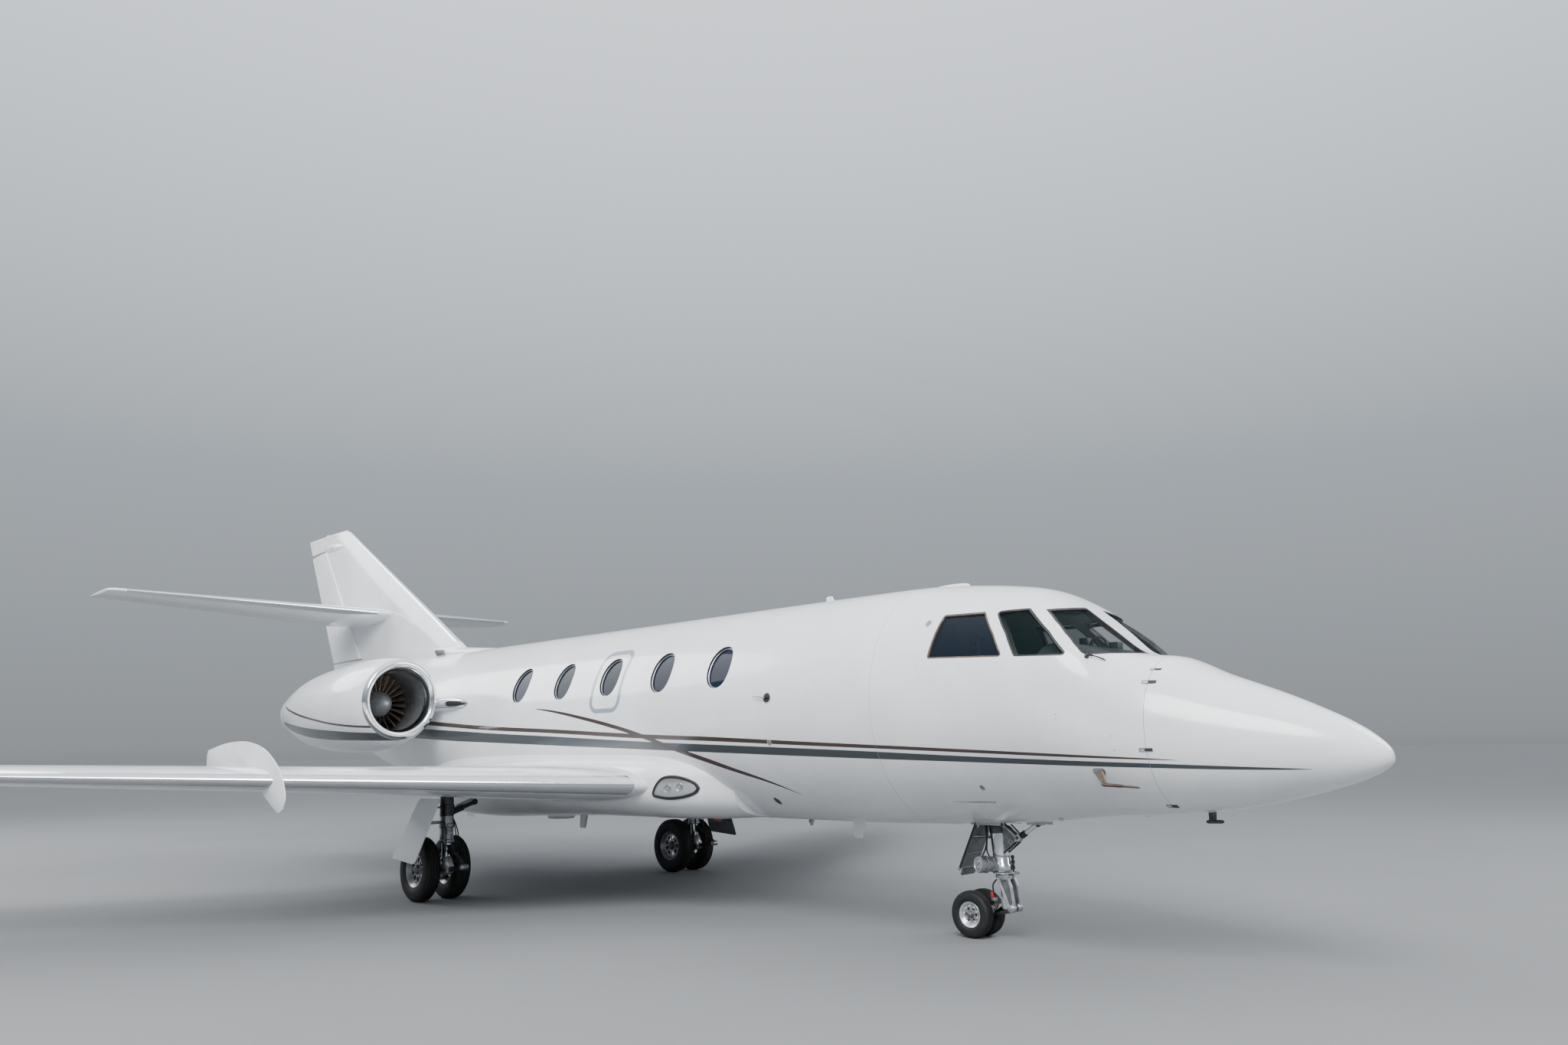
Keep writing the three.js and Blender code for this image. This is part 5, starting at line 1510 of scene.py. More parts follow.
def build_rudder():
    """Rudder with its hinge pins."""
    rings = []
    for z in np.concatenate([np.linspace(RUDDER_LOW, 3.403, 10), np.linspace(3.403, RUDDER_HIGH, 30)[1:]]):
        hinge_s, radius, tail = rudder_hinge(z)
        ring = straight_ring(hinge_s, radius, tail)
        fall = 0.057 * max(0.0, (z - 4.2) / (RUDDER_HIGH - 4.2))
        rings.append(points3(ring[:, 0], ring[:, 1], z - fall * np.maximum(0, ring[:, 0] - hinge_s)))
    ends = [at(rudder_hinge(z)[0], 0, z) for z in (RUDDER_LOW, RUDDER_HIGH)]
    parts = [loft(rings), *hinge_pins(*ends, 0.037, 0.024)]
    piece("rudder_skin", parts, ["tail", "steel"], "rudder_hinge_body", ["rudder"], sharp=40)


def tailplane_at(y):
    """Leading edge, chord, height and thickness ratio of the tailplane at a y."""
    t = abs(y) / TAIL_HALF
    return (TAIL_LEAD + TAIL_SWEEP * t, TAIL_CHORD - TAIL_TAPER * t, TAIL_Z + TAIL_RISE * t,
            TAIL_RATIO - TAIL_RATIO_FALL * t)


def elevator_hinge(y):
    """Station, height and radius of the elevator hinge, and the trailing edge, at a y."""
    le, chord, z, ratio = tailplane_at(y)
    fraction = ELEVATOR["fraction"]
    radius = float(half_thickness(fraction, ratio)) * chord
    return le + chord * fraction, z, radius, le + chord


def build_tailplane():
    """Tailplane skin with room cut for the elevators."""
    tip = TAIL_TIP_START + TAIL_TIP_LENGTH * np.sin(np.linspace(0, math.pi / 2, 9))[1:]
    half = np.concatenate([np.linspace(0, TAIL_TIP_START, 40), tip])
    stations = np.concatenate([-half[::-1], half[1:]])
    rings = []
    for y in stations:
        le, chord, z, ratio = tailplane_at(y)
        keep = tip_shrink(abs(y), TAIL_TIP_START, TAIL_HALF)
        start = (1 - keep) * 0.25 * chord
        ring = aerofoil(chord - start, ratio * keep)
        rings.append(points3(le + start + ring[:, 0], y, z + ring[:, 1]))
    looks = aerofoil_looks(len(stations), 0.05, 0.22, 3.2, np.abs(stations))
    middle = [(15.19, -0.125), (18, -0.125), (18, 0.125), (15.19, 0.125)]
    tools = [cutter([plan_prism(middle, 3.0, 4.5, 2)])]
    for side in SIDES.values():
        y0, y1 = ELEVATOR["from"] - ELEVATOR["gap"], ELEVATOR["to"] + ELEVATOR["gap"]
        front = [elevator_hinge(y)[0] - elevator_hinge(y)[2] - SURFACE_GAP * 1.1 for y in (y0, y1)]
        cove = np.array([(front[0], side * y0), (front[1], side * y1), (18.0, side * y1), (18.0, side * y0)])
        tools.append(cutter([plan_prism(cove, 3.0, 4.5, 2)]))
    piece("tailplane_skin", [loft(rings, looks=looks)], ["tail", "polish", "bay"],
          replaces=["tailplane"], sharp=40, cuts=tools)


def build_elevator(tag, side):
    """Elevator of one side, with its hinge pins."""
    rings = []
    y0, y1 = ELEVATOR["from"], ELEVATOR["to"]
    for y in np.linspace(y0, y1, 34):
        hinge_s, z, radius, tail = elevator_hinge(y)
        ring = straight_ring(hinge_s, radius, tail)
        near = max(0.0, 1 - (y - y0) / 0.6)
        extra = np.maximum(0, ring[:, 0] - hinge_s) * ELEVATOR["splay"] * near
        rings.append(points3(ring[:, 0] + extra * 0.317, side * (y + extra),
                             z + extra * TAIL_RISE / TAIL_HALF + ring[:, 1]))
    ends = [at(elevator_hinge(y)[0], side * y, elevator_hinge(y)[1]) for y in (y0, y1)]
    parts = [loft(rings), *hinge_pins(*ends, ELEVATOR["gap"], ELEVATOR["gap"])]
    piece(f"elevator_skin_{tag}", parts, ["tail", "steel"], f"elevator_{tag}_body",
          [f"elevator_{tag}"], sharp=40)


# Engines

def nacelle_rings(rows, stations, side, count=112):
    """Round sections of the nacelle or its duct from a table."""
    table = np.array(rows)
    order = np.argsort(table[:, 0])
    start = table[order[0], 0]
    key = np.sqrt(table[order, 0] - start)
    radius = pchip(key, table[order, 1])
    drop = pchip(table[order, 0], table[order, 2])
    angles = full_turn(count)
    rings = []
    for s in stations:
        r, fall = float(radius(math.sqrt(max(0.0, s - start)))), float(drop(s))
        rings.append(points3(s, side * (ENGINE_Y + np.sin(angles) * r), ENGINE_Z - fall + np.cos(angles) * r))
    return rings


DUCT_END = 11.05
DUCT_POLISH = 10.235


def build_nacelle(tag, side):
    """Nacelle skin with its polished lip and its duct."""
    near = np.linspace(0, math.sqrt(LIP_JOINT - 10.1), 16) ** 2 + 10.1
    outer = np.concatenate([near, np.linspace(LIP_JOINT, NACELLE_END, 74)[1:]])
    bright = np.linspace(0, math.sqrt(DUCT_POLISH - 10.1), 16)[1:] ** 2 + 10.1
    inner = np.concatenate([bright, np.linspace(DUCT_POLISH, DUCT_END, 24)[1:]])
    nozzle = np.linspace(NACELLE_END, DUCT_END + 0.002, 40)
    skin = nacelle_rings(NACELLE, outer, side)
    duct = nacelle_rings(DUCT, inner, side)
    back = nacelle_rings(NOZZLE, np.clip(nozzle, 11.3, NACELLE_END), side)
    for ring, s in zip(back, nozzle):
        ring[:, 0] = NOSE_X - s
    rings = [*skin, *back, *duct[::-1]]
    looks = np.full((len(rings), 112), 0)
    lip_rows = len(near)
    looks[:lip_rows - 1] = 1
    looks[len(skin) - 1:len(skin) + len(back) - 1] = 3
    looks[len(skin) + len(back) - 1:] = 2
    looks[-len(bright):] = 1
    piece(f"nacelle_skin_{tag}", [loft(rings, closed=True, looks=looks)],
          ["cowl", "lip", "duct", "hot"],
          replaces=[f"nacelle_{tag}"], sharp=40)


def build_pylon(tag, side):
    """Pylon between the fuselage and the nacelle."""
    table = np.array(PYLON)
    rows = np.linspace(0.72, 1.5, 40)
    rings = []
    for y in rows:
        front = float(pchip(table[:, 0], table[:, 1])(y))
        chord = PYLON_TAIL - front
        ring = aerofoil(chord, PYLON_THICK / chord)
        rings.append(points3(front + ring[:, 0], side * y, PYLON_Z + ring[:, 1]))
    looks = aerofoil_looks(len(rows), 0.05)
    nacelle = cutter([loft(nacelle_rings(NACELLE, np.linspace(10.1, NACELLE_END, 60), side, 96))])
    piece(f"pylon_skin_{tag}", [loft(rings, looks=looks)], ["white", "polish", "duct"],
          replaces=[f"pylon_{tag}"], sharp=40, cuts=[nacelle])


def fan_blade(angle, centre, side):
    """One wide fan blade, twisted from a flat root to a steep tip."""
    rings = []
    for share in np.linspace(0, 1, 12):
        radius = 0.140 + (FAN_R - 0.004 - 0.140) * share
        chord = 0.090 + 0.020 * share
        pitch = math.radians(14 + 20 * share)
        thick = 0.011 - 0.006 * share
        ring = aerofoil(1.0, 0.08, 0.05, 0.0, 12)
        along = (ring[:, 0] - 0.5) * chord
        off = ring[:, 1] * thick / 0.08
        axial = along * math.cos(pitch) - off * math.sin(pitch)
        around = along * math.sin(pitch) + off * math.cos(pitch)
        theta = angle + side * around / radius
        rings.append(np.stack([centre[0] - axial, centre[1] + np.sin(theta) * radius,
                               centre[2] + np.cos(theta) * radius], axis=1))
    return loft(rings, 1)


def build_fan(tag, side):
    """Fan with its spinner and blades."""
    centre = at(FAN_S, side * ENGINE_Y, ENGINE_Z - FAN_DROP)
    cone = [(0.002, -0.300), (0.014, -0.294), (0.040, -0.270), (0.078, -0.222), (0.112, -0.170),
            (0.138, -0.118), (0.151, -0.075), (0.155, -0.040), (0.155, 0.02), (0.150, 0.075),
            (0.060, 0.085), (0.0, 0.085)]
    parts = [lathe(cone, centre, (-1, 0, 0), 72, 0)]
    for k in range(FAN_BLADES):
        parts.append(fan_blade(2 * math.pi * k / FAN_BLADES, centre, side))
    for k in range(8):
        angle = 2 * math.pi * (k + 0.5) / 8
        spot = centre + np.array([0.103, math.sin(angle) * 0.144, math.cos(angle) * 0.144])
        out = np.array([0.25, math.sin(angle), math.cos(angle)])
        parts.append(lathe([(0.0, -0.004), (0.006, -0.003), (0.006, 0.0015), (0.0, 0.0025)],
                           spot, out, 12, 2))
    piece(f"fan_rotor_{tag}", parts, ["spinner", "blade", "steel"], f"fan_spin_{tag}_body",
          [f"fan_{tag}"], sharp=35)


def build_engine_core(tag, side):
    """Stator ring behind the fan, the core cowl and the exhaust plug."""
    axis = (-1, 0, 0)
    centre = at(0, side * ENGINE_Y, ENGINE_Z - 0.065)
    centre[0] = NOSE_X
    core = [(0.0, 11.06), (0.20, 11.06), (0.30, 11.10), (0.352, 11.25), (0.35, 11.7), (0.318, 12.2),
            (0.262, 12.75), (0.222, 13.05), (0.214, 13.05), (0.236, 12.8), (0.16, 12.7), (0.0, 12.7)]
    plug = [(0.0, 12.68), (0.16, 12.70), (0.168, 12.85), (0.150, 13.1), (0.112, 13.3),
            (0.062, 13.405), (0.0, 13.42)]
    parts = [lathe(core, centre, axis, 72, 0), lathe(plug, centre, axis, 64, 1)]
    for k in range(32):
        angle = 2 * math.pi * k / 32
        out = np.array([0, math.sin(angle), math.cos(angle)])
        aside = np.array([0, math.cos(angle), -math.sin(angle)])
        base = at(11.0, side * ENGINE_Y, ENGINE_Z - 0.04)
        root, tip = base + out * 0.15, base + out * 0.378
        sweep = np.array([-0.055, 0, 0]) + aside * 0.018
        corners = [root + sweep * -0.5, root + sweep * 0.5, tip + sweep * 0.5, tip + sweep * -0.5]
        lift = aside * 0.0022
        parts.append((np.array([c - lift for c in corners] + [c + lift for c in corners]),
                      [[0, 1, 2, 3], [7, 6, 5, 4], [0, 4, 5, 1], [1, 5, 6, 2], [2, 6, 7, 3], [3, 7, 4, 0]],
                      [2] * 6))
    piece(f"engine_core_body_{tag}", parts, ["hot", "hot", "duct"],
          replaces=[f"engine_core_{tag}"], sharp=35)


# Fittings shared by the landing gear and the small parts

# Looks of the landing gear and the small fittings, and their numbers.
GEAR_LOOKS = ["forging", "chrome", "dark_steel", "black", "steel", "brass", "seal", "white", "red_paint",
              "rim", "web", "bronze"]
PALE, BRIGHT, DARK, BLACK, STEEL, BRASS, HOSE, WHITE, RED, ALLOY, WEB_SHADE, BRONZE = range(len(GEAR_LOOKS))


def side_plate(outline, y, thick, bevel=0.003, look=0):
    """Plate over a (station, height) outline, standing in a plane along the aircraft."""
    return slab(outline, at(0, y, 0), (-1, 0, 0), (0, 0, 1), thick, bevel, look)


def flat_plate(outline, z, thick, bevel=0.002, look=0):
    """Level plate over a (station, y) outline."""
    return slab(outline, at(0, 0, z), (-1, 0, 0), (0, 1, 0), thick, bevel, look)


def disc(centre, axis, radius, depth, look=0, count=32, ease=0.0015):
    profile = [(0, 0), (radius - ease, 0), (radius, ease), (radius, depth - ease),
               (radius - ease, depth), (0, depth)]
    return lathe(profile, centre, axis, count, look)


def hoop(centre, axis, outer, inner, depth, look=0, count=40, ease=0.0015):
    """Flat ring about an axis, centred on its middle."""
    h = depth / 2
    profile = [(inner, -h), (outer - ease, -h), (outer, ease - h), (outer, h - ease),
               (outer - ease, h), (inner, h)]
    return lathe(profile, centre, axis, count, look, closed=True)


def bolt(centre, axis, size, look=STEEL):
    """Washer and hexagon head on a face that looks along the axis."""
    axis = np.asarray(axis, float) / np.linalg.norm(axis)
    centre = np.asarray(centre, float)
    return [disc(centre, axis, size * 1.35, size * 0.25, look, 24, size * 0.08),
            disc(centre + axis * size * 0.25, axis, size, size * 0.6, look, 6, size * 0.1)]


def hose(points, radius, look=HOSE, count=14):
    return tube(spline([at(*p) for p in points], 10), radius, count, look)


def framed_plate(outline, y, thick, web, width, look, web_shade_look):
    """Forged blade: a raised rim round a thinner web, the web coloured dark as painted shade in its pocket.
    """
    outline = even(np.asarray(outline), 112)
    inner = inset(outline, width)
    well = inset(outline, width * 1.5)
    h, w = thick / 2, web / 2
    rows = [(outline, h * 0.8), (inset(outline, 0.002), h), (inner, h), (well, w), (well, -w), (inner, -h),
            (inset(outline, 0.002), -h), (outline, -h * 0.8)]
    rings = [points3(o[:, 0], y + off, o[:, 1]) for o, off in rows]
    return [loft(rings, look, closed=True), side_plate(inset(outline, width * 1.4), y, web, 0, web_shade_look)]


# Landing gear legs and doors

def nose_axis(z):
    """Station of the leaning axis of the nose leg at a height."""
    return 2.985 - 0.07 * (0.99 - z) / 0.74


def on_nose_axis(z, y=0.0, ahead=0.0):
    return at(nose_axis(z) - ahead, y, z)


def build_nose_strut():
    """Nose leg: tubes, drag strut, steering barrel, lamps and lines."""
    upper = [(0, 0.060), (0.02, 0.0685), (0.62, 0.0685), (0.64, 0.073), (0.70, 0.073),
             (0.72, 0.0685), (1, 0.0685)]
    lower = [(0, 0.067), (0.80, 0.067), (0.83, 0.073), (0.97, 0.073), (1, 0.064)]
    parts = [
        rod(on_nose_axis(0.995), on_nose_axis(0.815), upper, 56, DARK),
        rod(on_nose_axis(0.816), on_nose_axis(0.518), lower, 56, BRIGHT),
        hoop(on_nose_axis(0.645), (0.094, 0, 1), 0.070, 0.06, 0.012, STEEL, 48),
        rod(at(2.98, -0.168, 0.945), at(2.98, 0.168, 0.945),
            [(0, 0.030), (0.1, 0.038), (0.9, 0.038), (1, 0.030)], 28, STEEL),
    ]
    # Long pipe down the front of the strut with its clamps.
    pipe = [(2.915, -0.018, 0.95), (2.906, -0.018, 0.90), (2.900, -0.018, 0.75), (2.902, -0.018, 0.60),
            (2.908, -0.012, 0.525)]
    parts.append(hose(pipe, 0.0075, WHITE, 20))
    for z in (0.86, 0.70, 0.60):
        parts += [
            hoop(at(2.902, -0.018, z), (0, 0, 1), 0.012, 0.0078, 0.012, STEEL, 24, 0.0008),
            block(at(2.902, -0.024, z - 0.005), at(2.93, -0.012, z + 0.005), 0.001, STEEL),
        ]
    # Forged bracket that carries the drag strut.
    web = rounded([(2.945, 0.885), (2.880, 0.875), (2.790, 0.805), (2.785, 0.765), (2.878, 0.682),
                   (2.945, 0.672)], 0.012)
    for side in (-1, 1):
        parts += [
            *framed_plate(web, side * 0.026, 0.014, 0.006, 0.010, PALE, WEB_SHADE),
            hoop(at(2.836, side * 0.034, 0.756), (0, 1, 0), 0.021, 0.008, 0.010, STEEL, 32),
            *bolt(at(2.836, side * 0.037, 0.756), (0, side, 0), 0.009, BRASS),
        ]
    parts += [
        bar(at(2.779, -0.036, 0.787), at(2.779, 0.036, 0.787), 0.013, 20, DARK),
        hoop(at(2.779, 0, 0.787), (0, 1, 0), 0.031, 0.013, 0.034, ALLOY, 40, 0.004),
    ]
    for side in (-1, 1):
        parts += [
            hoop(at(2.779, side * 0.022, 0.787), (0, 1, 0), 0.024, 0.013, 0.006, WHITE, 32),
            bar(at(2.868, side * 0.036, 0.885), at(2.787, side * 0.036, 0.812), 0.006, 14, BLACK),
            bar(at(2.905, side * 0.036, 0.665), at(2.79, side * 0.036, 0.752), 0.007, 14, BLACK),
        ]
    # Drag strut, its outer tube, chrome rod and the lock beside it.
    parts += [
        rod(at(2.760, 0, 0.797), at(2.710, 0, 0.829), [(0, 0.018), (0.2, 0.026), (0.9, 0.026), (1, 0.02)],
            28, BLACK),
        bar(at(2.715, 0, 0.826), at(2.60, 0, 0.900), 0.0185, 28, BRIGHT),
        rod(at(2.612, 0, 0.892), at(2.515, 0, 0.955), [(0, 0.021), (0.06, 0.025), (1, 0.025)], 28, BLACK),
        bar(at(2.725, 0.028, 0.826), at(2.560, 0.028, 0.932), 0.008, 16, BLACK),
    ]
    # Steering barrel across the strut: a grey motor end and a bright domed end.
    motor_end, neck, dome_end = at(3.045, -0.190, 0.582), at(2.985, -0.045, 0.577), at(2.942, 0.064, 0.572)
    motor = [(0, 0.0), (0, 0.058), (0.03, 0.065), (0.10, 0.066), (0.12, 0.063), (0.34, 0.063), (0.36, 0.067),
             (0.46, 0.067), (0.50, 0.052), (0.72, 0.050), (0.76, 0.060), (0.92, 0.060), (1, 0.050)]
    dome = [(0, 0.050), (0.05, 0.066), (0.10, 0.071), (0.18, 0.071), (0.20, 0.067), (0.44, 0.069),
            (0.60, 0.064), (0.76, 0.052), (0.90, 0.034), (0.98, 0.014), (1, 0.0)]
    parts += [
        rod(motor_end, neck, motor, 56, STEEL),
        rod(neck, dome_end, dome, 56, BRIGHT),
    ]
    outward = unit(motor_end - dome_end)
    bezel = [(0.056, 0.0), (0.059, 0.003), (0.059, 0.008), (0.055, 0.011), (0.048, 0.011), (0.045, 0.007),
             (0.0, 0.007), (0.0, 0.0)]
    parts.append(lathe(bezel, motor_end, outward, 48, PALE))
    for lift in (-0.021, 0.021):
        port = motor_end + outward * 0.008 + np.array([0, 0, lift])
        parts += [
            hoop(port, outward, 0.019, 0.014, 0.008, STEEL, 32, 0.001),
            disc(port - outward * 0.003, outward, 0.0135, 0.006, PALE, 28, 0.001),
        ]
    parts += [
        hose([(3.03, -0.16, 0.64), (3.02, -0.12, 0.70), (3.03, -0.08, 0.76), (3.05, -0.06, 0.90)], 0.007),
        hose([(3.0, -0.10, 0.64), (3.03, -0.085, 0.68), (3.055, -0.04, 0.76), (3.06, -0.02, 0.92)], 0.006),
    ]
    # Lower collar plate with its rod end, and the damper stack in front of the strut.
    plate = oval(nose_axis(0.51), 0, 0.172, 0.172, 64)
    parts += [
        flat_plate(plate, 0.5115, 0.009, 0.002, PALE),
        block(at(2.87, -0.016, 0.507), at(2.822, 0.016, 0.524), 0.004, PALE),
        hoop(at(2.816, 0, 0.517), (0, 0, 1), 0.021, 0.008, 0.022, ALLOY, 32, 0.003),
        rod(at(2.868, 0.03, 0.648), at(2.866, 0.03, 0.522),
            [(0, 0.006), (0.05, 0.014), (0.2, 0.014), (0.22, 0.009), (0.3, 0.009), (0.32, 0.016),
             (0.5, 0.016), (0.52, 0.010), (0.62, 0.010), (0.64, 0.015), (0.85, 0.015), (0.9, 0.007),
             (1, 0.007)], 24, BLACK),
    ]
    for k in range(6):
        angle = math.pi * (0.1 + 0.36 * k)
        place = at(nose_axis(0.52) + 0.074 * math.cos(angle), 0.074 * math.sin(angle), 0.516)
        parts += bolt(place, (0, 0, 1), 0.006, STEEL)
    piece("nose_strut", parts, GEAR_LOOKS, replaces=["nose_leg"], sharp=35)


BLADE = [(2.965, 0.488), (2.872, 0.494), (2.838, 0.410), (2.822, 0.300), (2.826, 0.232), (2.850, 0.219),
         (2.878, 0.232), (2.905, 0.320), (2.950, 0.420)]


def build_nose_fork():
    """Steered fork of the nose wheels with its torque links."""
    tilt = (0.094, 0, 1)
    parts = [bar(on_nose_axis(0.505), on_nose_axis(0.32), 0.0415, 48, BRIGHT),
             rod(on_nose_axis(0.330), on_nose_axis(0.232), [(0, 0.044), (0.06, 0.049), (0.8, 0.049),
                                                            (0.92, 0.045), (1, 0.03)], 48, PALE),
             hoop(on_nose_axis(0.483), tilt, 0.066, 0.0418, 0.030, PALE, 56, 0.003),
             hoop(on_nose_axis(0.483), tilt, 0.0685, 0.06, 0.010, STEEL, 56, 0.001)]
    outline = rounded(BLADE, 0.014, 6)
    for y in (-0.047, 0.047):
        parts += framed_plate(outline, y, 0.026, 0.010, 0.013, PALE, WEB_SHADE)
    parts.append(rod(at(2.915, -0.066, 0.470), at(2.915, 0.066, 0.470),
                     [(0, 0.010), (0.03, 0.013), (0.97, 0.013), (1, 0.010)], 24, STEEL))
    for side in (-1, 1):
        parts += [
            rod(at(2.850, side * 0.020, 0.247), at(2.850, side * 0.074, 0.247),
                [(0, 0.024), (0.1, 0.031), (0.86, 0.031), (0.94, 0.026), (1, 0.020)], 40, ALLOY),
            *bolt(at(2.850, side * 0.0735, 0.247), (0, side, 0), 0.010, STEEL),
            block(at(2.905, side * 0.030, 0.462), at(2.865, side * 0.064, 0.500), 0.004, PALE),
        ]
    parts.append(bar(at(2.850, -0.03, 0.247), at(2.850, 0.03, 0.247), 0.018, 28, DARK))
    link = rounded([(2.840, 0.272), (2.838, 0.226), (2.90, 0.205), (3.028, 0.180), (3.045, 0.202),
                    (2.96, 0.262)], 0.008)
    parts += [
        side_plate(link, -0.013, 0.022, 0.003, DARK),
        side_plate(link, 0.013, 0.022, 0.003, DARK),
    ]
    # Trailing arm to the axle.
    arm = rounded([(2.905, 0.292), (2.900, 0.232), (3.195, 0.150), (3.225, 0.182), (3.195, 0.214),
                   (3.02, 0.262)], 0.010)
    parts += [
        side_plate(arm, 0, 0.048, 0.006, PALE),
        rod(at(NOSE_S, -0.037, NOSE_R), at(NOSE_S, 0.037, NOSE_R),
            [(0, 0.044), (0.08, 0.051), (0.92, 0.051), (1, 0.044)], 48, PALE),
        # Manifold with its red cap, brass unions and hoses.
        block(at(2.985, -0.054, 0.290), at(3.035, -0.028, 0.322), 0.004, STEEL),
        rod(at(3.023, -0.048, 0.318), at(3.023, -0.048, 0.362),
            [(0, 0.008), (0.1, 0.015), (0.85, 0.016), (1, 0.010)], 28, RED),
    ]
    for s, z in ((2.985, 0.300), (2.995, 0.275), (3.01, 0.262)):
        parts.append(rod(at(s, -0.058, z), at(s, -0.040, z),
                         [(0, 0.005), (0.4, 0.008), (1, 0.008)], 12, BRASS))
    parts += [
        hose([(2.972, -0.055, 0.462), (3.000, -0.066, 0.425), (3.004, -0.062, 0.375),
              (2.990, -0.052, 0.320)], 0.006),
        hose([(2.985, -0.058, 0.300), (2.960, -0.070, 0.272), (2.985, -0.066, 0.236), (3.03, -0.030, 0.226)],
             0.005),
        hose([(2.995, 0.052, 0.46), (3.005, 0.062, 0.40), (2.985, 0.055, 0.33), (2.95, 0.05, 0.29)], 0.006),
    ]
    piece("nose_fork_forging", parts, GEAR_LOOKS, "nose_steering_body", ["nose_fork"], sharp=35)


def build_nose_door():
    """Door of the nose gear with its arms and rods."""
    # The nose door panel is coloured dark grey as painted shade.
    looks = ["door_inner_painted_shade", "steel", "black", "white"]
    down = np.array([-0.212, 0, -0.430])
    length = float(np.linalg.norm(down))
    down /= length
    origin = at(3.085, -0.02, 0.905)
    outline = rounded([(-0.128, 0.0), (0.128, 0.0), (0.128, length), (-0.065, length),
                       (-0.075, length - 0.065), (-0.128, length - 0.075)], 0.012)
    parts = [slab(outline, origin, (0, 1, 0), down, 0.012, 0.003, 0)]
    across = np.cross((0, 1, 0), down)
    for share in (0.30, 0.58, 0.84):
        a = origin + down * length * share + np.array([0, -0.112, 0]) - across * 0.010
        b = a + np.array([0, 0.224, 0])
        parts.append(bar(a, b, 0.006, 14, 0))
    drops = (0.0, 0.18, length - 0.070)
    edge = [origin + down * d + np.array([0, -0.130, 0]) - across * 0.006 for d in drops]
    parts += [
        tube(edge, 0.0085, 16, 2),
        lathe([(0, -0.014), (0.010, -0.010), (0.014, 0), (0.010, 0.010), (0, 0.014)], edge[-1],
              (0, 1, 0), 20, 1),
    ]
    near = origin + down * 0.13
    parts += [
        rod(on_nose_axis(0.780, 0, -0.066), at(3.146, 0, 0.780),
            [(0, 0.012), (0.5, 0.014), (1, 0.012)], 20, 1),
        bar(at(3.020, -0.045, 0.795), near + np.array([0, -0.095, 0]), 0.007, 14, 1),
        rod(at(3.070, -0.09, 0.925), at(3.090, -0.115, 0.862), [(0, 0.006), (0.5, 0.008), (1, 0.006)], 14, 3),
        hoop(at(3.096, -0.105, 0.890), (0, 1, 0), 0.014, 0.006, 0.010, 3, 24),
    ]
    piece("nose_door_panel", parts, looks, replaces=["nose_door"], sharp=35)


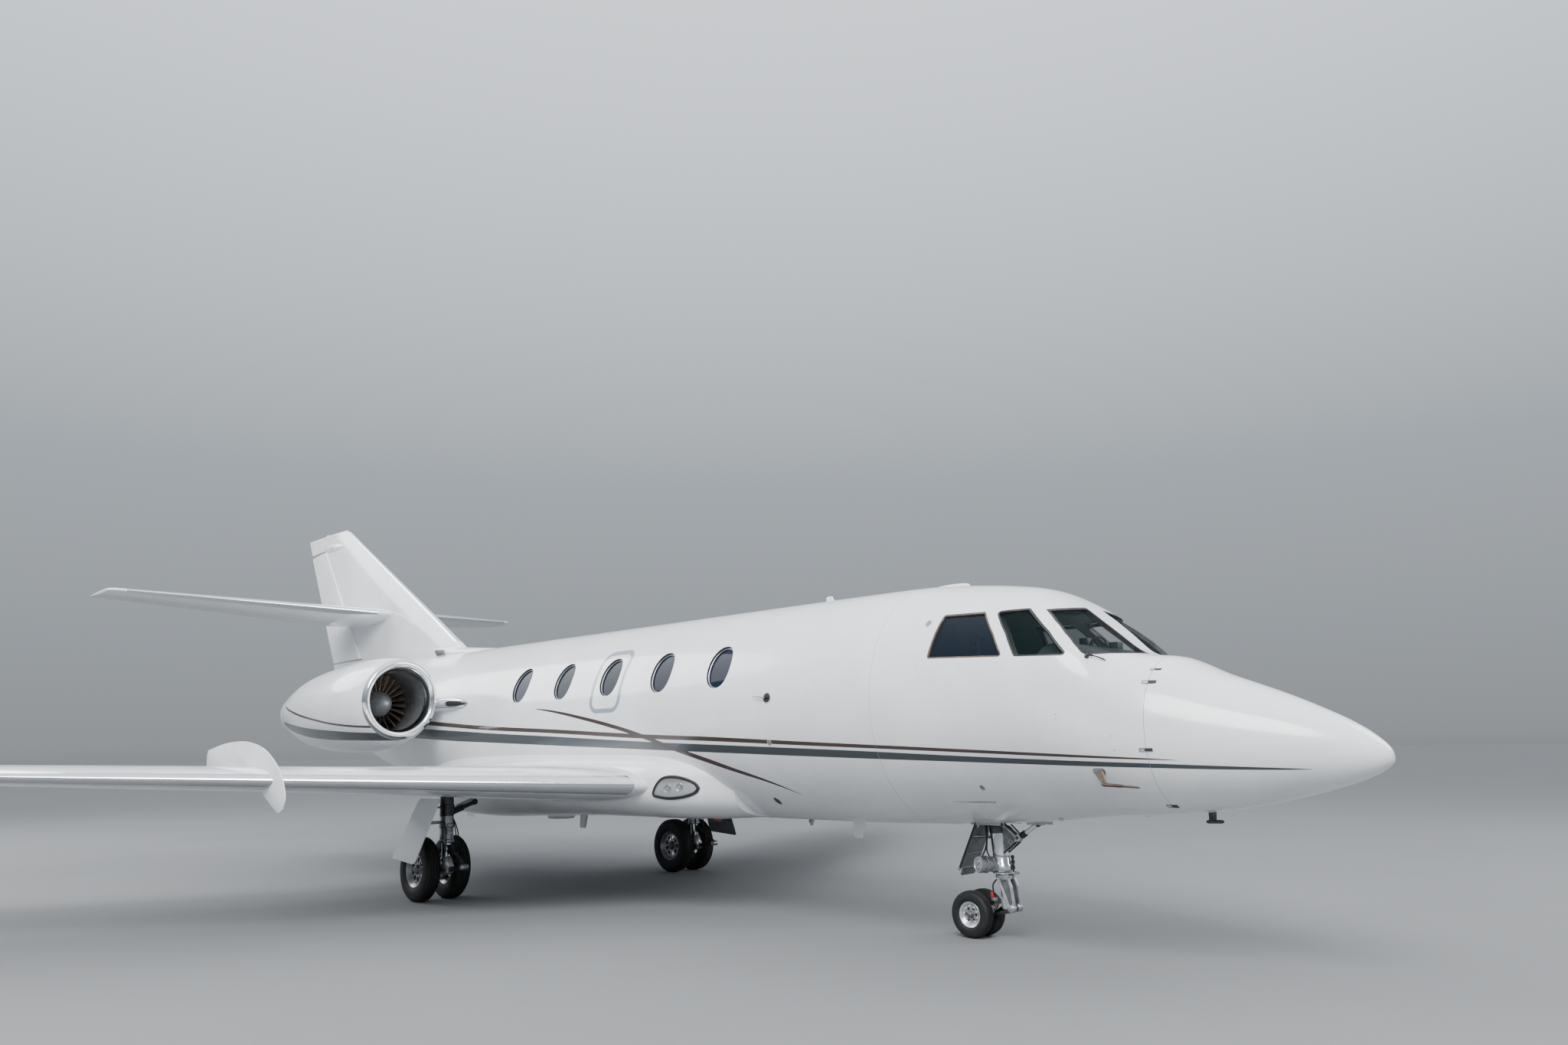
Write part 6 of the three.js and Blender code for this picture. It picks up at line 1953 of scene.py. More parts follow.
def build_main_leg(tag, side):
    """Main leg of one side, with its braces, links, brakes and lines."""
    y = side * MAIN_Y

    def p(s, z, off=0.0):
        return at(s, y + side * off, z)

    parts = [rod(p(8.712, 1.12), p(8.692, 0.86), [(0, 0.070), (0.55, 0.070), (0.58, 0.078), (0.66, 0.078),
                                                  (0.69, 0.072), (1, 0.072)], 48, DARK),
             rod(p(8.693, 0.87), p(8.671, 0.585), [(0, 0.070), (0.30, 0.070), (0.33, 0.080), (0.42, 0.080),
                                                   (0.45, 0.071), (0.86, 0.071), (0.89, 0.079),
                                                   (0.97, 0.079), (1, 0.06)], 48, STEEL),
             bar(p(8.673, 0.60), p(8.654, 0.40), 0.0475, 48, BRIGHT),
             rod(p(8.656, 0.435), p(8.598, 0.330), [(0, 0.052), (0.1, 0.056), (0.75, 0.056), (1, 0.04)], 40,
                 PALE)]
    arm = rounded([(8.575, 0.385), (8.560, 0.300), (8.620, 0.272), (8.86, 0.262), (8.94, 0.290),
                   (8.945, 0.360), (8.88, 0.390), (8.72, 0.372)], 0.018)
    parts += [
        *framed_plate(arm, y, 0.086, 0.052, 0.022, PALE, WEB_SHADE),
        rod(p(MAIN_S, MAIN_R, -0.062), p(MAIN_S, MAIN_R, 0.062),
            [(0, 0.058), (0.08, 0.066), (0.92, 0.066), (1, 0.058)], 48, PALE),
    ]
    top_link = rounded([(8.655, 0.590), (8.640, 0.515), (8.300, 0.345), (8.270, 0.372), (8.305, 0.400)],
                       0.012)
    low_link = rounded([(8.275, 0.392), (8.280, 0.345), (8.590, 0.300), (8.620, 0.345)], 0.012)
    parts += [
        *framed_plate(top_link, y, 0.044, 0.018, 0.012, DARK, DARK),
        *framed_plate(low_link, y - side * 0.001, 0.040, 0.016, 0.010, DARK, DARK),
        rod(p(8.290, 0.368, -0.040), p(8.290, 0.368, 0.040),
            [(0, 0.022), (0.1, 0.029), (0.9, 0.029), (1, 0.022)], 36, STEEL),
        *bolt(p(8.290, 0.368, 0.040), (0, side, 0), 0.010, STEEL),
        *bolt(p(8.290, 0.368, -0.040), (0, -side, 0), 0.010, STEEL),
        # Side brace up to the wing root.
        rod(at(8.695, y - side * 0.06, 0.902), at(8.865, side * 1.300, 0.990),
            [(0, 0.024), (0.04, 0.034), (0.42, 0.034), (0.43, 0.024), (0.92, 0.024), (0.94, 0.032),
             (1, 0.032)], 32, BLACK),
        bar(at(8.74, side * 1.61, 0.955), at(8.84, side * 1.36, 1.020), 0.013, 20, BRIGHT),
    ]
    # Brake packs beside the eye.
    for sign in (-1, 1):
        centre = p(MAIN_S, MAIN_R, sign * 0.082)
        parts += [
            hoop(centre, (0, 1, 0), 0.128, 0.06, 0.028, DARK, 56, 0.003),
            hoop(centre, (0, 1, 0), 0.100, 0.05, 0.036, STEEL, 48, 0.003),
        ]
        for k in range(8):
            angle = 2 * math.pi * (k + 0.5) / 8
            out = np.array([math.cos(angle), 0, math.sin(angle)])
            parts += bolt(centre + out * 0.114 + np.array([0, -side * sign * 0.014, 0]),
                          (0, -side * sign, 0), 0.008, STEEL)
    for off, bulge in ((-0.05, 0.0), (0.05, 0.012), (-0.062, 0.02)):
        path = [(8.665 + bulge, y + side * off, 0.86), (8.60 - bulge, y + side * off * 1.2, 0.70),
                (8.585 - bulge, y + side * off * 1.25, 0.52), (8.66, y + side * off * 1.1, 0.42),
                (8.80, y + side * off, 0.372)]
        parts.append(hose(path, 0.0065))
    parts += [
        block(p(8.60, 0.672, -0.03), p(8.625, 0.712, 0.03), 0.004, STEEL),
        bar(p(8.615, 0.78, 0.03), p(8.607, 0.69, 0.03), 0.009, 14, BRASS),
    ]
    piece(f"main_strut_{tag}", parts, GEAR_LOOKS, replaces=[f"main_leg_{tag}"], sharp=35)


LEG_DOOR = [(8.407, 1.05), (8.83, 1.05), (8.90, 0.460), (8.400, 0.425)]
LEG_DOOR_Y = 1.96
LEG_DOOR_LEAN = 0.40


def build_leg_door(tag, side):
    """Door that hangs on the main leg of one side."""
    outline = even(rounded(LEG_DOOR, 0.035), 120)

    def place(points, off):
        lean = LEG_DOOR_Y + (1.05 - points[:, 1]) * LEG_DOOR_LEAN
        return points3(points[:, 0], side * (lean + off), points[:, 1])

    centre = outline.mean(axis=0)
    shares = (0.02, 0.3, 0.6, 0.85, 0.96)
    sheets = [*[centre + (outline - centre) * k for k in shares], inset(outline, 0.002)]
    outer = [place(sheet, 0.020) for sheet in sheets]
    inner = [place(sheet, 0.004) for sheet in sheets]
    edge = [place(outline, 0.018), place(outline, 0.006)]
    rows = [*outer, *edge, *inner[::-1]]
    looks = np.zeros((len(rows) - 1, len(outline)), int)
    # The inner face of the door is coloured dark grey as painted shade.
    looks[len(outer) + 1:] = 3
    parts = [loft(rows, looks=looks)]
    for z in (0.93, 0.76, 0.60):
        a = np.array([[8.45, z], [8.80, z]])
        ends = place(a, 0.0)
        parts.append(tube(ends, 0.008, 12, 1))
    parts += [
        rod(at(8.70, side * 1.79, 0.80), at(8.74, side * 2.058, 0.80),
            [(0, 0.012), (0.1, 0.016), (0.9, 0.016), (1, 0.012)], 20, 2),
        bar(at(8.70, side * 1.78, 0.95), at(8.70, side * 1.985, 0.965), 0.009, 16, 2),
    ]
    piece(f"leg_door_panel_{tag}", parts, ["white", "steel", "steel", "door_inner_painted_shade"],
          replaces=[f"leg_door_{tag}"], sharp=35)


FENCE_Y = 3.89
FENCE = [(9.450, 1.290), (9.466, 1.400), (9.488, 1.530), (9.462, 1.573), (9.010, 1.631), (8.560, 1.644),
         (8.300, 1.621), (8.040, 1.567), (7.840, 1.487), (7.705, 1.410), (7.640, 1.358), (7.540, 1.246),
         (7.500, 1.143), (7.535, 1.060), (7.600, 1.032), (7.672, 1.045), (8.000, 1.180), (8.060, 1.245)]


def build_fence(tag, side):
    """Upright fence plate that runs round the leading edge of a wing."""
    front = spline(np.array(FENCE[3:14]), 8)
    outline = np.vstack([FENCE[:3], front, spline(np.array(FENCE[13:17]), 6)[1:], FENCE[17:]])
    plate = side_plate(outline, side * FENCE_Y, 0.010, 0.003, 0)
    piece(f"wing_fence_{tag}", [plate], ["white"], sharp=35)


# Small fittings on the skin

def facing(project, outline, sign, step=0.004):
    """Points of a surface under an outline, with the way out of it at each."""
    points = project(outline)
    across = project(outline + np.array([step, 0])) - project(outline - np.array([step, 0]))
    rise = project(outline + np.array([0, step])) - project(outline - np.array([0, step]))
    out = np.cross(across, rise) * sign
    return points, out / np.linalg.norm(out, axis=1)[:, None]


def patch(outline, project, sign, low, high, look=0, layers=5, crown=0.0):
    """Sheet that follows a surface inside an outline, between two heights, a little domed if asked."""
    centre = outline.mean(axis=0)
    top, bottom = [], []
    for share in np.linspace(0.02, 1, layers):
        points, out = facing(project, centre + (outline - centre) * share, sign)
        top.append(points + out * (high + crown * (1 - share ** 2)))
        bottom.append(points + out * low)
    return loft([*top, *bottom[::-1]], look)


def frame_on(outline, project, sign, width, low, high, look=0):
    """Flat frame that follows a surface, inwards from an outline."""
    rows = []
    for amount, lift in ((0.0, low), (0.0, high * 0.6), (width * 0.25, high), (width * 0.75, high),
                         (width, high * 0.6), (width, low)):
        points, out = facing(project, inset(outline, amount) if amount else outline, sign)
        rows.append(points + out * lift)
    return loft(rows, look, closed=True)


def on_fairing(side):
    def project(outline):
        keel, half, crown = fairing_at(outline[:, 0])
        rise = outline[:, 1] - FAIRING_MID
        height = np.where(rise > 0, crown - FAIRING_MID, FAIRING_MID - keel)
        n = np.where(rise > 0, 2.0, 2 / 0.62)
        y = half * np.maximum(1 - (np.abs(rise) / height) ** n, 0.0) ** (1 / n)
        return points3(outline[:, 0], side * y, outline[:, 1])
    return project


def on_fin(side):
    def project(outline):
        le, te, half = (np.array(v) for v in zip(*[fin_at(z) for z in outline[:, 1]]))
        x = np.clip((outline[:, 0] - le) / (te - le), 0, 1)
        y = half_thickness(x, 2 * half / (te - le)) * (te - le)
        return points3(outline[:, 0], side * y, outline[:, 1])
    return project


def blade_mast(s, y, z_root, z_tip, chord, sweep, thick=0.012, tip=0.55, look=0):
    """Thin swept aerial blade standing on the skin, up or down."""
    rings = []
    for share in (0, 0.25, 0.5, 0.75, 0.92, 1.0):
        wide = chord * (1 - (1 - tip) * share) * (0.82 if share == 1 else 1)
        ring = aerofoil(wide, thick * (1 - 0.4 * share) / wide, count=18)
        rings.append(points3(s + sweep * share + ring[:, 0], y + ring[:, 1],
                             z_root + (z_tip - z_root) * share))
    return loft(rings, look)


def pod(s0, s1, y, z, width, height, look=0):
    """Low teardrop hump along the body."""
    rings = []
    for t in np.linspace(0.0, 1, 26):
        size = max(0.02, math.sqrt(max(0.0, math.sin(math.pi * t ** 0.75))))
        ring = oval(0, 0, 1, 1, 36)
        rings.append(points3(s0 + (s1 - s0) * t, y + ring[:, 0] * width * size,
                             z + ring[:, 1] * height * size))
    return loft(rings, look)


def build_body_fittings(tag, side):
    project = side_project(side)
    parts = []
    for s, z, long, high in ((1.320, 2.012, 0.060, 0.014), (1.326, 1.921, 0.078, 0.024),
                             (1.335, 1.463, 0.080, 0.026), (1.334, 1.080, 0.070, 0.022)):
        plate = rectangle(s - long / 2, s + long / 2, z - high / 2, z + high / 2, 0.004, 4)
        slot = rectangle(s - long * 0.45, s + long * 0.10, z - high * 0.28, z + high * 0.28, 0.003, 4)
        parts += [
            patch(plate, project, side, -0.002, 0.0012, BRIGHT),
            frame_on(plate, project, side, 0.004, -0.002, 0.0022, DARK),
            # The slot is a raised black strip, not an opening: painted shade for the inside of the slot.
            patch(slot, project, side, -0.001, 0.0030, BLACK),
        ]
    # Air data probe: swept strut, elbow and forward tube.
    foot = rectangle(1.617, 1.697, 1.300, 1.345, 0.018, 8)
    parts.append(patch(foot, project, side, -0.002, 0.003, STEEL))
    base, _ = facing(project, np.array([[1.657, 1.318]]), side)
    base = base[0]
    elbow = at(1.600, side * 0.752, 1.240)
    down = unit(elbow - base)
    across = np.cross(down, (1, 0, 0))
    rings = []
    for share in (-0.12, 0.0, 0.3, 0.6, 0.9, 1.0):
        wide = 0.078 - 0.034 * max(share, 0)
        ring = aerofoil(wide, 0.22, count=16) - (wide * 0.42, 0)
        rings.append(base + (elbow - base) * share + np.outer(-ring[:, 0],
                                                              (1, 0, 0)) + np.outer(ring[:, 1], across))
    parts.append(loft(rings, BRONZE))
    tip = at(1.356, side * 0.750, 1.219)
    parts.append(rod(elbow + np.array([-0.03, 0, -0.004]), tip,
                     [(0, 0.004), (0.05, 0.0130), (0.45, 0.0120), (0.62, 0.0085), (0.97, 0.0072),
                      (1, 0.005)], 20, BRONZE))
    # Static ports, vane and drain outlets.
    for s, z, size, look in ((4.599, 1.941, 0.042, BLACK), (4.883, 1.051, 0.030, DARK),
                             (4.615, 1.562, 0.022, STEEL), (2.996, 2.459, 0.024, STEEL),
                             (2.62, 1.20, 0.018, STEEL)):
        parts += [
            patch(oval(s, z, size * 2, size * 2, 36), project, side, -0.002, 0.0015, look),
            frame_on(oval(s, z, size * 2.3, size * 2.3, 36), project, side, size * 0.2, -0.002, 0.0022, PALE),
        ]
    vane, out = facing(project, np.array([[4.599, 1.941], [4.75, 1.957]]), side)
    parts += [
        tube([vane[0] - out[0] * 0.002, vane[0] + out[0] * 0.028], 0.009, 18, BLACK),
        tube([vane[0] + out[0] * 0.024, vane[1] + out[1] * 0.026], [0.0065, 0.0035], 14, STEEL),
    ]
    # Fasteners round the windows of the flight deck and under them.
    for s, z in ((1.52, 2.060), (1.66, 2.062), (1.68, 2.090), (1.80, 2.060), (1.84, 2.090), (2.06, 2.065),
                 (2.10, 2.095), (2.24, 2.060), (2.30, 2.100), (2.62, 2.095), (2.80, 2.110), (3.00, 2.115),
                 (3.02, 2.160), (3.05, 2.300), (3.08, 2.060), (3.30, 2.080), (1.86, 1.712), (1.86, 1.684),
                 (1.54, 1.665), (1.53, 1.560), (1.52, 1.463)):
        spot, out = facing(project, np.array([[s, z]]), side)
        parts.append(disc(spot[0] - out[0] * 0.001, out[0], 0.0045, 0.0018, STEEL, 10, 0.0006))
    # Fasteners along the top edge of the belly fairing.
    for s in np.arange(6.15, 9.7, 0.115):
        crown = float(fairing_at(s)[2]) - 0.022
        spot, out = facing(on_fairing(side), np.array([[s, crown]]), side)
        parts.append(disc(spot[0] - out[0] * 0.001, out[0], 0.0048, 0.0018, STEEL, 10, 0.0006))
    piece(f"body_fittings_{tag}", parts, GEAR_LOOKS, sharp=40)


def build_wing_fittings(tag, side):
    looks = ["chrome", "seal", "clear", "steel",
             "red_lens" if side > 0 else "green_lens", "white_lens", "white", "black"]
    lamp = even(spline([(5.612, 1.160), (5.638, 1.207), (5.700, 1.245), (5.824, 1.277), (5.950, 1.265),
                        (6.030, 1.185), (6.062, 1.095), (5.985, 1.068), (5.878, 1.058), (5.720, 1.082),
                        (5.640, 1.118), (5.612, 1.158)], 6)[:-1], 96)
    project = on_fairing(side)
    parts = [patch(lamp, project, side, -0.004, 0.008, 0, 7),
             frame_on(lamp, project, side, 0.030, -0.003, 0.012, 1),
             patch(inset(lamp, 0.026), project, side, 0.021, 0.023, 2, 7, 0.006)]
    for s, z in ((5.79, 1.172), (5.90, 1.160)):
        spot, out = facing(project, np.array([[s, z]]), side)
        dish = [(0.0, 0.0015), (0.012, 0.002), (0.030, 0.006), (0.036, 0.009), (0.038, 0.007),
                (0.038, 0.001), (0, 0.001)]
        seat = spot[0] + out[0] * 0.007
        parts += [
            lathe(dish, seat, out[0], 32, 3),
            lathe([(0, 0.0), (0.008, 0.001), (0.007, 0.009), (0.0, 0.011)], seat, out[0], 20, 5),
        ]
    # Wing tip lamp.
    rings = []
    for t in np.linspace(0, 1, 14):
        y = 7.93 + 0.20 * t
        le, _, z, _, _ = wing_at(y)
        size = 0.024 * math.sqrt(max(0.02, 1 - (2 * t - 1) ** 2))
        ring = oval(0, 0, 2.6 * size, 1.7 * size, 24)
        rings.append(points3(le + 0.022 + (0.03 * max(0, t - 0.5)) + ring[:, 0], side * y, z + ring[:, 1]))
    parts.append(loft(rings, 4))
    piece(f"wing_lamps_{tag}", parts, looks, sharp=40)
    wicks = []
    for y in (5.75, 6.55, 7.35, 7.68):
        le, chord, z, _, twist = wing_at(y)
        root = at(le + chord - 0.012, side * y, z - math.tan(twist) * chord)
        wicks += [
            bar(root, root + np.array([-0.045, 0, 0.002]), 0.004, 10, 3),
            rod(root + np.array([-0.04, 0, 0.002]), root + np.array([-0.15, 0, 0.0]),
                [(0, 0.003), (1, 0.0018)], 10, 7),
        ]
    piece(f"aileron_wicks_{tag}", wicks, looks, f"aileron_{tag}_body", sharp=40)
    slot_looks = ["polish", "seal"]
    a, b = at(9.705, side * 0.975, 2.093), at(10.03, side * 1.085, 2.100)
    along = unit(b - a)
    shape = oval(0.17, 0, 0.37, 0.072, 48, 0.55)
    hole = oval(0.17, 0, 0.31, 0.030, 48, 0.6)
    ahead = np.cross(along, (0, 0, 1.0))
    ahead *= np.sign(ahead[0])
    # The hole is a dark rubber slab, not an opening: painted shade standing in for the inside of the inlet.
    parts = [slab(shape, a + ahead * 0.004, along, (0, 0, 1), 0.026, 0.006, 0),
             slab(hole, a + ahead * 0.0125, along, (0, 0, 1), 0.013, 0.002, 1)]
    piece(f"pylon_inlet_{tag}", parts, slot_looks, sharp=40)


def build_top_fittings():
    looks = ["white", "dark_steel", "steel", "black"]
    parts = [pod(3.12, 3.55, 0, 2.862, 0.075, 0.050, 0), blade_mast(4.66, 0, 2.870, 2.935, 0.12,
                                                                    0.04, 0.014, 0.6, 0)]
    # Wiper on the windshield sill, one for each side.
    for side in SIDES.values():
        pivot = on_front(np.array([side * 0.752]), np.array([2.108]))[0]
        far = on_front(np.array([side * 0.664]), np.array([2.076]))[0]
        lift = np.array([0.009, side * 0.004, 0.010])
        parts += [
            disc(pivot - lift * 0.4, (0.6, side * 0.35, 0.7), 0.016, 0.018, 3, 28),
            rod(pivot + lift * 1.2, (pivot + far) / 2 + lift * 1.6, [(0, 0.007), (1, 0.0045)], 14, 3),
            rod((pivot + far) / 2 + lift * 1.6, far + lift, [(0, 0.004), (1, 0.0025)], 12, 1),
            bar(pivot + lift * 2.2, far + lift * 0.9 + np.array([0, 0, -0.006]), 0.003, 10, 3),
        ]
    piece("top_fittings", parts, looks, sharp=40)


def build_belly_fittings():
    looks = ["white", "dark_steel", "steel", "black", "white_lens", "red_lens"]
    parts = [
        blade_mast(4.34, 0, 0.900, 0.712, 0.17, 0.06, 0.018, 0.62, 0),
        blade_mast(8.57, 0, 0.800, 0.640, 0.15, 0.04, 0.020, 0.8, 2),
        blade_mast(11.10, 0, 0.850, 0.690, 0.20, 0.02, 0.014, 0.9, 0),
        blade_mast(4.98, 0, 0.866, 0.800, 0.06, 0.025, 0.01, 0.7, 2),
        blade_mast(5.10, 0.10, 0.870, 0.815, 0.05, 0.020, 0.01, 0.7, 2),
        blade_mast(1.640, 0, 1.002, 0.978, 0.06, 0.02, 0.010, 0.6, 0),
        blade_mast(1.165, 0, 1.070, 0.961, 0.062, 0.010, 0.018, 0.85, 1),
        rod(at(1.245, 0, 0.962), at(1.125, 0, 0.966), [(0, 0.009), (0.1, 0.013), (0.9, 0.013), (1, 0.009)],
            20, 1),
        disc(at(9.11, 0, 0.800), (0, 0, -1), 0.165, 0.064, 0, 72, 0.018),
        lathe([(0, 0.0), (0.045, 0.0), (0.047, 0.010), (0.036, 0.032), (0.018, 0.042), (0, 0.044)],
              at(6.33, 0, 0.835), (0, 0, -1), 36, 5),
        pod(3.29, 3.58, 0, 0.882, 0.055, 0.026, 4),
        lathe([(0, 0.0), (0.020, 0.0), (0.021, 0.006), (0.014, 0.016), (0, 0.020)],
              on_crown(2.26, -0.228, -1), (0, -0.2, -1), 28, 4),
    ]
    piece("belly_fittings", parts, looks, sharp=40)


def build_tail_fittings():
    looks = ["white", "seal", "red_lens", "steel", "black", "tail", "brass"]
    parts = []
    root = even(rounded([(14.016, 3.981), (13.522, 3.627), (14.168, 3.357), (15.064, 3.528)], 0.05), 88)
    drop = even(spline([(15.592, 4.975), (15.80, 4.945), (16.08, 4.937), (16.30, 4.965), (16.455, 5.02),
                        (16.40, 5.06), (16.1, 5.075), (15.80, 5.04), (15.592, 4.978)], 8)[:-1], 64)
    vent = even(rounded([(12.235, 2.968), (11.970, 2.960), (11.870, 2.876), (12.125, 2.862)], 0.012), 60)
    for side in SIDES.values():
        project = on_fin(side)
        parts += [
            patch(root, project, side, -0.002, 0.0045, 5, 8),
            patch(drop, project, side, -0.002, 0.004, 5, 6, 0.022),
            # The vent is a black sheet under the bars, not an opening: painted shade for the inside of the
            # vent.
            patch(vent, project, side, -0.002, 0.0070, 4),
            frame_on(vent, project, side, 0.008, -0.002, 0.009, 5),
        ]
        for k in range(5):
            t = (k + 0.5) / 5
            a = np.array([11.885 + 0.09 * t, 2.880 + 0.076 * t])
            b = np.array([12.125 + 0.105 * t, 2.868 + 0.094 * t])
            ends, out = facing(project, np.array([a + (0.014, 0), b - (0.014, 0)]), side)
            parts.append(tube(ends + out * 0.007, 0.0022, 10, 3))
    beacon = [(0.0, 0.0), (0.038, 0.0), (0.040, 0.012), (0.030, 0.026), (0.012, 0.033), (0.0, 0.034)]
    lamp = lathe(beacon, (0, 0, 0), (0, 0, 1), 40, 2)
    stretch = Matrix.Translation(Vector(at(16.43, 0, 5.240))) @ Matrix.Diagonal((2.2, 1.05, 1.8, 1.0))
    parts += [
        turned(lamp, stretch),
        patch(oval(16.06, 4.985, 0.05, 0.03, 24), on_fin(-1), -1, 0.02, 0.028, 6),
        patch(oval(16.06, 4.985, 0.05, 0.03, 24), on_fin(1), 1, 0.02, 0.028, 6),
    ]
    piece("tail_fittings", parts, looks, sharp=40)
    wicks = []
    for z in (4.86, 4.65, 4.42, 3.9):
        tail = rudder_hinge(z)[2]
        root = at(tail - 0.012, 0, z - 0.03)
        wicks += [
            bar(root, root + np.array([-0.040, 0, 0.0]), 0.0035, 10, 3),
            rod(root + np.array([-0.036, 0, 0.0]), root + np.array([-0.115, 0, -0.004]),
                [(0, 0.0025), (1, 0.0015)], 10, 4),
        ]
    piece("rudder_wicks", wicks, looks, "rudder_hinge_body", sharp=40)


def build_nose_bay():
    """Liner of the wheel bay round the strut and the drag strut."""
    parts = []
    for s0, s1, half in ((2.845, 3.125, 0.152), (2.50, 2.665, 0.055)):
        for y in (-half, half):
            parts.append(block(at(s0, y - 0.004, 0.885 + (0.01 if s0 < 2.7 else 0)),
                               at(s1, y + 0.004, 1.012), 0.001, 0))
        for s in (s0, s1):
            parts.append(block(at(s - 0.004, -half, 0.905), at(s + 0.004, half, 1.012), 0.001, 0))
        parts.append(block(at(s0, -half, 1.004), at(s1, half, 1.014), 0.001, 0))
    piece("nose_bay_liner", parts, ["bay"], sharp=30)


# Flight deck

HOOD_HALF = 0.665


def hood_section(y):
    """Section of the glareshield at a distance from the centre plane, as (station, height) points."""
    front = float(NOSE_X - on_front(np.array([y]), np.array([2.112]))[0][0]) + 0.060
    share = max(0.0, (abs(y) - 0.56) / (HOOD_HALF - 0.56))
    tall = math.sqrt(max(0.0, 1 - share ** 2)) * 0.9 + 0.1
    curve = [(front, 2.088), (front + 0.02, 2.112), (1.72, 2.165), (1.86, 2.218), (1.98, 2.246),
             (2.07, 2.238), (2.125, 2.205), (2.140, 2.165), (2.132, 2.130)]
    curve = [(max(s, front + 0.02 + 0.02 * i) if i else s, 2.088 + (z - 2.088) * tall)
             for i, (s, z) in enumerate(curve)]
    top = spline(curve, 5)
    under = [(2.118, 2.128), (2.06, 2.150), (1.95, 2.120), (1.80, 2.080),
             (front + 0.03, 2.062), (front, 2.070)]
    under = [(max(s, front + 0.001 * (6 - i)), 2.062 + (z - 2.062) * tall) for i, (s, z) in enumerate(under)]
    return np.vstack([top, under])


def build_flight_deck():
    """What shows through the cockpit panes: glareshield, screens, trim and frames."""
    looks = ["glareshield", "black", "screen", "cockpit_trim", "steel", "seal", "louvre", "fleece"]
    rings = []
    for y in np.linspace(-HOOD_HALF, HOOD_HALF, 45):
        ring = hood_section(float(y))
        rings.append(points3(ring[:, 0], y, ring[:, 1]))
    parts = [loft(rings, 0)]
    panel = [(2.075, 2.125), (2.020, 2.130), (2.110, 1.905), (2.108, 1.640), (2.160, 1.640), (2.165, 1.900)]
    parts.append(slab(panel, at(0, 0, 0), (-1, 0, 0), (0, 0, 1), 1.30, 0.004, 1))
    tilt = np.array([0.17, 0, -1.0])
    tilt /= np.linalg.norm(tilt)
    for y in (-0.46, -0.20, 0.0, 0.20, 0.46):
        centre = at(2.112, y, 2.015)
        width, height = (0.19, 0.165) if y else (0.14, 0.165)
        shape = rectangle(-height / 2, height / 2, -width / 2, width / 2, 0.008, 4)
        parts += [
            slab(shape, centre, tilt, (0, 1, 0), 0.028, 0.003, 1),
            slab(inset(shape, 0.012), centre + np.array([-0.015, 0, -0.002]), tilt,
                 (0, 1, 0), 0.004, 0.001, 2),
        ]
    for y in (-0.60, 0.60):
        for z in (1.98, 2.05):
            parts.append(disc(at(2.12, y, z), (-1, 0, 0), 0.026, 0.022, 4, 28))
    # Pedestal, throttles and control wheels.
    pedestal = [(2.13, 1.66), (2.16, 1.72), (2.42, 1.64), (2.84, 1.60), (2.84, 1.09), (2.13, 1.09)]
    parts.append(slab(pedestal, at(0, 0, 0), (-1, 0, 0), (0, 0, 1), 0.24, 0.010, 1))
    for y in (-0.04, 0.04):
        parts.append(rod(at(2.50, y, 1.62), at(2.46, y, 1.76),
                         [(0, 0.007), (0.75, 0.007), (0.8, 0.018), (0.95, 0.018), (1, 0.010)], 18, 4))
    for y in (-0.42, 0.42):
        parts.append(rod(at(2.12, y, 1.80), at(2.38, y, 1.83),
                         [(0, 0.022), (0.9, 0.022), (0.92, 0.034), (1, 0.034)], 24, 1))
        wheel = [(2.39, y - 0.17, 1.94), (2.39, y - 0.18, 1.85), (2.40, y - 0.12, 1.79), (2.40, y, 1.80),
                 (2.40, y + 0.12, 1.79), (2.39, y + 0.18, 1.85), (2.39, y + 0.17, 1.94)]
        parts += [
            hose(wheel, 0.015, 1, 16),
            block(at(2.375, y - 0.045, 1.775), at(2.41, y + 0.045, 1.855), 0.008, 1),
        ]
    # Boxes on the glareshield with their looped cable.
    parts += [
        block(at(2.06, 0.0, 2.235), at(2.13, 0.10, 2.322), 0.004, 1),
        block(at(2.00, 0.38, 2.225), at(2.08, 0.47, 2.310), 0.004, 1),
        hose([(2.03, -0.02, 2.25), (2.00, -0.03, 2.295), (1.96, -0.02, 2.318), (1.92, 0.0, 2.295),
              (1.90, 0.02, 2.235)], 0.008, 5),
        hose([(2.09, 0.09, 2.31), (2.07, 0.12, 2.325), (2.05, 0.18, 2.26), (2.02, 0.24, 2.238),
              (1.95, 0.3, 2.23)], 0.005, 5),
    ]
    # Overhead console and sun visors.
    overhead = [(2.20, 2.600), (2.62, 2.690), (3.10, 2.735), (3.10, 2.700), (2.64, 2.640), (2.24, 2.545)]
    parts.append(slab(overhead, at(0, 0, 0), (-1, 0, 0), (0, 0, 1), 0.34, 0.008, 1))
    for side in SIDES.values():
        visor = [(side * 0.16, 2.530), (side * 0.44, 2.505), (side * 0.42, 2.452), (side * 0.17, 2.470)]
        points = on_front(np.array([v[0] for v in visor]), np.array([v[1] for v in visor]))
        inner = points + np.array([-0.085, 0, 0])
        outer = points + np.array([-0.078, 0, 0.004])
        parts.append(loft([inner, outer], 2))
    # Louvred panel on the bulkhead with the strut beside it.
    for side in SIDES.values():
        parts.append(block(at(3.36, side * 0.36, 1.62), at(3.40, side * 0.80, 2.47), 0.006, 6))
        for k in range(13):
            z = 1.68 + 0.058 * k
            parts.append(block(at(3.335, side * 0.38, z), at(3.362, side * 0.60, z + 0.034), 0.005, 6))
        parts.append(bar(at(3.30, side * 0.345, 1.20), at(3.30, side * 0.345, 2.52), 0.014, 20, 4))
    piece("flight_deck", parts, looks, replaces=["instrument_panel"], sharp=40)


